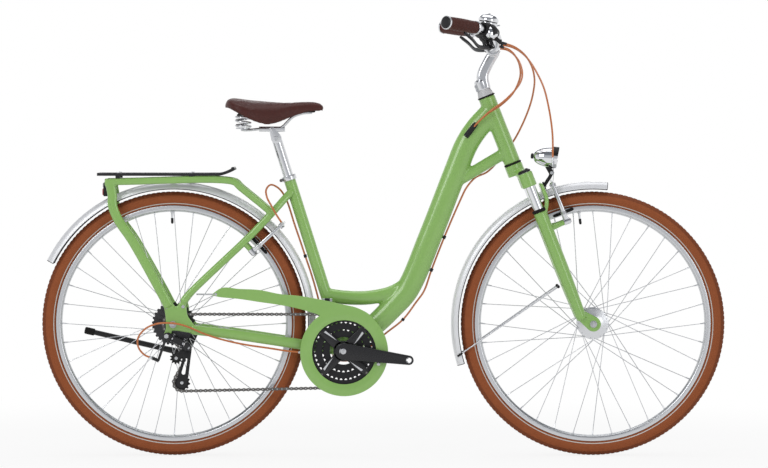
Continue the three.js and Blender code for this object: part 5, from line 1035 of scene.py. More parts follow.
# %% Seat collar with its bolt
collar_place = seat_up * seat_tube_length
collar_profile = [(16.6, -6.5), (19.5, -6.5), (19.5, 6.5), (13.9, 6.5), (13.9, 0.4), (16.6, 0.4)]
collar = lathed_ring(collar_profile, 0.6, collar_place, seat_up, 56)
lug_place = seat_line.at(-21.75, 0, seat_tube_length)
piece("seat_collar_ring", [collar, rod(lug_place - LEFT * 11, lug_place + LEFT * 11, 4.5, 28)],
      alloy_polished,
      "frame", "seat_collar")
piece("seat_collar_bolt", [turned([(0, -13.5), (2.1, -13.5), (3.6, -13.5), (4.0, -12.9), (4.0, -9), (0, -9)],
                                  lug_place, LEFT, 28)], steel_dark, "frame")

# %% [markdown]
# ## Cranks, rings and chain guard
# The cranks are forged, so every edge is rounded. The right one carries three toothed rings on a spider of
# four arms, held by rivets. A tooth is the gap between two round roots in which the chain's rollers lie, so
# the outline of a ring is one wave per tooth, flattened at both ends. It is turned until a root lies under a
# roller of the chain, whose rollers are a pitch of 12.7 mm apart.

# %% The chain's path round rings and pulleys
pitch, chain_plane = 12.7, -56.7
ring_teeth, sprocket_teeth = (48, 38, 28), (11, 13, 15, 17, 19, 21, 24, 28)
chosen_sprocket, pulley_teeth = 1, 11
cage_pivot, guide_place, tension_place = (-410.0, 10.0), (-443.0, -18.6), (-428.0, -84.0)


def pitch_radius(teeth):
    """Half the pitch over the sine of half a tooth's turn."""
    return pitch / (2 * math.sin(math.pi / teeth))


rounds = [
    (0.0, 0.0, pitch_radius(ring_teeth[0]), -1),
    (*tension_place, pitch_radius(pulley_teeth), -1),
    (*guide_place, pitch_radius(pulley_teeth), 1),
    (rear_axle[0], rear_axle[2], pitch_radius(sprocket_teeth[chosen_sprocket]), -1),
]


def tangent(a, b):
    """The angles at which a straight run leaves one round and meets the next."""
    way = math.atan2(b[1] - a[1], b[0] - a[0])
    lean = math.asin((b[2] * b[3] - a[2] * a[3]) / math.hypot(b[0] - a[0], b[1] - a[1]))
    square = way - lean + math.pi / 2
    return square + math.pi * (a[3] > 0), square + math.pi * (b[3] > 0)


runs = [tangent(a, b) for a, b in zip(rounds, rounds[1:] + rounds[:1])]
line = []
for i, (x, z, radius, turn) in enumerate(rounds):
    arrive, leave = runs[i - 1][1], runs[i][0]
    sweep_angle = (leave - arrive) % (2 * math.pi) if turn > 0 else -((arrive - leave) % (2 * math.pi))
    t = arrive + np.linspace(0, sweep_angle, 200)
    line.append(np.stack([x + radius * np.cos(t), z + radius * np.sin(t)], 1))
line = np.vstack(line + [line[0][:1]])
chain_length = np.linalg.norm(np.diff(line, axis=0), axis=1).sum()
link_count = 2 * round(chain_length / pitch / 2)
pins = resample(line, link_count + 1)[:-1]
print("chain:", link_count, "links,", round(float(chain_length)), "mm")

# %% Toothed outlines in step with the chain
tooth_tip, tooth_root = 1.0, 3.6


def root_turn(x, z):
    """The turn of the roller that lies nearest to the middle of the chain's arc on this round."""
    away = np.hypot(pins[:, 0] - x, pins[:, 1] - z)
    held = pins[away < away.min() + 0.4]
    middle = held[len(held) // 2]
    return math.atan2(middle[1] - z, middle[0] - x)


def toothed(teeth, first=0.0, count=10):
    """Radius = root + (tip - root) (1 + tanh(2.4 w + 0.4)) / 2, where w = -cos(teeth (turn - first))."""
    t = np.arange(teeth * count) / (teeth * count) * 2 * np.pi
    wave = -np.cos(teeth * (t - first))
    radius = pitch_radius(teeth) - tooth_root + (tooth_tip + tooth_root) * (1 + np.tanh(2.4 * wave + 0.4)) / 2
    return np.stack([radius * np.cos(t), radius * np.sin(t)], 1)


def ring_disc(teeth, inner, face, first=0.0, wall=2.0, count=10):
    outer = toothed(teeth, first, count)
    return ring_plate(outer, inner * unit(outer), face - wall / 2, face + wall / 2, 0.35)


# %% Cranks with their bosses, spider and rings
crank_length, crank_angle, crank_inset, crank_wall, crank_flare = 175.0, -7.6, 69.0, 13.0, 9.0
outline = link_outline((0, 0), 22.0, (crank_length, 0), 12.5, 96)
waist = 1 - 0.16 * np.sin(np.clip(outline[:, 0] / crank_length, 0, 1) * np.pi) ** 2
outline[:, 1] *= waist


def crank_arm(side):
    """A rounded plate with a pedal hole, sheared outwards by the flare per length."""
    shape = holed_plate(outline, (crank_length, 0), 7.0, -crank_inset - crank_wall, -crank_inset, 3.2, 4)
    shape[0][:, 1] -= crank_flare * shape[0][:, 0] / crank_length
    boss = lathed([(0, 0), (22, 0), (22, 30), (14, 31), (0, 31)], 1.5,
                  (0, -crank_inset - crank_wall + 1, 0), LEFT, 56)
    bolt = turned([(0, 0), (7.5, 0), (7.5, -1.2), (4.2, -2.0), (3.8, -0.8), (0, -0.8)],
                  (0, -crank_inset - crank_wall + 0.4, 0), LEFT, 36)
    washer = turned([(0, 0), (10.5, 0), (10.5, -0.8), (0, -0.8)],
                    (0, -crank_inset - crank_wall + 1.2, 0), LEFT, 36)
    thread = ring_plate(circle(7.9, (crank_length, 0), 40), circle(6.6, (crank_length, 0), 40),
                        -crank_inset - crank_wall - crank_flare + 0.3, -crank_inset - crank_flare + 0.4, 0.3)
    arm = [shape, boss]
    metal = [bolt, washer, thread]
    if side == LEFT_SIDE:
        arm, metal = [[mirrored(s) for s in group] for group in (arm, metal)]
    angle = crank_angle + (180 if side == LEFT_SIDE else 0)
    return [spun(s, angle) for s in arm], [spun(s, angle) for s in metal]


arm, metal = crank_arm(RIGHT_SIDE)
piece("crank_arm_right", arm, forged_black, "crank", "crank_right")
piece("crank_bolt_right", metal, steel_satin, "crank")
arm, metal = crank_arm(LEFT_SIDE)
piece("crank_arm_left", arm, forged_black, "crank", "crank_left")
piece("crank_bolt_left", metal + [rod((0, -60, 0), (0, 60, 0), 8.0, 24)], steel_satin, "crank")

spider_first, spider_face, spider_wall = 47.0, -57.2, 4.0
rings, rivets, arms, highlight_slivers = [], [], [], []
band = 16.5
for i, teeth in enumerate(ring_teeth):
    inner = pitch_radius(teeth) - tooth_root - band
    face = chain_plane + i * 7.0
    rings.append(ring_disc(teeth, inner, face, root_turn(0, 0) if i == 0 else 0.0))
    for k in range(4):
        t = math.radians(spider_first + 90 * k)
        r = inner + band / 2
        rivets.append(turned(
            [(0, -1.5), (2.6, -1.4), (3.9, -0.6), (4.1, 0.2), (4.1, 1), (0, 1)],
            (r * math.cos(t), (spider_face - spider_wall) if i == 0 else face - 1.0, r * math.sin(t)), LEFT,
            24))
        if i:
            arms.append(rod((r * math.cos(t), spider_face, r * math.sin(t)),
                            (r * math.cos(t), face, r * math.sin(t)), 3.6, 14))
outer_band = pitch_radius(ring_teeth[0]) - tooth_root - band / 2
arms.append(holed_plate(circle(27.0, count=64), (0, 0), 21.0, spider_face - spider_wall, spider_face, 0.8, 2))
for k in range(4):
    t = math.radians(spider_first + 90 * k)
    aim = np.array([math.cos(t), math.sin(t)])
    foot, tip = 18 * aim, outer_band * aim
    arms.append(plate(link_outline(foot, 13.0, tip, 8.6, 48), spider_face - spider_wall, spider_face, 0.9, 2))
    # Painted highlight: a thin satin-alloy sliver along one edge of each black arm's outer face, where the
    # arm catches the light.
    highlight_sliver = np.array([[30, -8.5], [48, -8.6], [71, -7.2], [72, -1.0], [48, -5.6]])
    highlight_slivers.append(spun(plate(soften(highlight_sliver, 1.2), spider_face - spider_wall - 0.25,
                              spider_face - spider_wall, 0.1),
                        spider_first + 90 * k))
piece("toothed_rings", rings, disc_crank, "crank", "chainring_set", crease=40)
piece("spider_arms", arms, forged_black, "crank")
piece("ring_rivets", rivets, steel_dark, "crank")
piece("spider_painted_highlights", highlight_slivers, alloy_satin, "crank")

# %% Axle cups
cups = []
for side in SIDES:
    cups.append(lathed_ring([(8.6, 34.3), (20, 34.3), (20, 36.8), (17, 37.6), (12, 37.6),
                             (11.4, 36.4), (8.6, 36.4)],
                              0.4, (0, 0, 0), LEFT * side, 48))
piece("axle_cups", cups, steel_dark, "frame", "bottom_bracket")

# %% [markdown]
# The chain guard is a flat ring that hides the big ring's teeth, with a long arm that runs back over the
# chain. Both are pressed from one sheet. The arm is a strip between its upper and its lower edge; where it
# meets the ring its lower edge follows the ring. A bracket on the axle's cup holds the guard, and a wire
# ties its tail to the stay.

# %% Chain guard
guard_plane, guard_sheet = -64.5, 2.5
upper_shares = [
    [-1, 0.426], [-0.918, 0.479], [-0.787, 0.471], [-0.635, 0.463], [-0.483, 0.433], [-0.331, 0.418],
    [-0.174, 0.391], [0, 0.353], [0.106, 0.327], [0.206, 0.27], [0.271, 0.185],
]
lower_shares = [
    [-1, 0.424], [-0.94, 0.41], [-0.787, 0.395], [-0.635, 0.372], [-0.483, 0.35],
    [-0.331, 0.319], [-0.2, 0.28],
]
guard_middle = (2.0, -3.0)
ring = ring_plate(circle(116.5, guard_middle, 180), circle(85.0, guard_middle, 180),
                  guard_plane - guard_sheet, guard_plane, 0.6, 2)
bend_round = np.radians(np.linspace(118, 36, 40))
held_edge = np.stack([guard_middle[0] + 100 * np.cos(bend_round),
                      guard_middle[1] + 100 * np.sin(bend_round)], 1)
upper = curve(np.array(upper_shares) * 350.0, 120)
lower = resample(np.vstack([curve(np.array(lower_shares) * 350.0, 60), held_edge]), 120)
across = unit(upper - lower + [0, 1e-6])
near_side, far_side, round_edge = guard_plane - guard_sheet - 0.05, guard_plane + 0.05, 0.6
columns = [(lower, round_edge, near_side), (lower, 0, near_side + round_edge),
           (lower, 0, far_side - round_edge),
           (lower, round_edge, far_side), (upper, -round_edge, far_side), (upper, 0, far_side - round_edge),
           (upper, 0, near_side + round_edge), (upper, -round_edge, near_side)]
arm_grid = np.stack([np.insert(edge + inset * across, 1, depth, axis=1) for edge, inset, depth in columns], 1)
lip = sweep([(guard_middle[0] + 85.6 * math.cos(t), guard_plane - guard_sheet / 2,
              guard_middle[1] + 85.6 * math.sin(t))
             for t in np.linspace(0, 2 * np.pi, 120, endpoint=False)], oval(1.25, 0.9, 10), LEFT, loop=True)
piece("chain_guard_sheet", [ring, skin(arm_grid), lip], paint_green, "frame",
      "chain_guard", crease=30)
drop = Axes((0, 0, 0), 20.0)
bracket = [
    drop.carry(holed_plate(circle(20.0, count=48), (0, 0), 9.4, -40.5, -37.4, 0.4)),
    rod(drop.at(13, -39.0, 0), drop.at(112, -39.0, 0), 1.7, 20, 5.0, 10.0, LEFT),
    rod(drop.at(111.4, -37.6, 0), drop.at(111.4, -65.0, 0), 10.0, 20, 5.0, 1.7, drop.upward),
]
piece("chain_guard_bracket", bracket, paint_black, "frame")
tail = np.array([-343.0, guard_plane - guard_sheet / 2, 150.5])
piece("chain_guard_wire", [rod(tail, tail - FORWARD * 46, 2.0, 12)], steel_satin, "frame")
studs = [turned([(0, 0), (4.6, 0), (4.6, -0.8), (3.0, -2.0), (0, -2.2)],
                drop.at(99, guard_plane - guard_sheet, 0), LEFT, 24),
         turned([(0, 0), (4.6, 0), (4.6, -0.8), (3.0, -2.0), (0, -2.2)], tail + FORWARD * 5, LEFT, 24)]
piece("chain_guard_studs", studs, steel_satin, "frame")

# %% Chain links: a pair of narrow plates, then a pair of wide ones, with a roller at each pin
ends = np.roll(pins, -1, 0)
turns = np.arctan2(ends[:, 1] - pins[:, 1], ends[:, 0] - pins[:, 0])


def link_plate(half_height, y, wall=0.9):
    """A waisted outline of 14 points round two pins, one pitch apart, as a thin plate."""
    t = np.linspace(-1, 1, 4)
    front = np.stack([pitch + half_height * np.cos(t * 1.4), half_height * np.sin(t * 1.4)], 1)
    back = np.stack([-half_height * np.cos(t * 1.4), -half_height * np.sin(t * 1.4)], 1)
    loop = np.vstack([front, [[pitch / 2, half_height * 0.62]], back, [[pitch / 2, -half_height * 0.62]]])
    rows = [np.stack([loop[:, 0], np.full(len(loop), v), loop[:, 1]],
                     1) for v in (y - wall / 2, y + wall / 2)]
    return skin(rows)


places = np.stack([pins[:, 0], np.full(link_count, chain_plane), pins[:, 1]], 1)
wide = np.arange(link_count) % 2 == 0
links = [copies(link_plate(tall, side * out), places[kind], turns[kind])
         for side in SIDES for tall, out, kind in ((4.6, 2.75, wide), (4.3, 1.95, ~wide))]
roller = turned([(0, -1.5), (3.9, -1.5), (3.9, 1.5), (0, 1.5)], (0, 0, 0), LEFT, 10)
pin = turned([(0, -3.4), (1.5, -3.4), (1.7, -3.1), (1.7, 3.1), (1.5, 3.4), (0, 3.4)], (0, 0, 0), LEFT, 8)
piece("chain_plates", links, steel_dark, "frame", "chain")
piece("chain_rollers", [copies(s, places, 0 * turns) for s in (roller, pin)], steel_satin, "frame")

# %% Sprockets and pulleys
sprocket_step = 4.8
discs = []
for i, teeth in enumerate(sprocket_teeth):
    face = chain_plane + (i - chosen_sprocket) * sprocket_step
    first = root_turn(rear_axle[0], rear_axle[2]) if i == chosen_sprocket else 0.2 * i
    inner = 16.0 if teeth < 21 else pitch_radius(teeth) - 13.0
    discs.append(moved(ring_disc(teeth, inner, face, first), rear_axle))
piece("sprocket_discs", discs, disc_rear, "cassette", "cassette", crease=40)
core_low = chain_plane - sprocket_step - 2
core = turned([(6.2, 0), (12.4, 0), (17, 0.8), (17, 33.4), (6.2, 33.4)],
              rear_axle + LEFT * core_low, LEFT, 40, closed=True)
arms = [spun(rod(rear_axle + [15, chain_plane + 5.5 * sprocket_step, 0],
                 rear_axle + [44, chain_plane + 5.5 * sprocket_step, 0],
                 5.0, 12, 4.0, 3.0, UP), 72 * k, (rear_axle[0], rear_axle[2])) for k in range(5)]
lock = turned([(6.2, -1.6), (11, -1.6), (13.4, -0.6), (13.4, 1), (6.2, 1)],
              rear_axle + LEFT * core_low, LEFT, 40, closed=True)
piece("sprocket_core", [core, lock] + arms, anodised_black, "cassette")


def pulley(x, z, tip):
    """A toothed wheel with a thin web: teeth as a wave, and a hub round its pin."""
    t = np.arange(110) / 110 * 2 * np.pi
    wave = -np.cos(pulley_teeth * (t - root_turn(x, z)))
    r = tip - 2.2 + 2.2 * np.tanh(1.8 * wave)
    outer = np.stack([x + r * np.cos(t), z + r * np.sin(t)], 1)
    disc = holed_plate(outer, (x, z), 4.6, chain_plane - 1, chain_plane + 1, 0.3)
    hub = turned([(4.6, -2.6), (8, -2.6), (8, 2.6), (4.6, 2.6)], (x, chain_plane, z), LEFT, 24, closed=True)
    return [disc, hub]


piece("guide_wheel", pulley(*guide_place, 17.2), plastic_black, "rd_guide_pulley",
      "rd_guide_pulley")
piece("tension_wheel", pulley(*tension_place, 22.4), plastic_black, "rd_tension_pulley",
      "rd_tension_pulley")

# %% [markdown]
# ## Rear and front changers
# The rear changer hangs from a bolt under the axle. Two knuckles are joined by a pair of slanted links, so
# that the cage below shifts sideways but stays upright. The cage carries two pulleys between thin plates.
# The front changer is a band on the seat tube with a cage of two plates that pushes the chain across.

# %% Rear changer
hanger_bolt = (-467.0, -86.0, 41.0)
change = Axes(hanger_bolt, 25.2)
cage_gap, cage_sheet = 3.8, 1.9
mount = [
    lathed_ring([(4.2, -5), (9, -5), (9, 10), (4.2, 10)], 1.0, hanger_bolt, LEFT, 32),
    rod(change.at(0, 0, 0), change.at(11.5, 0, 0), 5.0, 24, 4.0, 11.0, LEFT),
    rod(change.at(9, 0, 11.2), change.at(21, 0, 11.2), 5.0, 20, 4.0, 2.0, LEFT),
    rod(change.at(9, 0, -11.2), change.at(21, 0, -11.2), 5.0, 20, 4.0, 2.0, LEFT),
]
stop = np.array([-503.0, -83.0, -18.0])
mount.append(rod(change.at(0, 0, 0), stop + change.ahead * 15, 3.5, 16, 3.0))
mount.append(rod(stop, stop + change.ahead * 17, 4.5, 24))
piece("changer_mount", mount, forged_black, "frame", "rd_mount")
screws = [
    turned([(0, -13.6), (2.9, -13.6), (3.4, -14.2), (5.8, -14.2), (6.6, -13.2), (6.6, -5), (0, -5)],
           hanger_bolt, LEFT, 6),
    rod(change.at(16.5, 0, -14), change.at(16.5, 0, 14), 3.0, 16),
]
ribs = [rod(stop + change.ahead * d, stop + change.ahead * (d + 1.2), 5.2, 20) for d in (-3.5, -1.2, 1.1)]
piece("changer_screws", screws, steel_satin, "frame")
piece("changer_barrel_ribs", ribs, plastic_black, "frame")
link = [rod(change.at(12.5, 0, z), change.at(51.5, 0, z), 4.6, 24, 4.0, 3.2, LEFT) for z in (-5.6, 5.6)]
link.append(rod(change.at(20, 0, 0), change.at(44, 0, 0), 3.6, 20, 4.0, 6.0, LEFT))
piece("changer_link", link, forged_black, "rd_link", "rd_link")
piece("changer_spring", [sweep([change.at(22 + 20 * s, 1.5 * math.cos(40 * s),
                                          1.5 * math.sin(40 * s)) for s in np.linspace(0, 1, 60)],
                               oval(0.7, 0.7, 6))], steel_satin, "rd_link")
cage_face = chain_plane - cage_gap - cage_sheet
knuckle = lathed_ring([(4.6, -91), (8.5, -91), (8.5, cage_face - 0.3), (4.6, cage_face - 0.3)],
                      1.0, (-410, 0, 10), LEFT, 36)
body_middle = change.at(53.5, 0, 0)
body_shapes = [knuckle, rod(body_middle, np.array([-410.0, -86.0, 10.0]), 5.0, 24, 4.0, 11.0, LEFT)]
for z in (11.2, -11.2):
    body_shapes.append(rod(change.at(43.5, 0, z), change.at(58, 0, z), 5.0, 20, 4.0, 2.0, LEFT))
piece("changer_body", body_shapes, forged_black, "rd_body", "rd_body")
piece("changer_body_pins", [rod(change.at(47.5, 0, -14), change.at(47.5, 0, 14), 3.0, 16)],
      steel_satin, "rd_body")
cage = []
for low in (cage_face, chain_plane + cage_gap):
    shape = plate(link_outline(cage_pivot, 8.5, tension_place, 15.0, 64), low, low + cage_sheet, 0.4, 2)
    window = plate(link_outline((-416, -22), 2.6, (-424, -58), 5.0, 40), low - 3, low + 5, 0.3)
    cage.append(carved([shape], [window]))
    cage.append(plate(link_outline(cage_pivot, 8.4, guide_place, 8.4, 48), low + 0.02, low + 1.88, 0.4, 2))
piece("cage_plates", cage, paint_black, "rd_cage", "rd_cage")
cage_pins = []
for x, z in (guide_place, tension_place):
    cage_pins.append(rod((x, cage_face - 0.5, z), (x, chain_plane + 5.7, z), 4.0, 20))
    cage_pins.append(turned([(0, -1.6), (3.4, -1.6), (4.4, -0.8), (4.4, 0.6), (0, 0.6)],
                            (x, cage_face, z), LEFT, 24))
cage_pins.append(rod((-410, -84, 10), (-410, chain_plane + 5.7, 10), 4.0, 20))
piece("cage_pins", cage_pins, steel_satin, "rd_cage")

# %% Front changer
changer_height = 103.5
band_place = seat_up * (changer_height / seat_up[2])
band_ring = lathed_ring([(16.9, 0), (20.4, 0), (20.4, 11), (16.9, 11)], 0.6, band_place, seat_up, 48)
pivot = np.array([-42.8, -49.0, 135.0])
arm_start = seat_up * (changer_height / seat_up[2] + 5.5) - LEFT * 18.0
barrel = [rod(pivot - FORWARD * 6.5, pivot + FORWARD * 6.5, 5.0, 28), rod(arm_start, pivot, 4.0, 20, 3.0)]
piece("front_changer_band", [band_ring] + barrel, forged_black, "frame", "front_derailleur")
piece("front_changer_pin", [rod(pivot - FORWARD * 13, pivot + FORWARD * 13, 2.4, 16)],
      steel_satin, "frame")
face_shares = np.array([[0.1, 0], [0.62, 0], [0.9, 0.35], [1, 0.8], [0.95, 1],
                        [0.35, 1], [0, 0.55], [0, 0.25]])
cage_back, cage_top = pivot[0] - 31, 118.0
shapes = []
for foot, low in ((101.8, chain_plane - 6.0), (92.0, chain_plane + 4.8)):
    face = np.stack([cage_back + face_shares[:, 0] * 62, foot + (cage_top - foot) * face_shares[:, 1]], 1)
    shapes.append(plate(soften(face, 4.0), low, low + 1.2, 0.3, 2))
shapes.append(rod((pivot[0], chain_plane - 6, cage_top - 1.2), (pivot[0], pivot[1] + 1.2, cage_top - 1.2),
                  15.5, 20, 6.0, 1.2, FORWARD))
for way in (-1, 1):
    x = pivot[0] + way * 9.9
    shapes.append(carved([rod((x - 3.1, pivot[1], 127.5), (x + 3.1, pivot[1], 127.5),
                              5.0, 24, 4.0, 11.5, LEFT)],
                         [rod((x - 9, pivot[1], 135), (x + 9, pivot[1], 135), 3.0, 16)]))
piece("front_changer_cage", shapes, steel_satin, "front_derailleur_cage", "front_derailleur_cage")

# %% [markdown]
# ## The fork
# A sprung fork has a painted cast crown with two clamps, two bright tubes held in them, and two painted legs
# that slide on those tubes and are tied together by an arch over the tyre. The crown and the legs are
# castings, so each is melted from simple volumes into one soft skin. A rubber wiper closes each leg's top.

# %% Crown, inner tubes and legs
leg_forward, leg_side = 18.8, 58.0
crown = [lathed([(0, -34), (24, -34), (24, -4), (0, -4)], 2.0, steer.place, steer.upward, 48)]
for side in SIDES:
    crown.append(lathed([(0, -74), (20, -74), (20, -35), (0, -35)], 2.0,
                        steer.at(leg_forward, side * leg_side, 0), steer.upward, 44))
    arm_line = curve([steer.at(0, 0, -19), steer.at(leg_forward / 2, side * leg_side / 2, -35),
                      steer.at(leg_forward, side * leg_side, -54.5)], 24)
    crown.append(sweep(arm_line, oval(12.0, 11.0, 28, 2.8), steer.ahead))
piece("crown_casting", [fused(crown, 1.3, 10)], paint_green, "steerer", "fork_crown", crease=60)

for name, side in NAMED_SIDES:
    foot = steer.at(leg_forward, side * leg_side, 0)
    piece(f"inner_tube_{name}", [turned([(0, -240), (14.3, -240), (14.3, -34.7), (0, -34.7)], foot,
                                        steer.upward, 48)],
          chrome, "steerer", f"stanchion_{name}")
    cap = soften([(0, -34.7), (17.3, -34.7), (17.3, -30.6), (12.5, -26.9), (11.2, -28.2), (0, -28.2)], 0.6,
                 False)
    piece(f"fork_cap_{name}", [turned(cap, foot, steer.upward, 36)], plastic_black, "steerer")
    piece(f"wiper_{name}", [lathed_ring([(14.5, -146), (19.4, -146), (19.6, -140),
                                         (17.4, -138), (14.5, -137.4)], 0.5,
                                   foot, steer.upward, 44)], rubber_black, "lowers")

arch_shares = np.array([[0.35, 1, 0.5], [0.95, 0.96, 0.27], [1, 0.82, 0.07], [1, 0.55, 0], [1, 0, 0]])
arch_forward, arch_middle, leg_top = 49.0, -86.5, 138.0
lowers = []
half_arch = [steer.at(leg_forward + x * (arch_forward - leg_forward), y * leg_side,
                      arch_middle - drop * leg_top)
             for x, y, drop in arch_shares]
other_arch = [point * [1, -1, 1] for point in half_arch[:-1]][::-1]
lowers.append(sweep(curve(half_arch + other_arch, 90), oval(5.6, 11.0, 28, 2.8), steer.ahead))
for side in SIDES:
    foot = steer.at(leg_forward, side * leg_side, 0)
    leg = soften([(0, -452), (12.8, -452), (14.2, -446), (16.4, -380), (18, -305), (18, -146), (0, -146)],
                 2.0, False)
    lowers.append(turned(leg, foot, steer.upward, 48))
    lobe = link_outline((leg_forward, -438), 14.0, (fork_offset, -fork_length), 20.0, 72)
    lowers.append(steer.carry(plate(lobe, *sorted((side * 50.0, side * 58.0)), 1.0, 2)))
piece("fork_legs", [fused(lowers, 1.6, 12)], paint_green, "lowers", "fork_lowers", crease=60)

front_brake = Axes(steer.at(77.5, 0, -196.3), head_lean)
posts = []
for side in SIDES:
    posts.append(sweep([front_brake.at(-58.7, side * 58, 0), front_brake.at(-34, side * 46, 0),
                        front_brake.at(-16.6, side * post_out, 0)],
                       oval(np.array([10.0, 7.6, 6.5]), sides=24)))
    posts += brake_post(front_brake, side)
piece("fork_brake_posts", posts, paint_green, "lowers")

# %% Head set rings
low_ring = soften([(14, -3.9), (23.4, -3.9), (23.9, -1.8), (23.2, 0.9), (14, 0.9)], 0.5)
high_ring = soften([(14, 188.4), (23.2, 188.4), (23.9, 190.6), (22.6, 192.4), (14, 192.4)], 0.5)
piece("head_ring_low", [turned(low_ring, steer.place, steer.upward, 48, closed=True)],
      rubber_black, "steerer")
piece("head_ring_high", [turned(high_ring, steer.place, steer.upward, 48, closed=True)],
      rubber_black, "steerer")

# %% [markdown]
# ## Stem, bar, grips and levers
# The stem is cast and polished: a clamp on the fork's tube, a neck that leans forward and a clamp for the
# bar. The bar sweeps up and back to a rider who sits upright. Each grip is wrapped in brown skin between two
# bright rings. On each side one black housing holds the brake lever and the round shifter below it.

# %% Stem with its spacer and bolts
cone = soften([(15, 192.4), (22, 192.4), (21.4, 194), (17.9, 209), (15, 209)], 0.6)
piece("stem_spacer", [turned(cone, steer.place, steer.upward, 48, closed=True)],
      spacer_grey, "steerer")
neck_places = np.array([[374.5, 0, 695], [369.5, 0, 728], [382, 0, 760], [402, 0, 794]])
bar_reach, bar_rise = 62.9, 301.8
bar_middle = steer.at(bar_reach, 0, bar_rise)
stem = [
    lathed([(0, 209.4), (17.5, 209.4), (17.5, 234), (13, 239.5), (0, 241)], 1.2,
           steer.place, steer.upward, 44),
    sweep(curve(neck_places, 40), oval(np.linspace(16.5, 13.5, 40), np.linspace(16.5, 15.0, 40), 32, 3.4),
          LEFT),
    rod(bar_middle - LEFT * 23, bar_middle + LEFT * 23, 19.0, 44),
    rod(steer.at(-13, -9, 219), steer.at(-13, 9, 219), 7.0, 24, 3.0, 9.0, steer.ahead),
]
piece("stem_casting", [fused(stem, 1.1, 8)], alloy_polished, "steerer", "stem", crease=60)
stem_bolts = []
for height in (213.5, 224.5):
    stem_bolts.append(turned([(0, -11), (2.2, -11), (2.2, -12.4), (4.4, -12.4),
                              (4.8, -11.8), (4.8, -8), (0, -8)],
                             steer.at(-15.5, 0, height), LEFT, 28))
for out in (-15.0, 15.0):
    for drop_angle in (-32.0, 32.0):
        t = math.radians(drop_angle)
        ahead = np.array([math.cos(t), 0, math.sin(t)])
        stem_bolts.append(turned([(0, 0), (4.2, 0), (4.2, 2.0), (3.4, 2.8), (2.0, 2.8), (2.0, 1.2), (0, 1.2)],
                                 bar_middle + LEFT * out + ahead * 18.0, ahead, 24))
piece("stem_bolts", stem_bolts, steel_satin, "steerer")

# %% Bar
bar_shares = np.array([[0, 0.12, 0], [-0.053, 0.233, 0.08], [-0.061, 0.4, 0.42],
                       [0.092, 0.55, 0.7], [0.351, 0.693, 0.797], [1, 1, 1]])
back_sweep, half_width, rise = 131.0, 300.0, 64.0


def bar_point(share, side):
    back, out, up = share
    return bar_middle + np.array([-back * back_sweep, side * out * half_width, up * rise])


def bar_half(side):
    """A curve through the bends, and then a straight run under the grip."""
    points = [bar_point(share, side) for share in bar_shares]
    return np.vstack([curve(points[:-1], 60), resample(np.array(points[-2:]), 24)[1:]])


right_half = bar_half(RIGHT_SIDE)
bar_line = np.vstack([right_half[::-1], right_half * [1, -1, 1]])
piece("bar_tube", [sweep(resample(bar_line, 180), oval(11.0, 11.0, 28))], alloy_polished,
      "steerer", "handlebar")


def bar_at(share, side):
    """The place and direction at a share of the half bar's length."""
    line = resample(bar_half(side), 201)
    i = int(round(share * 200))
    return line[i], unit(line[min(i + 1, 200)] - line[max(i - 1, 0)])


# %% Grips
grip_profile = np.array([[0.06, 0.9], [0.075, 0.985], [0.2, 1.0], [0.35, 1.035], [0.5, 1.05], [0.68, 1.03],
                         [0.85, 1.0], [0.925, 0.985], [0.94, 0.9]])
grip_radius = 16.7
for name, side in NAMED_SIDES:
    first, last = bar_point(bar_shares[4], side), bar_point(bar_shares[5], side)
    first = first + 0.02 * (last - first)
    smooth_profile = curve(grip_profile, 120)
    size = grip_radius * smooth_profile[:, 1] - 0.35 * np.abs(np.sin(smooth_profile[:, 0] * 9 * np.pi)) ** 12
    line = first + smooth_profile[:, :1] * (last - first)
    piece(f"grip_skin_{name}", [sweep(line, oval(size, size, 44), capped=False)],
          grip_leather, "steerer",
          f"grip_{name}")
    long = np.linalg.norm(last - first)
    along = unit(last - first)
    inner_ring = soften([(11.4, 0), (18.0, 0), (18.0, 6.0), (16.0, 6.4), (11.4, 6.4)], 0.8)
    outer_ring = soften([(11.4, 0.935 * long), (16.6, 0.935 * long), (18.0, 0.94 * long),
                         (18.0, 0.975 * long), (11.4, 0.975 * long)], 0.8)
    rings = [turned(profile, first, along, 44, closed=True) for profile in (inner_ring, outer_ring)]
    piece(f"grip_rings_{name}", rings, chrome, "steerer")
    cap = soften([(0, 0.974 * long), (16.4, 0.974 * long), (16.0, 0.99 * long), (12.0, 1.0 * long),
                  (6, 1.006 * long), (0, 1.008 * long)],
                 1.0, False)
    screws = [turned([(0, -2), (2.4, -2), (2.4, 0), (0, 0)], first + along * d + UP * -17.4, -UP,
                     16) for d in (3.0, 0.956 * long)]
    piece(f"grip_cap_{name}", [turned(cap, first, along, 40)], paint_black, "steerer")
    piece(f"grip_screws_{name}", screws, steel_dark, "steerer")

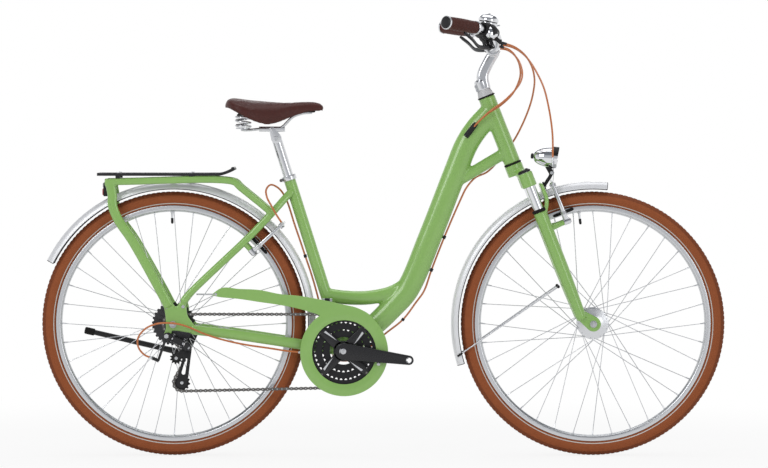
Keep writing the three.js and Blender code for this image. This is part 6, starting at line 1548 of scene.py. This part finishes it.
# %% Housings with shifters, and levers
pivot_share, axis_shares = np.array([0.075, 0.613, 0.03]), np.array([0.776, 0.528, 0.342])
lever_shares = [[0.18, 0.68, 0.0], [0.33, 0.8, 0.04], [0.47, 0.93, 0.33], [0.62, 1.0, 0.58]]
lever_wall, ear_wall = 7.0, 4.0
for name, side in NAMED_SIDES:
    axis = unit(axis_shares * [1, side, 1])
    pivot = bar_point(pivot_share, side)
    ring_place, ring_way = bar_at(0.5, side)
    cable_place = bar_middle + [16.6, side * 172, 13]
    near = lever_wall / 2 + 0.3
    housing = [lathed_ring([(11.6, -15), (18, -15), (18, 15), (11.6, 15)], 1.6, ring_place, ring_way, 44),
               rod(ring_place, cable_place, 5.4, 24),
               rod(cable_place, cable_place + unit(cable_place - ring_place) * 5, 4.0, 24)]
    for way in (-1, 1):
        offset = axis * way * (near + ear_wall / 2)
        housing.append(rod(ring_place + offset, pivot + offset, 2.0, 20, 3.5, 7.0, axis))
        housing.append(rod(pivot + offset - axis * 2, pivot + offset + axis * 2, 7.2, 28))
    pod = ring_place + [10, 0, -8]
    pod_profile = soften([(0, -10), (20.5, -10), (22, -6), (22, 6), (20.5, 10), (0, 10)], 1.6, False)
    housing.append(turned(pod_profile, pod, ring_way, 48))
    housing.append(lathed([(0, 8), (12, 8), (12, 12), (9, 13.5), (0, 14)], 0.8, pod, UP, 36))
    piece(f"housing_{name}", housing, plastic_black, "steerer", f"controls_{name}")
    face = unit(np.array([0.62, side * 0.7, 0.34]))
    dome = lathed([(0, -9), (16.5, -9), (18.0, -6), (18.0, 2), (15, 8), (8, 11), (0, 12)], 1.6,
                  pod + [6, side * 6, 0], face, 44)
    pin = turned([(0, -near - ear_wall - 1), (3.4, -near - ear_wall - 1), (3.4, near + ear_wall + 1),
                  (0, near + ear_wall + 1)], pivot, axis, 24)
    piece(f"shifter_dome_{name}", [dome, pin], chrome, "steerer")
    paddle = sweep(curve([pod + [6, -side * 4, -14], pod + [16, -side * 10, -20],
                          pod + [30, -side * 17, -20]], 16),
                   oval(np.linspace(7.5, 6.0, 16), np.linspace(3.0, 2.2, 16), 20, 3.0), LEFT)
    piece(f"shifter_paddle_{name}", [paddle], anodised_black, "steerer")
    points = np.array([bar_point(share, side) for share in lever_shares])
    lead = points[0] - pivot
    start = pivot + unit(lead - axis * (lead @ axis)) * 13.2
    line = curve(np.vstack([pivot[None], start[None], points]), 60)
    share = np.linspace(0, 1, 60)
    wide = np.interp(share, [0, 0.15, 0.6, 0.93, 1], [6.0, 6.2, 5.2, 5.0, 3.4])
    lever = [sweep(line, oval(np.full(60, 3.0), wide, 24, 2.8), axis),
             rod(pivot - axis * 3.5, pivot + axis * 3.5, 6.2, 28)]
    piece(f"lever_blade_{name}", lever, anodised_black, f"brake_lever_{name}", f"brake_lever_{name}")

# %% Bell: a clamp, a foot, a cup and a bright dome over it
ring_place, ring_way = bar_at(0.38, RIGHT_SIDE)
bell = Axes(ring_place + [-15, 0, 17], 9.0)
clamp = lathed_ring([(11.6, -6), (16, -6), (16, 6), (11.6, 6)], 1.0, ring_place, ring_way, 40)
piece("bell_clamp", [clamp, rod(ring_place, bell.at(0, 0, 6), 6.0, 24)], plastic_black, "steerer")
cup = soften([(0, 0), (20, 0), (25, 3), (25.4, 11), (22, 11.6), (22, 9), (0, 7)], 1.2, False)
band = soften([(20, 9), (24, 9), (24, 15), (20, 15)], 0.6)
dome = soften([(24, 13.4), (26.4, 13), (26.8, 17), (25.6, 23), (20, 29), (11, 32.4), (4, 33.2), (0, 33.2)],
              1.4, False)
under = [(0, 31.6), (11, 30.8), (18.6, 27.2), (23.6, 22), (24, 13.4)]
piece("bell_dome", [turned(cup, bell.place, bell.upward, 56),
                    turned(np.vstack([under, dome]), bell.place, bell.upward, 56)],
      chrome, "steerer", "bell")
piece("bell_band", [turned(band, bell.place, bell.upward, 56, closed=True)],
      plastic_black, "steerer")
piece("bell_screw", [turned([(0, 33), (3.4, 33), (3.0, 34.4), (0, 34.8)], bell.place, bell.upward, 24),
                     rod(bell.at(20, 0, 4), bell.at(32, 0, 8), 1.6, 12)], steel_satin, "steerer")

# %% [markdown]
# ## Head lamp
# The lamp is a bright turned shell with a bowl inside, a bulb, a clear glass and a black hood. It stands on
# a bracket that is bolted to the fork's arch, and it tilts about the bracket's bolt.

# %% Lamp shell, bowl, glass, hood and bracket
lamp = Axes(steer.at(115.0, 0, -31.0), 5.0)
lamp_line = np.array([[28, 0], [28.4, 3], [28.3, 10], [27.4, 22], [24.6, 37], [19.6, 50],
                      [12.8, 59.5], [5.6, 64.4]])
outside = np.vstack([curve(lamp_line, 40), [[0, 64.8]]])
bowl = np.array([[0, 34], [6, 33], [14, 26], [21, 15], [24.6, 5], [25.4, 2.4], [26.6, 0.6]])
piece("lamp_shell", [turned(np.vstack([bowl, outside]), lamp.place, -lamp.ahead, 64)],
      chrome, "headlight",
      "headlight")
knob = soften([(0, 62.5), (6.4, 62.5), (7.4, 64.5), (7.0, 68.5), (4, 70), (0, 70)], 0.8, False)
piece("lamp_knob", [turned(knob, lamp.place, -lamp.ahead, 28)], plastic_black, "headlight")
piece("lamp_glass", [turned([(0, -2.6), (10, -2.2), (19, -0.6), (25.2, 2.2), (25.2, 3.4),
                             (18, 1.0), (10, -0.8), (0, -1.2)],
                            lamp.place, -lamp.ahead, 56)], glass, "headlight")
piece("lamp_bulb", [turned([(0, 16), (3, 16.8), (4.6, 20), (4.2, 25), (3, 34), (0, 34)],
                           lamp.place, -lamp.ahead, 24)],
      reflector_silver, "headlight")
hood_turn = np.radians(np.linspace(-78, 78, 40))[:, None]
hood_radii = np.array([[28.3, 29.6, 29.8, 28.5]])
hood_reach = np.array([[0.0, 0.0, -14.0, -14.0]]) + np.array([[4.0, 4.0, 0, 0]]) * np.cos(hood_turn)
hood_grid = np.stack([hood_reach, hood_radii * np.sin(hood_turn), hood_radii * np.cos(hood_turn)], -1)
piece("lamp_hood", [lamp.carry(skin(hood_grid, loop_columns=True))], plastic_black,
      "headlight", crease=50)
lamp_pivot = steer.at(87.0, 0, -62.0)
lug_top = steer.at(83.5, 0, -36.0)
piece("lamp_foot", [rod(lamp_pivot - LEFT * 3.5, lamp_pivot + LEFT * 3.5, 7.0, 32),
                    sweep([lamp_pivot, lug_top], oval(3.5, 7.0, 24, 3.0), LEFT)],
                    plastic_black, "headlight")
bracket_foot = steer.at(54.8, 0, arch_middle)
bracket = [sweep([bracket_foot, bracket_foot + steer.ahead * 4], oval(10.5, 10.5, 28, 5.0), LEFT)]
for way in (-1, 1):
    y = way * 5.8
    strap = curve([steer.at(56.8, y, arch_middle), steer.at(70, y, -77), steer.at(80, y, -70),
                   steer.at(87, y, -62)], 16)
    bracket.append(sweep(strap, oval(2.0, 4.6, 16, 3.0), LEFT))
    bracket.append(rod(steer.at(87, y - 2, -62), steer.at(87, y + 2, -62), 7.0, 32))
piece("lamp_bracket", bracket, plastic_black, "lowers", "headlight_bracket")
piece("lamp_bolts", [turned([(0, -9.5), (3.8, -9.5), (4.4, -8.9), (4.4, -7.6), (2.5, -7.6), (2.5, 7.6),
                             (4.4, 7.6), (4.4, 9.5), (0, 9.5)],
                            lamp_pivot, LEFT, 24),
                     turned([(0, 3), (5.4, 3), (5.4, 6.0), (4.4, 7.0), (0, 7.0)],
                            bracket_foot, steer.ahead, 6)],
      steel_satin, "lowers")

# %% [markdown]
# ## Rim brakes and the stand
# Each brake is a pair of alloy arms on short posts. A cable comes down to the right arm, bends through a
# bright guide tube, and its wire pulls the tops together, so that two rubber pads close on the rim. The
# stand is a black leg on a plate outside the left dropout; its pin leans, so the leg swings out as it drops.

# %% Brake arms with pads, nuts, guide tube and wire

def brake_arm(axes, side):
    line = curve([axes.at(0, side * post_out, -3), axes.at(0, side * 44, 49.5),
                  axes.at(0, side * post_out, 110)], 32)
    return [
        sweep(line, oval(np.full(32, 4.0), np.linspace(6.2, 4.2, 32), 24, 3.2), LEFT),
        rod(axes.at(-8, side * post_out, 0), axes.at(8, side * post_out, 0), 8.0, 36),
        rod(axes.at(0, side * 21, 25), axes.at(0, side * 47, 25), 4.0, 20),
        lathed([(0, 22.6), (7.5, 22.6), (7.5, 25.6), (5, 27.4), (0, 27.4)], 0.6,
               axes.at(0, 0, 25), LEFT * side, 28),
    ]


for end, axes, fixed in (("front", front_brake, "lowers"), ("rear", rear_brake, "frame")):
    for name, side in NAMED_SIDES:
        body = f"{end}_brake_arm_{name}"
        piece(f"{end}_arm_{name}", brake_arm(axes, side), alloy_polished, body, body)
        nuts = [turned([(0, 46), (5, 46), (5, 50.5), (4.2, 51.2), (0, 51.2)],
                       axes.at(0, 0, 25), LEFT * side, 6),
                turned([(0, 8), (5.6, 8), (5.6, 10.5), (4.6, 11.4), (2.4, 11.4), (2.4, 9.6), (0, 9.6)],
                       axes.at(0, side * post_out, 0), axes.ahead, 28),
                turned([(0, -6.6), (4.4, -6.6), (4.4, -5), (2, -5), (2, 5), (4.6, 5), (4.6, 8), (0, 8)],
                       axes.at(0, side * post_out, 103), axes.ahead, 20)]
        piece(f"{end}_arm_nuts_{name}", nuts, steel_satin, body)
        share = np.linspace(-1, 1, 25)
        size = 4.4 * (1 - np.abs(share) ** 14 * 0.55)
        pad = sweep(axes.at(0, side * 18.1, 25) + 29.0 * share[:, None] * axes.ahead,
                    oval(size, size, 24, 5.0), LEFT)
        piece(f"{end}_pad_{name}", [pad], rubber_black, body)
    tube_line = curve([axes.at(0, -46, 118), axes.at(0, -45, 112), axes.at(0, -38, 105.5),
                       axes.at(0, -24, 104.5)], 24)
    piece(f"{end}_guide_tube", [sweep(tube_line, oval(2.4, 2.4, 16))], chrome,
          f"{end}_brake_arm_right")
    wire = [rod(axes.at(0, -25, 104.5), axes.at(0, 52, 103), 0.8, 10)]
    piece(f"{end}_brake_wire", wire, steel_satin, f"{end}_brake_arm_right")
    boot = turned([(0, 0), (3.4, 0.4), (3.0, 4), (3.4, 8), (2.6, 13), (2.9, 17), (1.6, 24), (0, 24.4)],
                  axes.at(0, -25, 104.5), LEFT, 20)
    piece(f"{end}_brake_boot", [boot], rubber_black, f"{end}_brake_arm_right")

# %% Stand
stand_plate, stand_wall, stand_lean = 78.25, 6.0, math.radians(10.6)
stand_way = np.array([0, math.cos(stand_lean), math.sin(stand_lean)])
stand_foot = np.array([-427.0, stand_plate + stand_wall, -16.0])
knuckle_start, knuckle_long = 2.62, 17.0
stand_outline = link_outline((-427, -16), 11.0, (-402, 40), 11.0, 72)
knob = [(0, -1), (7, -1), (7, 1.4), (6, 2.4), (3.4, 2.4), (3.4, 0.8), (0, 0.8)]
piece("stand_plate", [plate(stand_outline, stand_plate, stand_plate + stand_wall, 0.9, 2),
                      rod(stand_foot - stand_way * 3,
                          stand_foot + stand_way * (knuckle_start + knuckle_long + 0.3), 5.0, 24)],
      paint_black, "frame", "kickstand_mount")
stand_bolts = [turned(knob, (x, stand_plate + stand_wall, z), LEFT, 28) for x, z in ((-402, 40), (-412, 18))]
piece("stand_bolts", stand_bolts, steel_satin, "frame")
leg_start = stand_foot + stand_way * (knuckle_start + knuckle_long / 2)
leg_line = leg_start + np.linspace(0, 1, 40)[:, None] * np.array([-268.0, 6.0, 62.0])
leg_size = np.interp(np.linspace(0, 1, 40), [0, 0.12, 0.3, 0.9, 1], [9.0, 8.4, 7.6, 7.0, 7.0])
knuckle = soften([(0, knuckle_start), (11, knuckle_start), (11, knuckle_start + knuckle_long),
                  (0, knuckle_start + knuckle_long)], 1.4, False)
piece("stand_leg", [sweep(leg_line, oval(leg_size, leg_size, 28)),
                    turned(knuckle, stand_foot, stand_way, 40)],
      paint_black, "kickstand_leg", "kickstand_leg")
shoe = [(0, 248), (9.4, 249), (9.5, 262), (9.4, 272), (8.2, 275.4), (0, 276)]
piece("stand_shoe", [lathed(shoe, 1.2, leg_start, leg_line[-1] - leg_start, 32)], rubber_black,
      "kickstand_leg")

# %% [markdown]
# ## Seat post and saddle
# The post is a brushed alloy tube. A wide saddle for an upright rider has two rails under it that run from
# the nose to the feet of two coil springs, so the back of it can sink. The leather is stretched over a foam
# pad; air pressure in a cloth simulation gives it that full look, while its lower edge stays held.

# %% Post, rails, clamp and springs
post_head = seat_line.at(0, 0, 590.6)
piece("post_tube", [rod(seat_line.at(0, 0, 360), post_head, 13.6, 44)], seatpost_finish,
      "seatpost", "seatpost")
piece("post_head", [rod(post_head - LEFT * 17, post_head + LEFT * 17, 13.4, 40)],
      alloy_satin, "seatpost")
rail_shares = np.array([
    [-0.86, 0.143, -0.187], [-0.834, 0.127, -0.191], [-0.764, 0.076, -0.188], [-0.707, 0.07, -0.1815],
    [-0.538, 0.064, -0.175], [-0.429, 0.06, -0.08], [-0.35, 0.045, -0.05], [-0.2675, 0.03, -0.043],
])
saddle_back, saddle_base, saddle_wide = 314.0, 645.0, 98.0
skin_back, skin_long, skin_rise = 316.5, 265.0, 27.5
spring_foot, spring_height, spring_radius, spring_wire = 592.0, 30.0, 21.0, 2.8
spring_back, spring_out = -267.0, 46.0
rails, clamp_parts, springs = [], [], []
for side in SIDES:
    rail = rail_shares * saddle_back * [1, side, 1] + [0, 0, saddle_base]
    rails.append(sweep(curve(rail, 60), oval(3.5, 3.5, 18)))
    rails.append(turned([(0, -4), (18, -4), (18, -0.4), (0, -0.4)],
                        (spring_back, side * spring_out, spring_foot), UP, 32))
    cheek = link_outline((post_head[0], post_head[2]), 13.6, (-190, 587.5), 7.0, 60)
    clamp_parts.append(plate(cheek, *sorted((side * 17.6, side * 24.6)), 0.9, 2))
    clamp_parts.append(turned([(0, 24.6), (7, 24.6), (7, 27), (6, 28), (3.2, 28), (3.2, 26), (0, 26)],
                              (post_head[0], 0, post_head[2]), LEFT * side, 6))
    turn = np.linspace(0, 2 * np.pi * 3.5, 150)
    climb = np.interp(turn / (2 * np.pi), [0, 0.4, 2.1, 2.5],
                      [2.8, 4.0, spring_height - 4.0, spring_height - 2.8])
    coil = np.stack([spring_back + (spring_radius - spring_wire) * np.cos(turn),
                     side * (spring_out + (spring_radius - spring_wire) * np.sin(turn)),
                     spring_foot + climb], 1)
    springs.append(sweep(coil, oval(spring_wire, spring_wire, 14), UP))
clamp_block = sweep(np.array([[-224.0, 0, 587.5], [-156.0, 0, 587.5]]), oval(24.0, 7.0, 32, 5.0), LEFT)
piece("rail_wires", rails, steel_satin, "saddle", "saddle_rails")
piece("rail_clamp", clamp_parts + [clamp_block], alloy_satin, "saddle")
piece("spring_coil_right", springs[:1], chrome, "saddle", "saddle_spring_right")
piece("spring_coil_left", springs[1:], chrome, "saddle", "saddle_spring_left")

# %% Saddle skin
saddle_shares = np.array([
    [0, 0.42, 0.2, -0.1], [0.03, 0.7, 0.8, -0.1], [0.08, 0.9, 0.95, -0.3], [0.16, 1, 0.8, -0.7],
    [0.24, 1, 0.64, -1.1], [0.34, 0.88, 0.56, -1.5], [0.44, 0.7, 0.5, -1.69], [0.54, 0.52, 0.48, -1.5],
    [0.64, 0.38, 0.5, -1.1], [0.74, 0.3, 0.56, -0.78], [0.84, 0.25, 0.6, -0.5], [0.92, 0.22, 0.56, -0.42],
    [0.97, 0.19, 0.4, -0.4], [1, 0.13, 0.14, -0.35],
])
crown_shares = np.array([[0, 0.0], [0.3, -0.03], [0.58, -0.12], [0.8, -0.35], [0.95, -0.75]])
skirt_shares = np.array([[1, 0.55], [0.98, 0.2], [0.93, 0.0]])
draw_in = 1.5


def saddle_rows(count, inset):
    """Section rows from back to nose: crown points hang from the top line, skirt points stand on its foot."""
    way = 0.5 - np.cos(np.linspace(0, np.pi, count)) / 2
    spans = np.array([skin_long, saddle_wide, skin_rise, skin_rise])
    line = curve(saddle_shares * spans, 400) / spans
    wide, top, skirt = (np.interp(way, line[:, 0], line[:, k])[:, None] for k in (1, 2, 3))
    wide = wide * saddle_wide - inset
    top, skirt = saddle_base + skin_rise * top, saddle_base + skin_rise * skirt
    top = top - inset
    drop = np.minimum(skin_rise, (top - skirt) / 2)
    y = np.hstack([wide * crown_shares[:, 0], wide * skirt_shares[:, 0], wide * 0.86, wide * 0.5])
    low_top = top - drop
    z = np.hstack([top + drop * crown_shares[:, 1], skirt + (low_top - skirt) * skirt_shares[:, 1],
                   skirt + 2.5, skirt + 4.0])
    y, z = np.hstack([y, -y[:, :0:-1]]), np.hstack([z, z[:, :0:-1]])
    x = -skin_back + inset + way[:, None] * (skin_long - 2 * inset) + 0 * y
    return np.stack([x, y, z], -1)


def swollen(shapes, voxel, held_under, cap):
    """Pressure blows a remeshed skin out for 20 frames; points below a level are held, none moves past
    the cap."""
    points, faces = finished(shapes, [("REMESH", {"mode": "VOXEL", "voxel_size": voxel * METRE}),
                                      ("SMOOTH", {"factor": 0.5, "iterations": 3})])
    cushion = bpy.data.objects.new("cushion", mesh_of("cushion", [(points, faces)]))
    bpy.context.scene.collection.objects.link(cushion)
    before = np.array([v.co for v in cushion.data.vertices]) / METRE
    held = cushion.vertex_groups.new(name="held")
    held.add(np.flatnonzero(before[:, 2] < held_under(before[:, 0])).tolist(), 1.0, "REPLACE")
    cloth = cushion.modifiers.new("cloth", "CLOTH")
    cloth.settings.use_pressure = True
    cloth.settings.uniform_pressure_force = 4.0
    cloth.settings.effector_weights.gravity = 0.0
    cloth.settings.vertex_group_mass = "held"
    for number in range(1, 21):
        bpy.context.scene.frame_set(number)
    blown = cushion.evaluated_get(bpy.context.evaluated_depsgraph_get()).to_mesh()
    after = np.array([v.co for v in blown.vertices]) / METRE
    step = after - before
    far = np.linalg.norm(step, axis=1, keepdims=True)
    print("the skin swelled by up to", round(float(far.max()), 1), "mm")
    after = before + step * np.minimum(1, cap / np.maximum(far, 1e-9))
    flat = np.array([tuple(p.vertices) for p in cushion.data.polygons])
    bpy.context.scene.frame_set(1)
    bpy.data.objects.remove(cushion)
    return after, flat


def skirt_level(x):
    """A little over the lower edge of the skirt at each place along the saddle."""
    way = (np.asarray(x) + skin_back) / skin_long
    return saddle_base + skin_rise * np.interp(way, saddle_shares[:, 0], saddle_shares[:, 3]) + 9.0


saddle_skin = swollen([skin(saddle_rows(60, draw_in))], 4.0, skirt_level, 5.0)
saddle_skin = finished([saddle_skin], [("SUBSURF", {"levels": 1, "render_levels": 1}),
                                       ("SMOOTH", {"factor": 0.5, "iterations": 2})])
saddle_piece = piece("saddle_skin", [saddle_skin], leather, "saddle", "saddle_cover", crease=80)

# %% Spring seats and the nose block
seats = []
for side in SIDES:
    seats.append(lathed([(0, 622.3), (15, 622.3), (16, 625), (12, 629), (12, 641), (0, 641)], 0.8,
                        (spring_back, side * spring_out, 0), UP, 32))
nose_half = 0.03 * saddle_back + 3.5
seats.append(sweep(np.array([[-84.0, -nose_half - 2, 636.5], [-84.0, nose_half + 2, 636.5]]),
                   oval(9.0, 5.0, 24, 4.0), FORWARD))
piece("saddle_seats", seats, plastic_black, "saddle")

# %% [markdown]
# ## Cables
# Orange casings are the brightest accent of this bicycle. Each is a 5 mm casing that runs from a lever or
# a shifter to its brake or changer in one smooth curve. Both ends are held, so they don't hang. The loops
# in front of the head tube are slack for steering; they go on no body and don't bend as the bar turns.

# %% Casings and their ends
front_brake_route = [
    [417, 172, 814], [442, 168, 811], [466, 152, 801], [492, 122, 778], [515, 82, 741], [534, 42, 697],
    [546, 6, 643], [553, -20, 592], [555, -33, 558], [555, -38, 510], [556, -47, 480], [556, -53, 463],
    [555, -51, 449], [554, -45.5, 444],
]
rear_brake_route = [
    [417, -172, 814], [448, -164, 804], [475, -140, 785], [495, -108, 757], [505, -70, 723],
    [504, -28, 689], [495, 8, 648], [475, 32, 597], [453, 37, 556], [420, 34, 512], [383, 18, 474],
    [350, 6, 458], [327, 0, 432], [312, 0, 402], [268, 0, 300], [234, 0, 213], [214, 0, 157],
    [193, 0, 127], [158, 0, 81], [112, 0, 44], [68, 0, 6], [36, 0, -20], [8, 0, -29], [-20, 0, -24],
    [-36, 0, 6], [-48, 0, 50], [-58, 0, 96], [-68, 0, 139], [-84, 0, 196], [-102, 0, 250], [-115, 0, 289],
    [-131, 0, 336], [-147, 0, 387], [-157, 0, 410], [-172, -8, 430], [-193, -26, 440], [-205, -44, 426],
    [-202, -54, 406], [-192, -56, 387], [-178, -57, 362], [-167, -54, 345], [-161, -46, 336],
]
rear_gear_route = [
    [-112, -51, -4], [-150, -54, 0], [-200, -59, 8], [-253, -66, 16], [-297, -71, 25], [-341, -76, 37],
    [-374, -82, 49], [-407, -89, 64], [-436, -93, 73], [-467, -94, 76], [-496, -93, 73], [-522, -92, 61],
    [-540, -90, 41], [-544, -88, 23], [-539, -86, 6], [-524, -84, -10], [-504, -83, -17.5],
]
gear_routes = [
    [[410, -168, 805], [437, -158, 795], [458, -134, 771], [467, -102, 741], [464, -70, 714], [447, -48, 680],
     [417, -37, 651], [383, -34, 629], [356, -31, 605], [342, -28, 590]],
    [[410, 168, 805], [439, 150, 800], [464, 112, 778], [476, 62, 746], [472, 8, 716], [454, -30, 690],
     [423, -44, 660], [387, -41, 634], [359, -36, 608], [344, -30, 592]],
]
casing_radius = 2.5


def casing(name, route, count, body, node=()):
    line = curve(route, count)
    print(name, "is", round(float(np.linalg.norm(np.diff(line, axis=0), axis=1).sum())), "mm long")
    return piece(name, [sweep(line, oval(casing_radius, casing_radius, 16))],
                 cable_orange, body, node)


def bend(thing, first, second, start, end):
    """Bakes the piece's place into its points; first, second, start and end are not used, so the piece
    follows no body and doesn't bend.
    """
    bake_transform(thing)


front_line = curve(front_brake_route, 200)
casing_stop = int(np.argmin(np.abs(front_line[:, 2] - 506)))
front_casing = casing("front_brake_casing", front_line[:casing_stop], 150, None, "front_brake_cable")
bend(front_casing, "steerer", "lowers", (546, 6, 643), (555, -38, 510))
rear_casing = casing("rear_brake_casing", rear_brake_route, 420, None, "rear_brake_cable")
bend(rear_casing, "steerer", "frame", (505, -70, 723), (453, 37, 556))
casing("rear_gear_casing", rear_gear_route, 160, "frame", "rear_gear_cable")
right_casing = casing("gear_casing_right", gear_routes[0], 100, None, "gear_cables")
bend(right_casing, "steerer", "frame", (467, -102, 741), (383, -34, 629))
left_casing = casing("gear_casing_left", gear_routes[1], 120, None)
bend(left_casing, "steerer", "frame", (476, 62, 746), (387, -41, 634))


def sleeve(route, end, length, radius):
    """A small cap on a casing, along its first or last stretch."""
    line = curve(route, 400)
    line = line if end > 0 else line[::-1]
    run = np.concatenate([[0], np.cumsum(np.linalg.norm(np.diff(line, axis=0), axis=1))])
    part = np.stack([np.interp(np.linspace(0, length, 6), run, column) for column in line.T], 1)
    return sweep(part, oval(radius, radius, 18))


lever_ends = [sleeve(route, 1, 12, 3.6) for route in (front_brake_route, rear_brake_route, *gear_routes)]
piece("casing_caps_bar", lever_ends, anodised_black, "steerer")
front_cap = sweep(front_line[casing_stop - 2:casing_stop + 9], oval(3.0, 3.0, 18))
piece("casing_cap_front", [front_cap], alloy_satin, "lowers")
piece("front_cable_wire", [sweep(front_line[casing_stop:], oval(0.9, 0.9, 10))],
      steel_satin, "lowers")
frame_ends = [sleeve(rear_brake_route, -1, 9, 3.2), sleeve(rear_gear_route, 1, 8, 3.2),
              sleeve(rear_gear_route, -1, 9, 3.2)]
piece("casing_caps_frame", frame_ends, alloy_satin, "frame")
port = [sweep(np.array([[352.0, -27.6, 603.0], [340.0, -25.2, 587.6], [325.0, -21.0, 568.0]]),
              oval(np.array([6.4, 7.6, 7.6]), sides=28))]
clips = [rod(np.array(a, float), np.array(b, float), 4.3, 16)
         for a, b in (((270, 0, 304), (266, 0, 296)), ((236, 0, 217), (232, 0, 209)),
                      ((160, 0, 84), (156, 0, 78)),
                      ((-57, 0, 92), (-59, 0, 100)), ((-101, 0, 246), (-103, 0, 254)))]
piece("cable_port", port + clips, plastic_black, "frame")

# %% [markdown]
# ## Light and floor
# A catalogue picture has no colour cast and hardly a shadow: a white room, a wide lamp above, two lamps in
# front and a weak one behind. The ceiling is dark and the wall behind the camera pale grey, so that polished
# metal has something to mirror. The floor is pale and glows, more so further out, until it meets the wall.

# %% World
scene = bpy.context.scene
scene.view_settings.view_transform = "Standard"
world = bpy.data.worlds.new("studio")
scene.world = world
world.use_nodes = True
room = Flow(world.node_tree)
back_light = world.node_tree.nodes["Background"]
wall_grey, wall_white, ceiling_grey = (0.56, 0.57, 0.59), (1.0, 1.0, 1.0), (0.2, 0.21, 0.23)


def eased(value, low, high, first=0.0, last=1.0):
    """A smooth step from first to last while the value goes from low to high."""
    return value.node("ShaderNodeMapRange", {"interpolation_type": "SMOOTHSTEP"},
                      {0: value, 1: low, 2: high, 3: first, 4: last})


def wall_colour(across):
    """Pale grey where Y is least, behind the camera, and white where Y is most, beyond the bicycle."""
    return eased(across, -0.9, 0.2).blend(wall_grey, wall_white)


def seen_rays(flow):
    """1 for camera, glossy and transmission rays: what is seen straight, in a mirror and through glass."""
    kinds = [flow.node("ShaderNodeLightPath", {}, {}, kind)
             for kind in ("Is Camera Ray", "Is Glossy Ray", "Is Transmission Ray")]
    return flow.node("ShaderNodeMath", {"operation": "ADD", "use_clamp": True},
                     {0: kinds[0] + kinds[1], 1: kinds[2]})


direction = room.node("ShaderNodeTexCoord", {}, {}, "Generated")
across, aloft = (direction.node("ShaderNodeSeparateXYZ", {}, {"Vector": direction}, axis) for axis in "YZ")
room_seen = eased(aloft, 0.24, 0.6).blend(wall_colour(across), ceiling_grey)
seen_rays(room).blend((0.5, 0.5, 0.51), room_seen).into(back_light, "Color")
back_light.inputs["Strength"].default_value = 1.0

# %% Lamps
def lamp_at(name, place, aim, size, watts):
    data = bpy.data.lights.new(name, "AREA")
    data.shape, data.size, data.size_y, data.energy = "RECTANGLE", size[0], size[1], watts
    thing = bpy.data.objects.new(name, data)
    bpy.context.scene.collection.objects.link(thing)
    thing.location = place
    thing.rotation_euler = (thing.location - type(thing.location)(aim)).to_track_quat("Z", "Y").to_euler()


lamp_at("softbox above", (0.1, 0.2, 3.2), (0.1, 0, 0.3), (3.6, 2.4), 42)
lamp_at("key lamp", (-2.2, -3.4, 2.2), (0.1, 0, 0.3), (1.6, 2.0), 42)
lamp_at("fill lamp", (2.8, -3.2, 1.2), (0.1, 0, 0.3), (1.4, 2.0), 20)
lamp_at("rim lamp", (0.4, 3.4, 2.0), (0.1, 0, 0.3), (3.0, 1.2), 14)

# %% Floor
floor_level = -280.0
floor_mesh = bpy.data.meshes.new("floor")
reach = 30.0
floor_corners = [(x * reach, y * reach, floor_level * METRE) for x, y in ((-1, -1), (1, -1), (1, 1), (-1, 1))]
floor_mesh.from_pydata(floor_corners, [], [(0, 1, 2, 3)])
floor = bpy.data.objects.new("floor", floor_mesh)
scene.collection.objects.link(floor)
floor_finish = bpy.data.materials.new("pale floor")
floor_finish.use_nodes = True
tree = floor_finish.node_tree
ground = Flow(tree)
spot = ground.node("ShaderNodeTexCoord", {}, {}, "Object")
distance = ground.node("ShaderNodeVectorMath", {"operation": "LENGTH"}, {0: spot}, "Value")
far = eased(distance, 0.9, 2.6, 0.84, 1.0)
across = spot.node("ShaderNodeSeparateXYZ", {}, {"Vector": spot}, "Y") / distance
horizon = eased(distance, 2.0, 12.0).blend(wall_white, wall_colour(across))
glow = ground.node("ShaderNodeEmission", {}, {"Color": horizon, "Strength": 1.0})
matt = tree.nodes["Principled BSDF"]
matt.inputs["Base Color"].default_value = (0.8, 0.8, 0.8, 1)
matt.inputs["Roughness"].default_value = 0.9
matt.inputs["Specular IOR Level"].default_value = 0.1
mixed = ground.node("ShaderNodeMixShader", {}, {0: far * seen_rays(ground),
                                                1: Flow(tree, matt.outputs[0]), 2: glow})
mixed.into(tree.nodes["Material Output"], "Surface")
floor_mesh.materials.append(floor_finish)

# %% [markdown]
# ## Piece count
# The script ends by printing how many pieces it made and how many faces they have.

# %% Count the pieces and faces
print("pieces:", len(made), "faces:", sum(len(thing.data.polygons) for thing in made.values()))
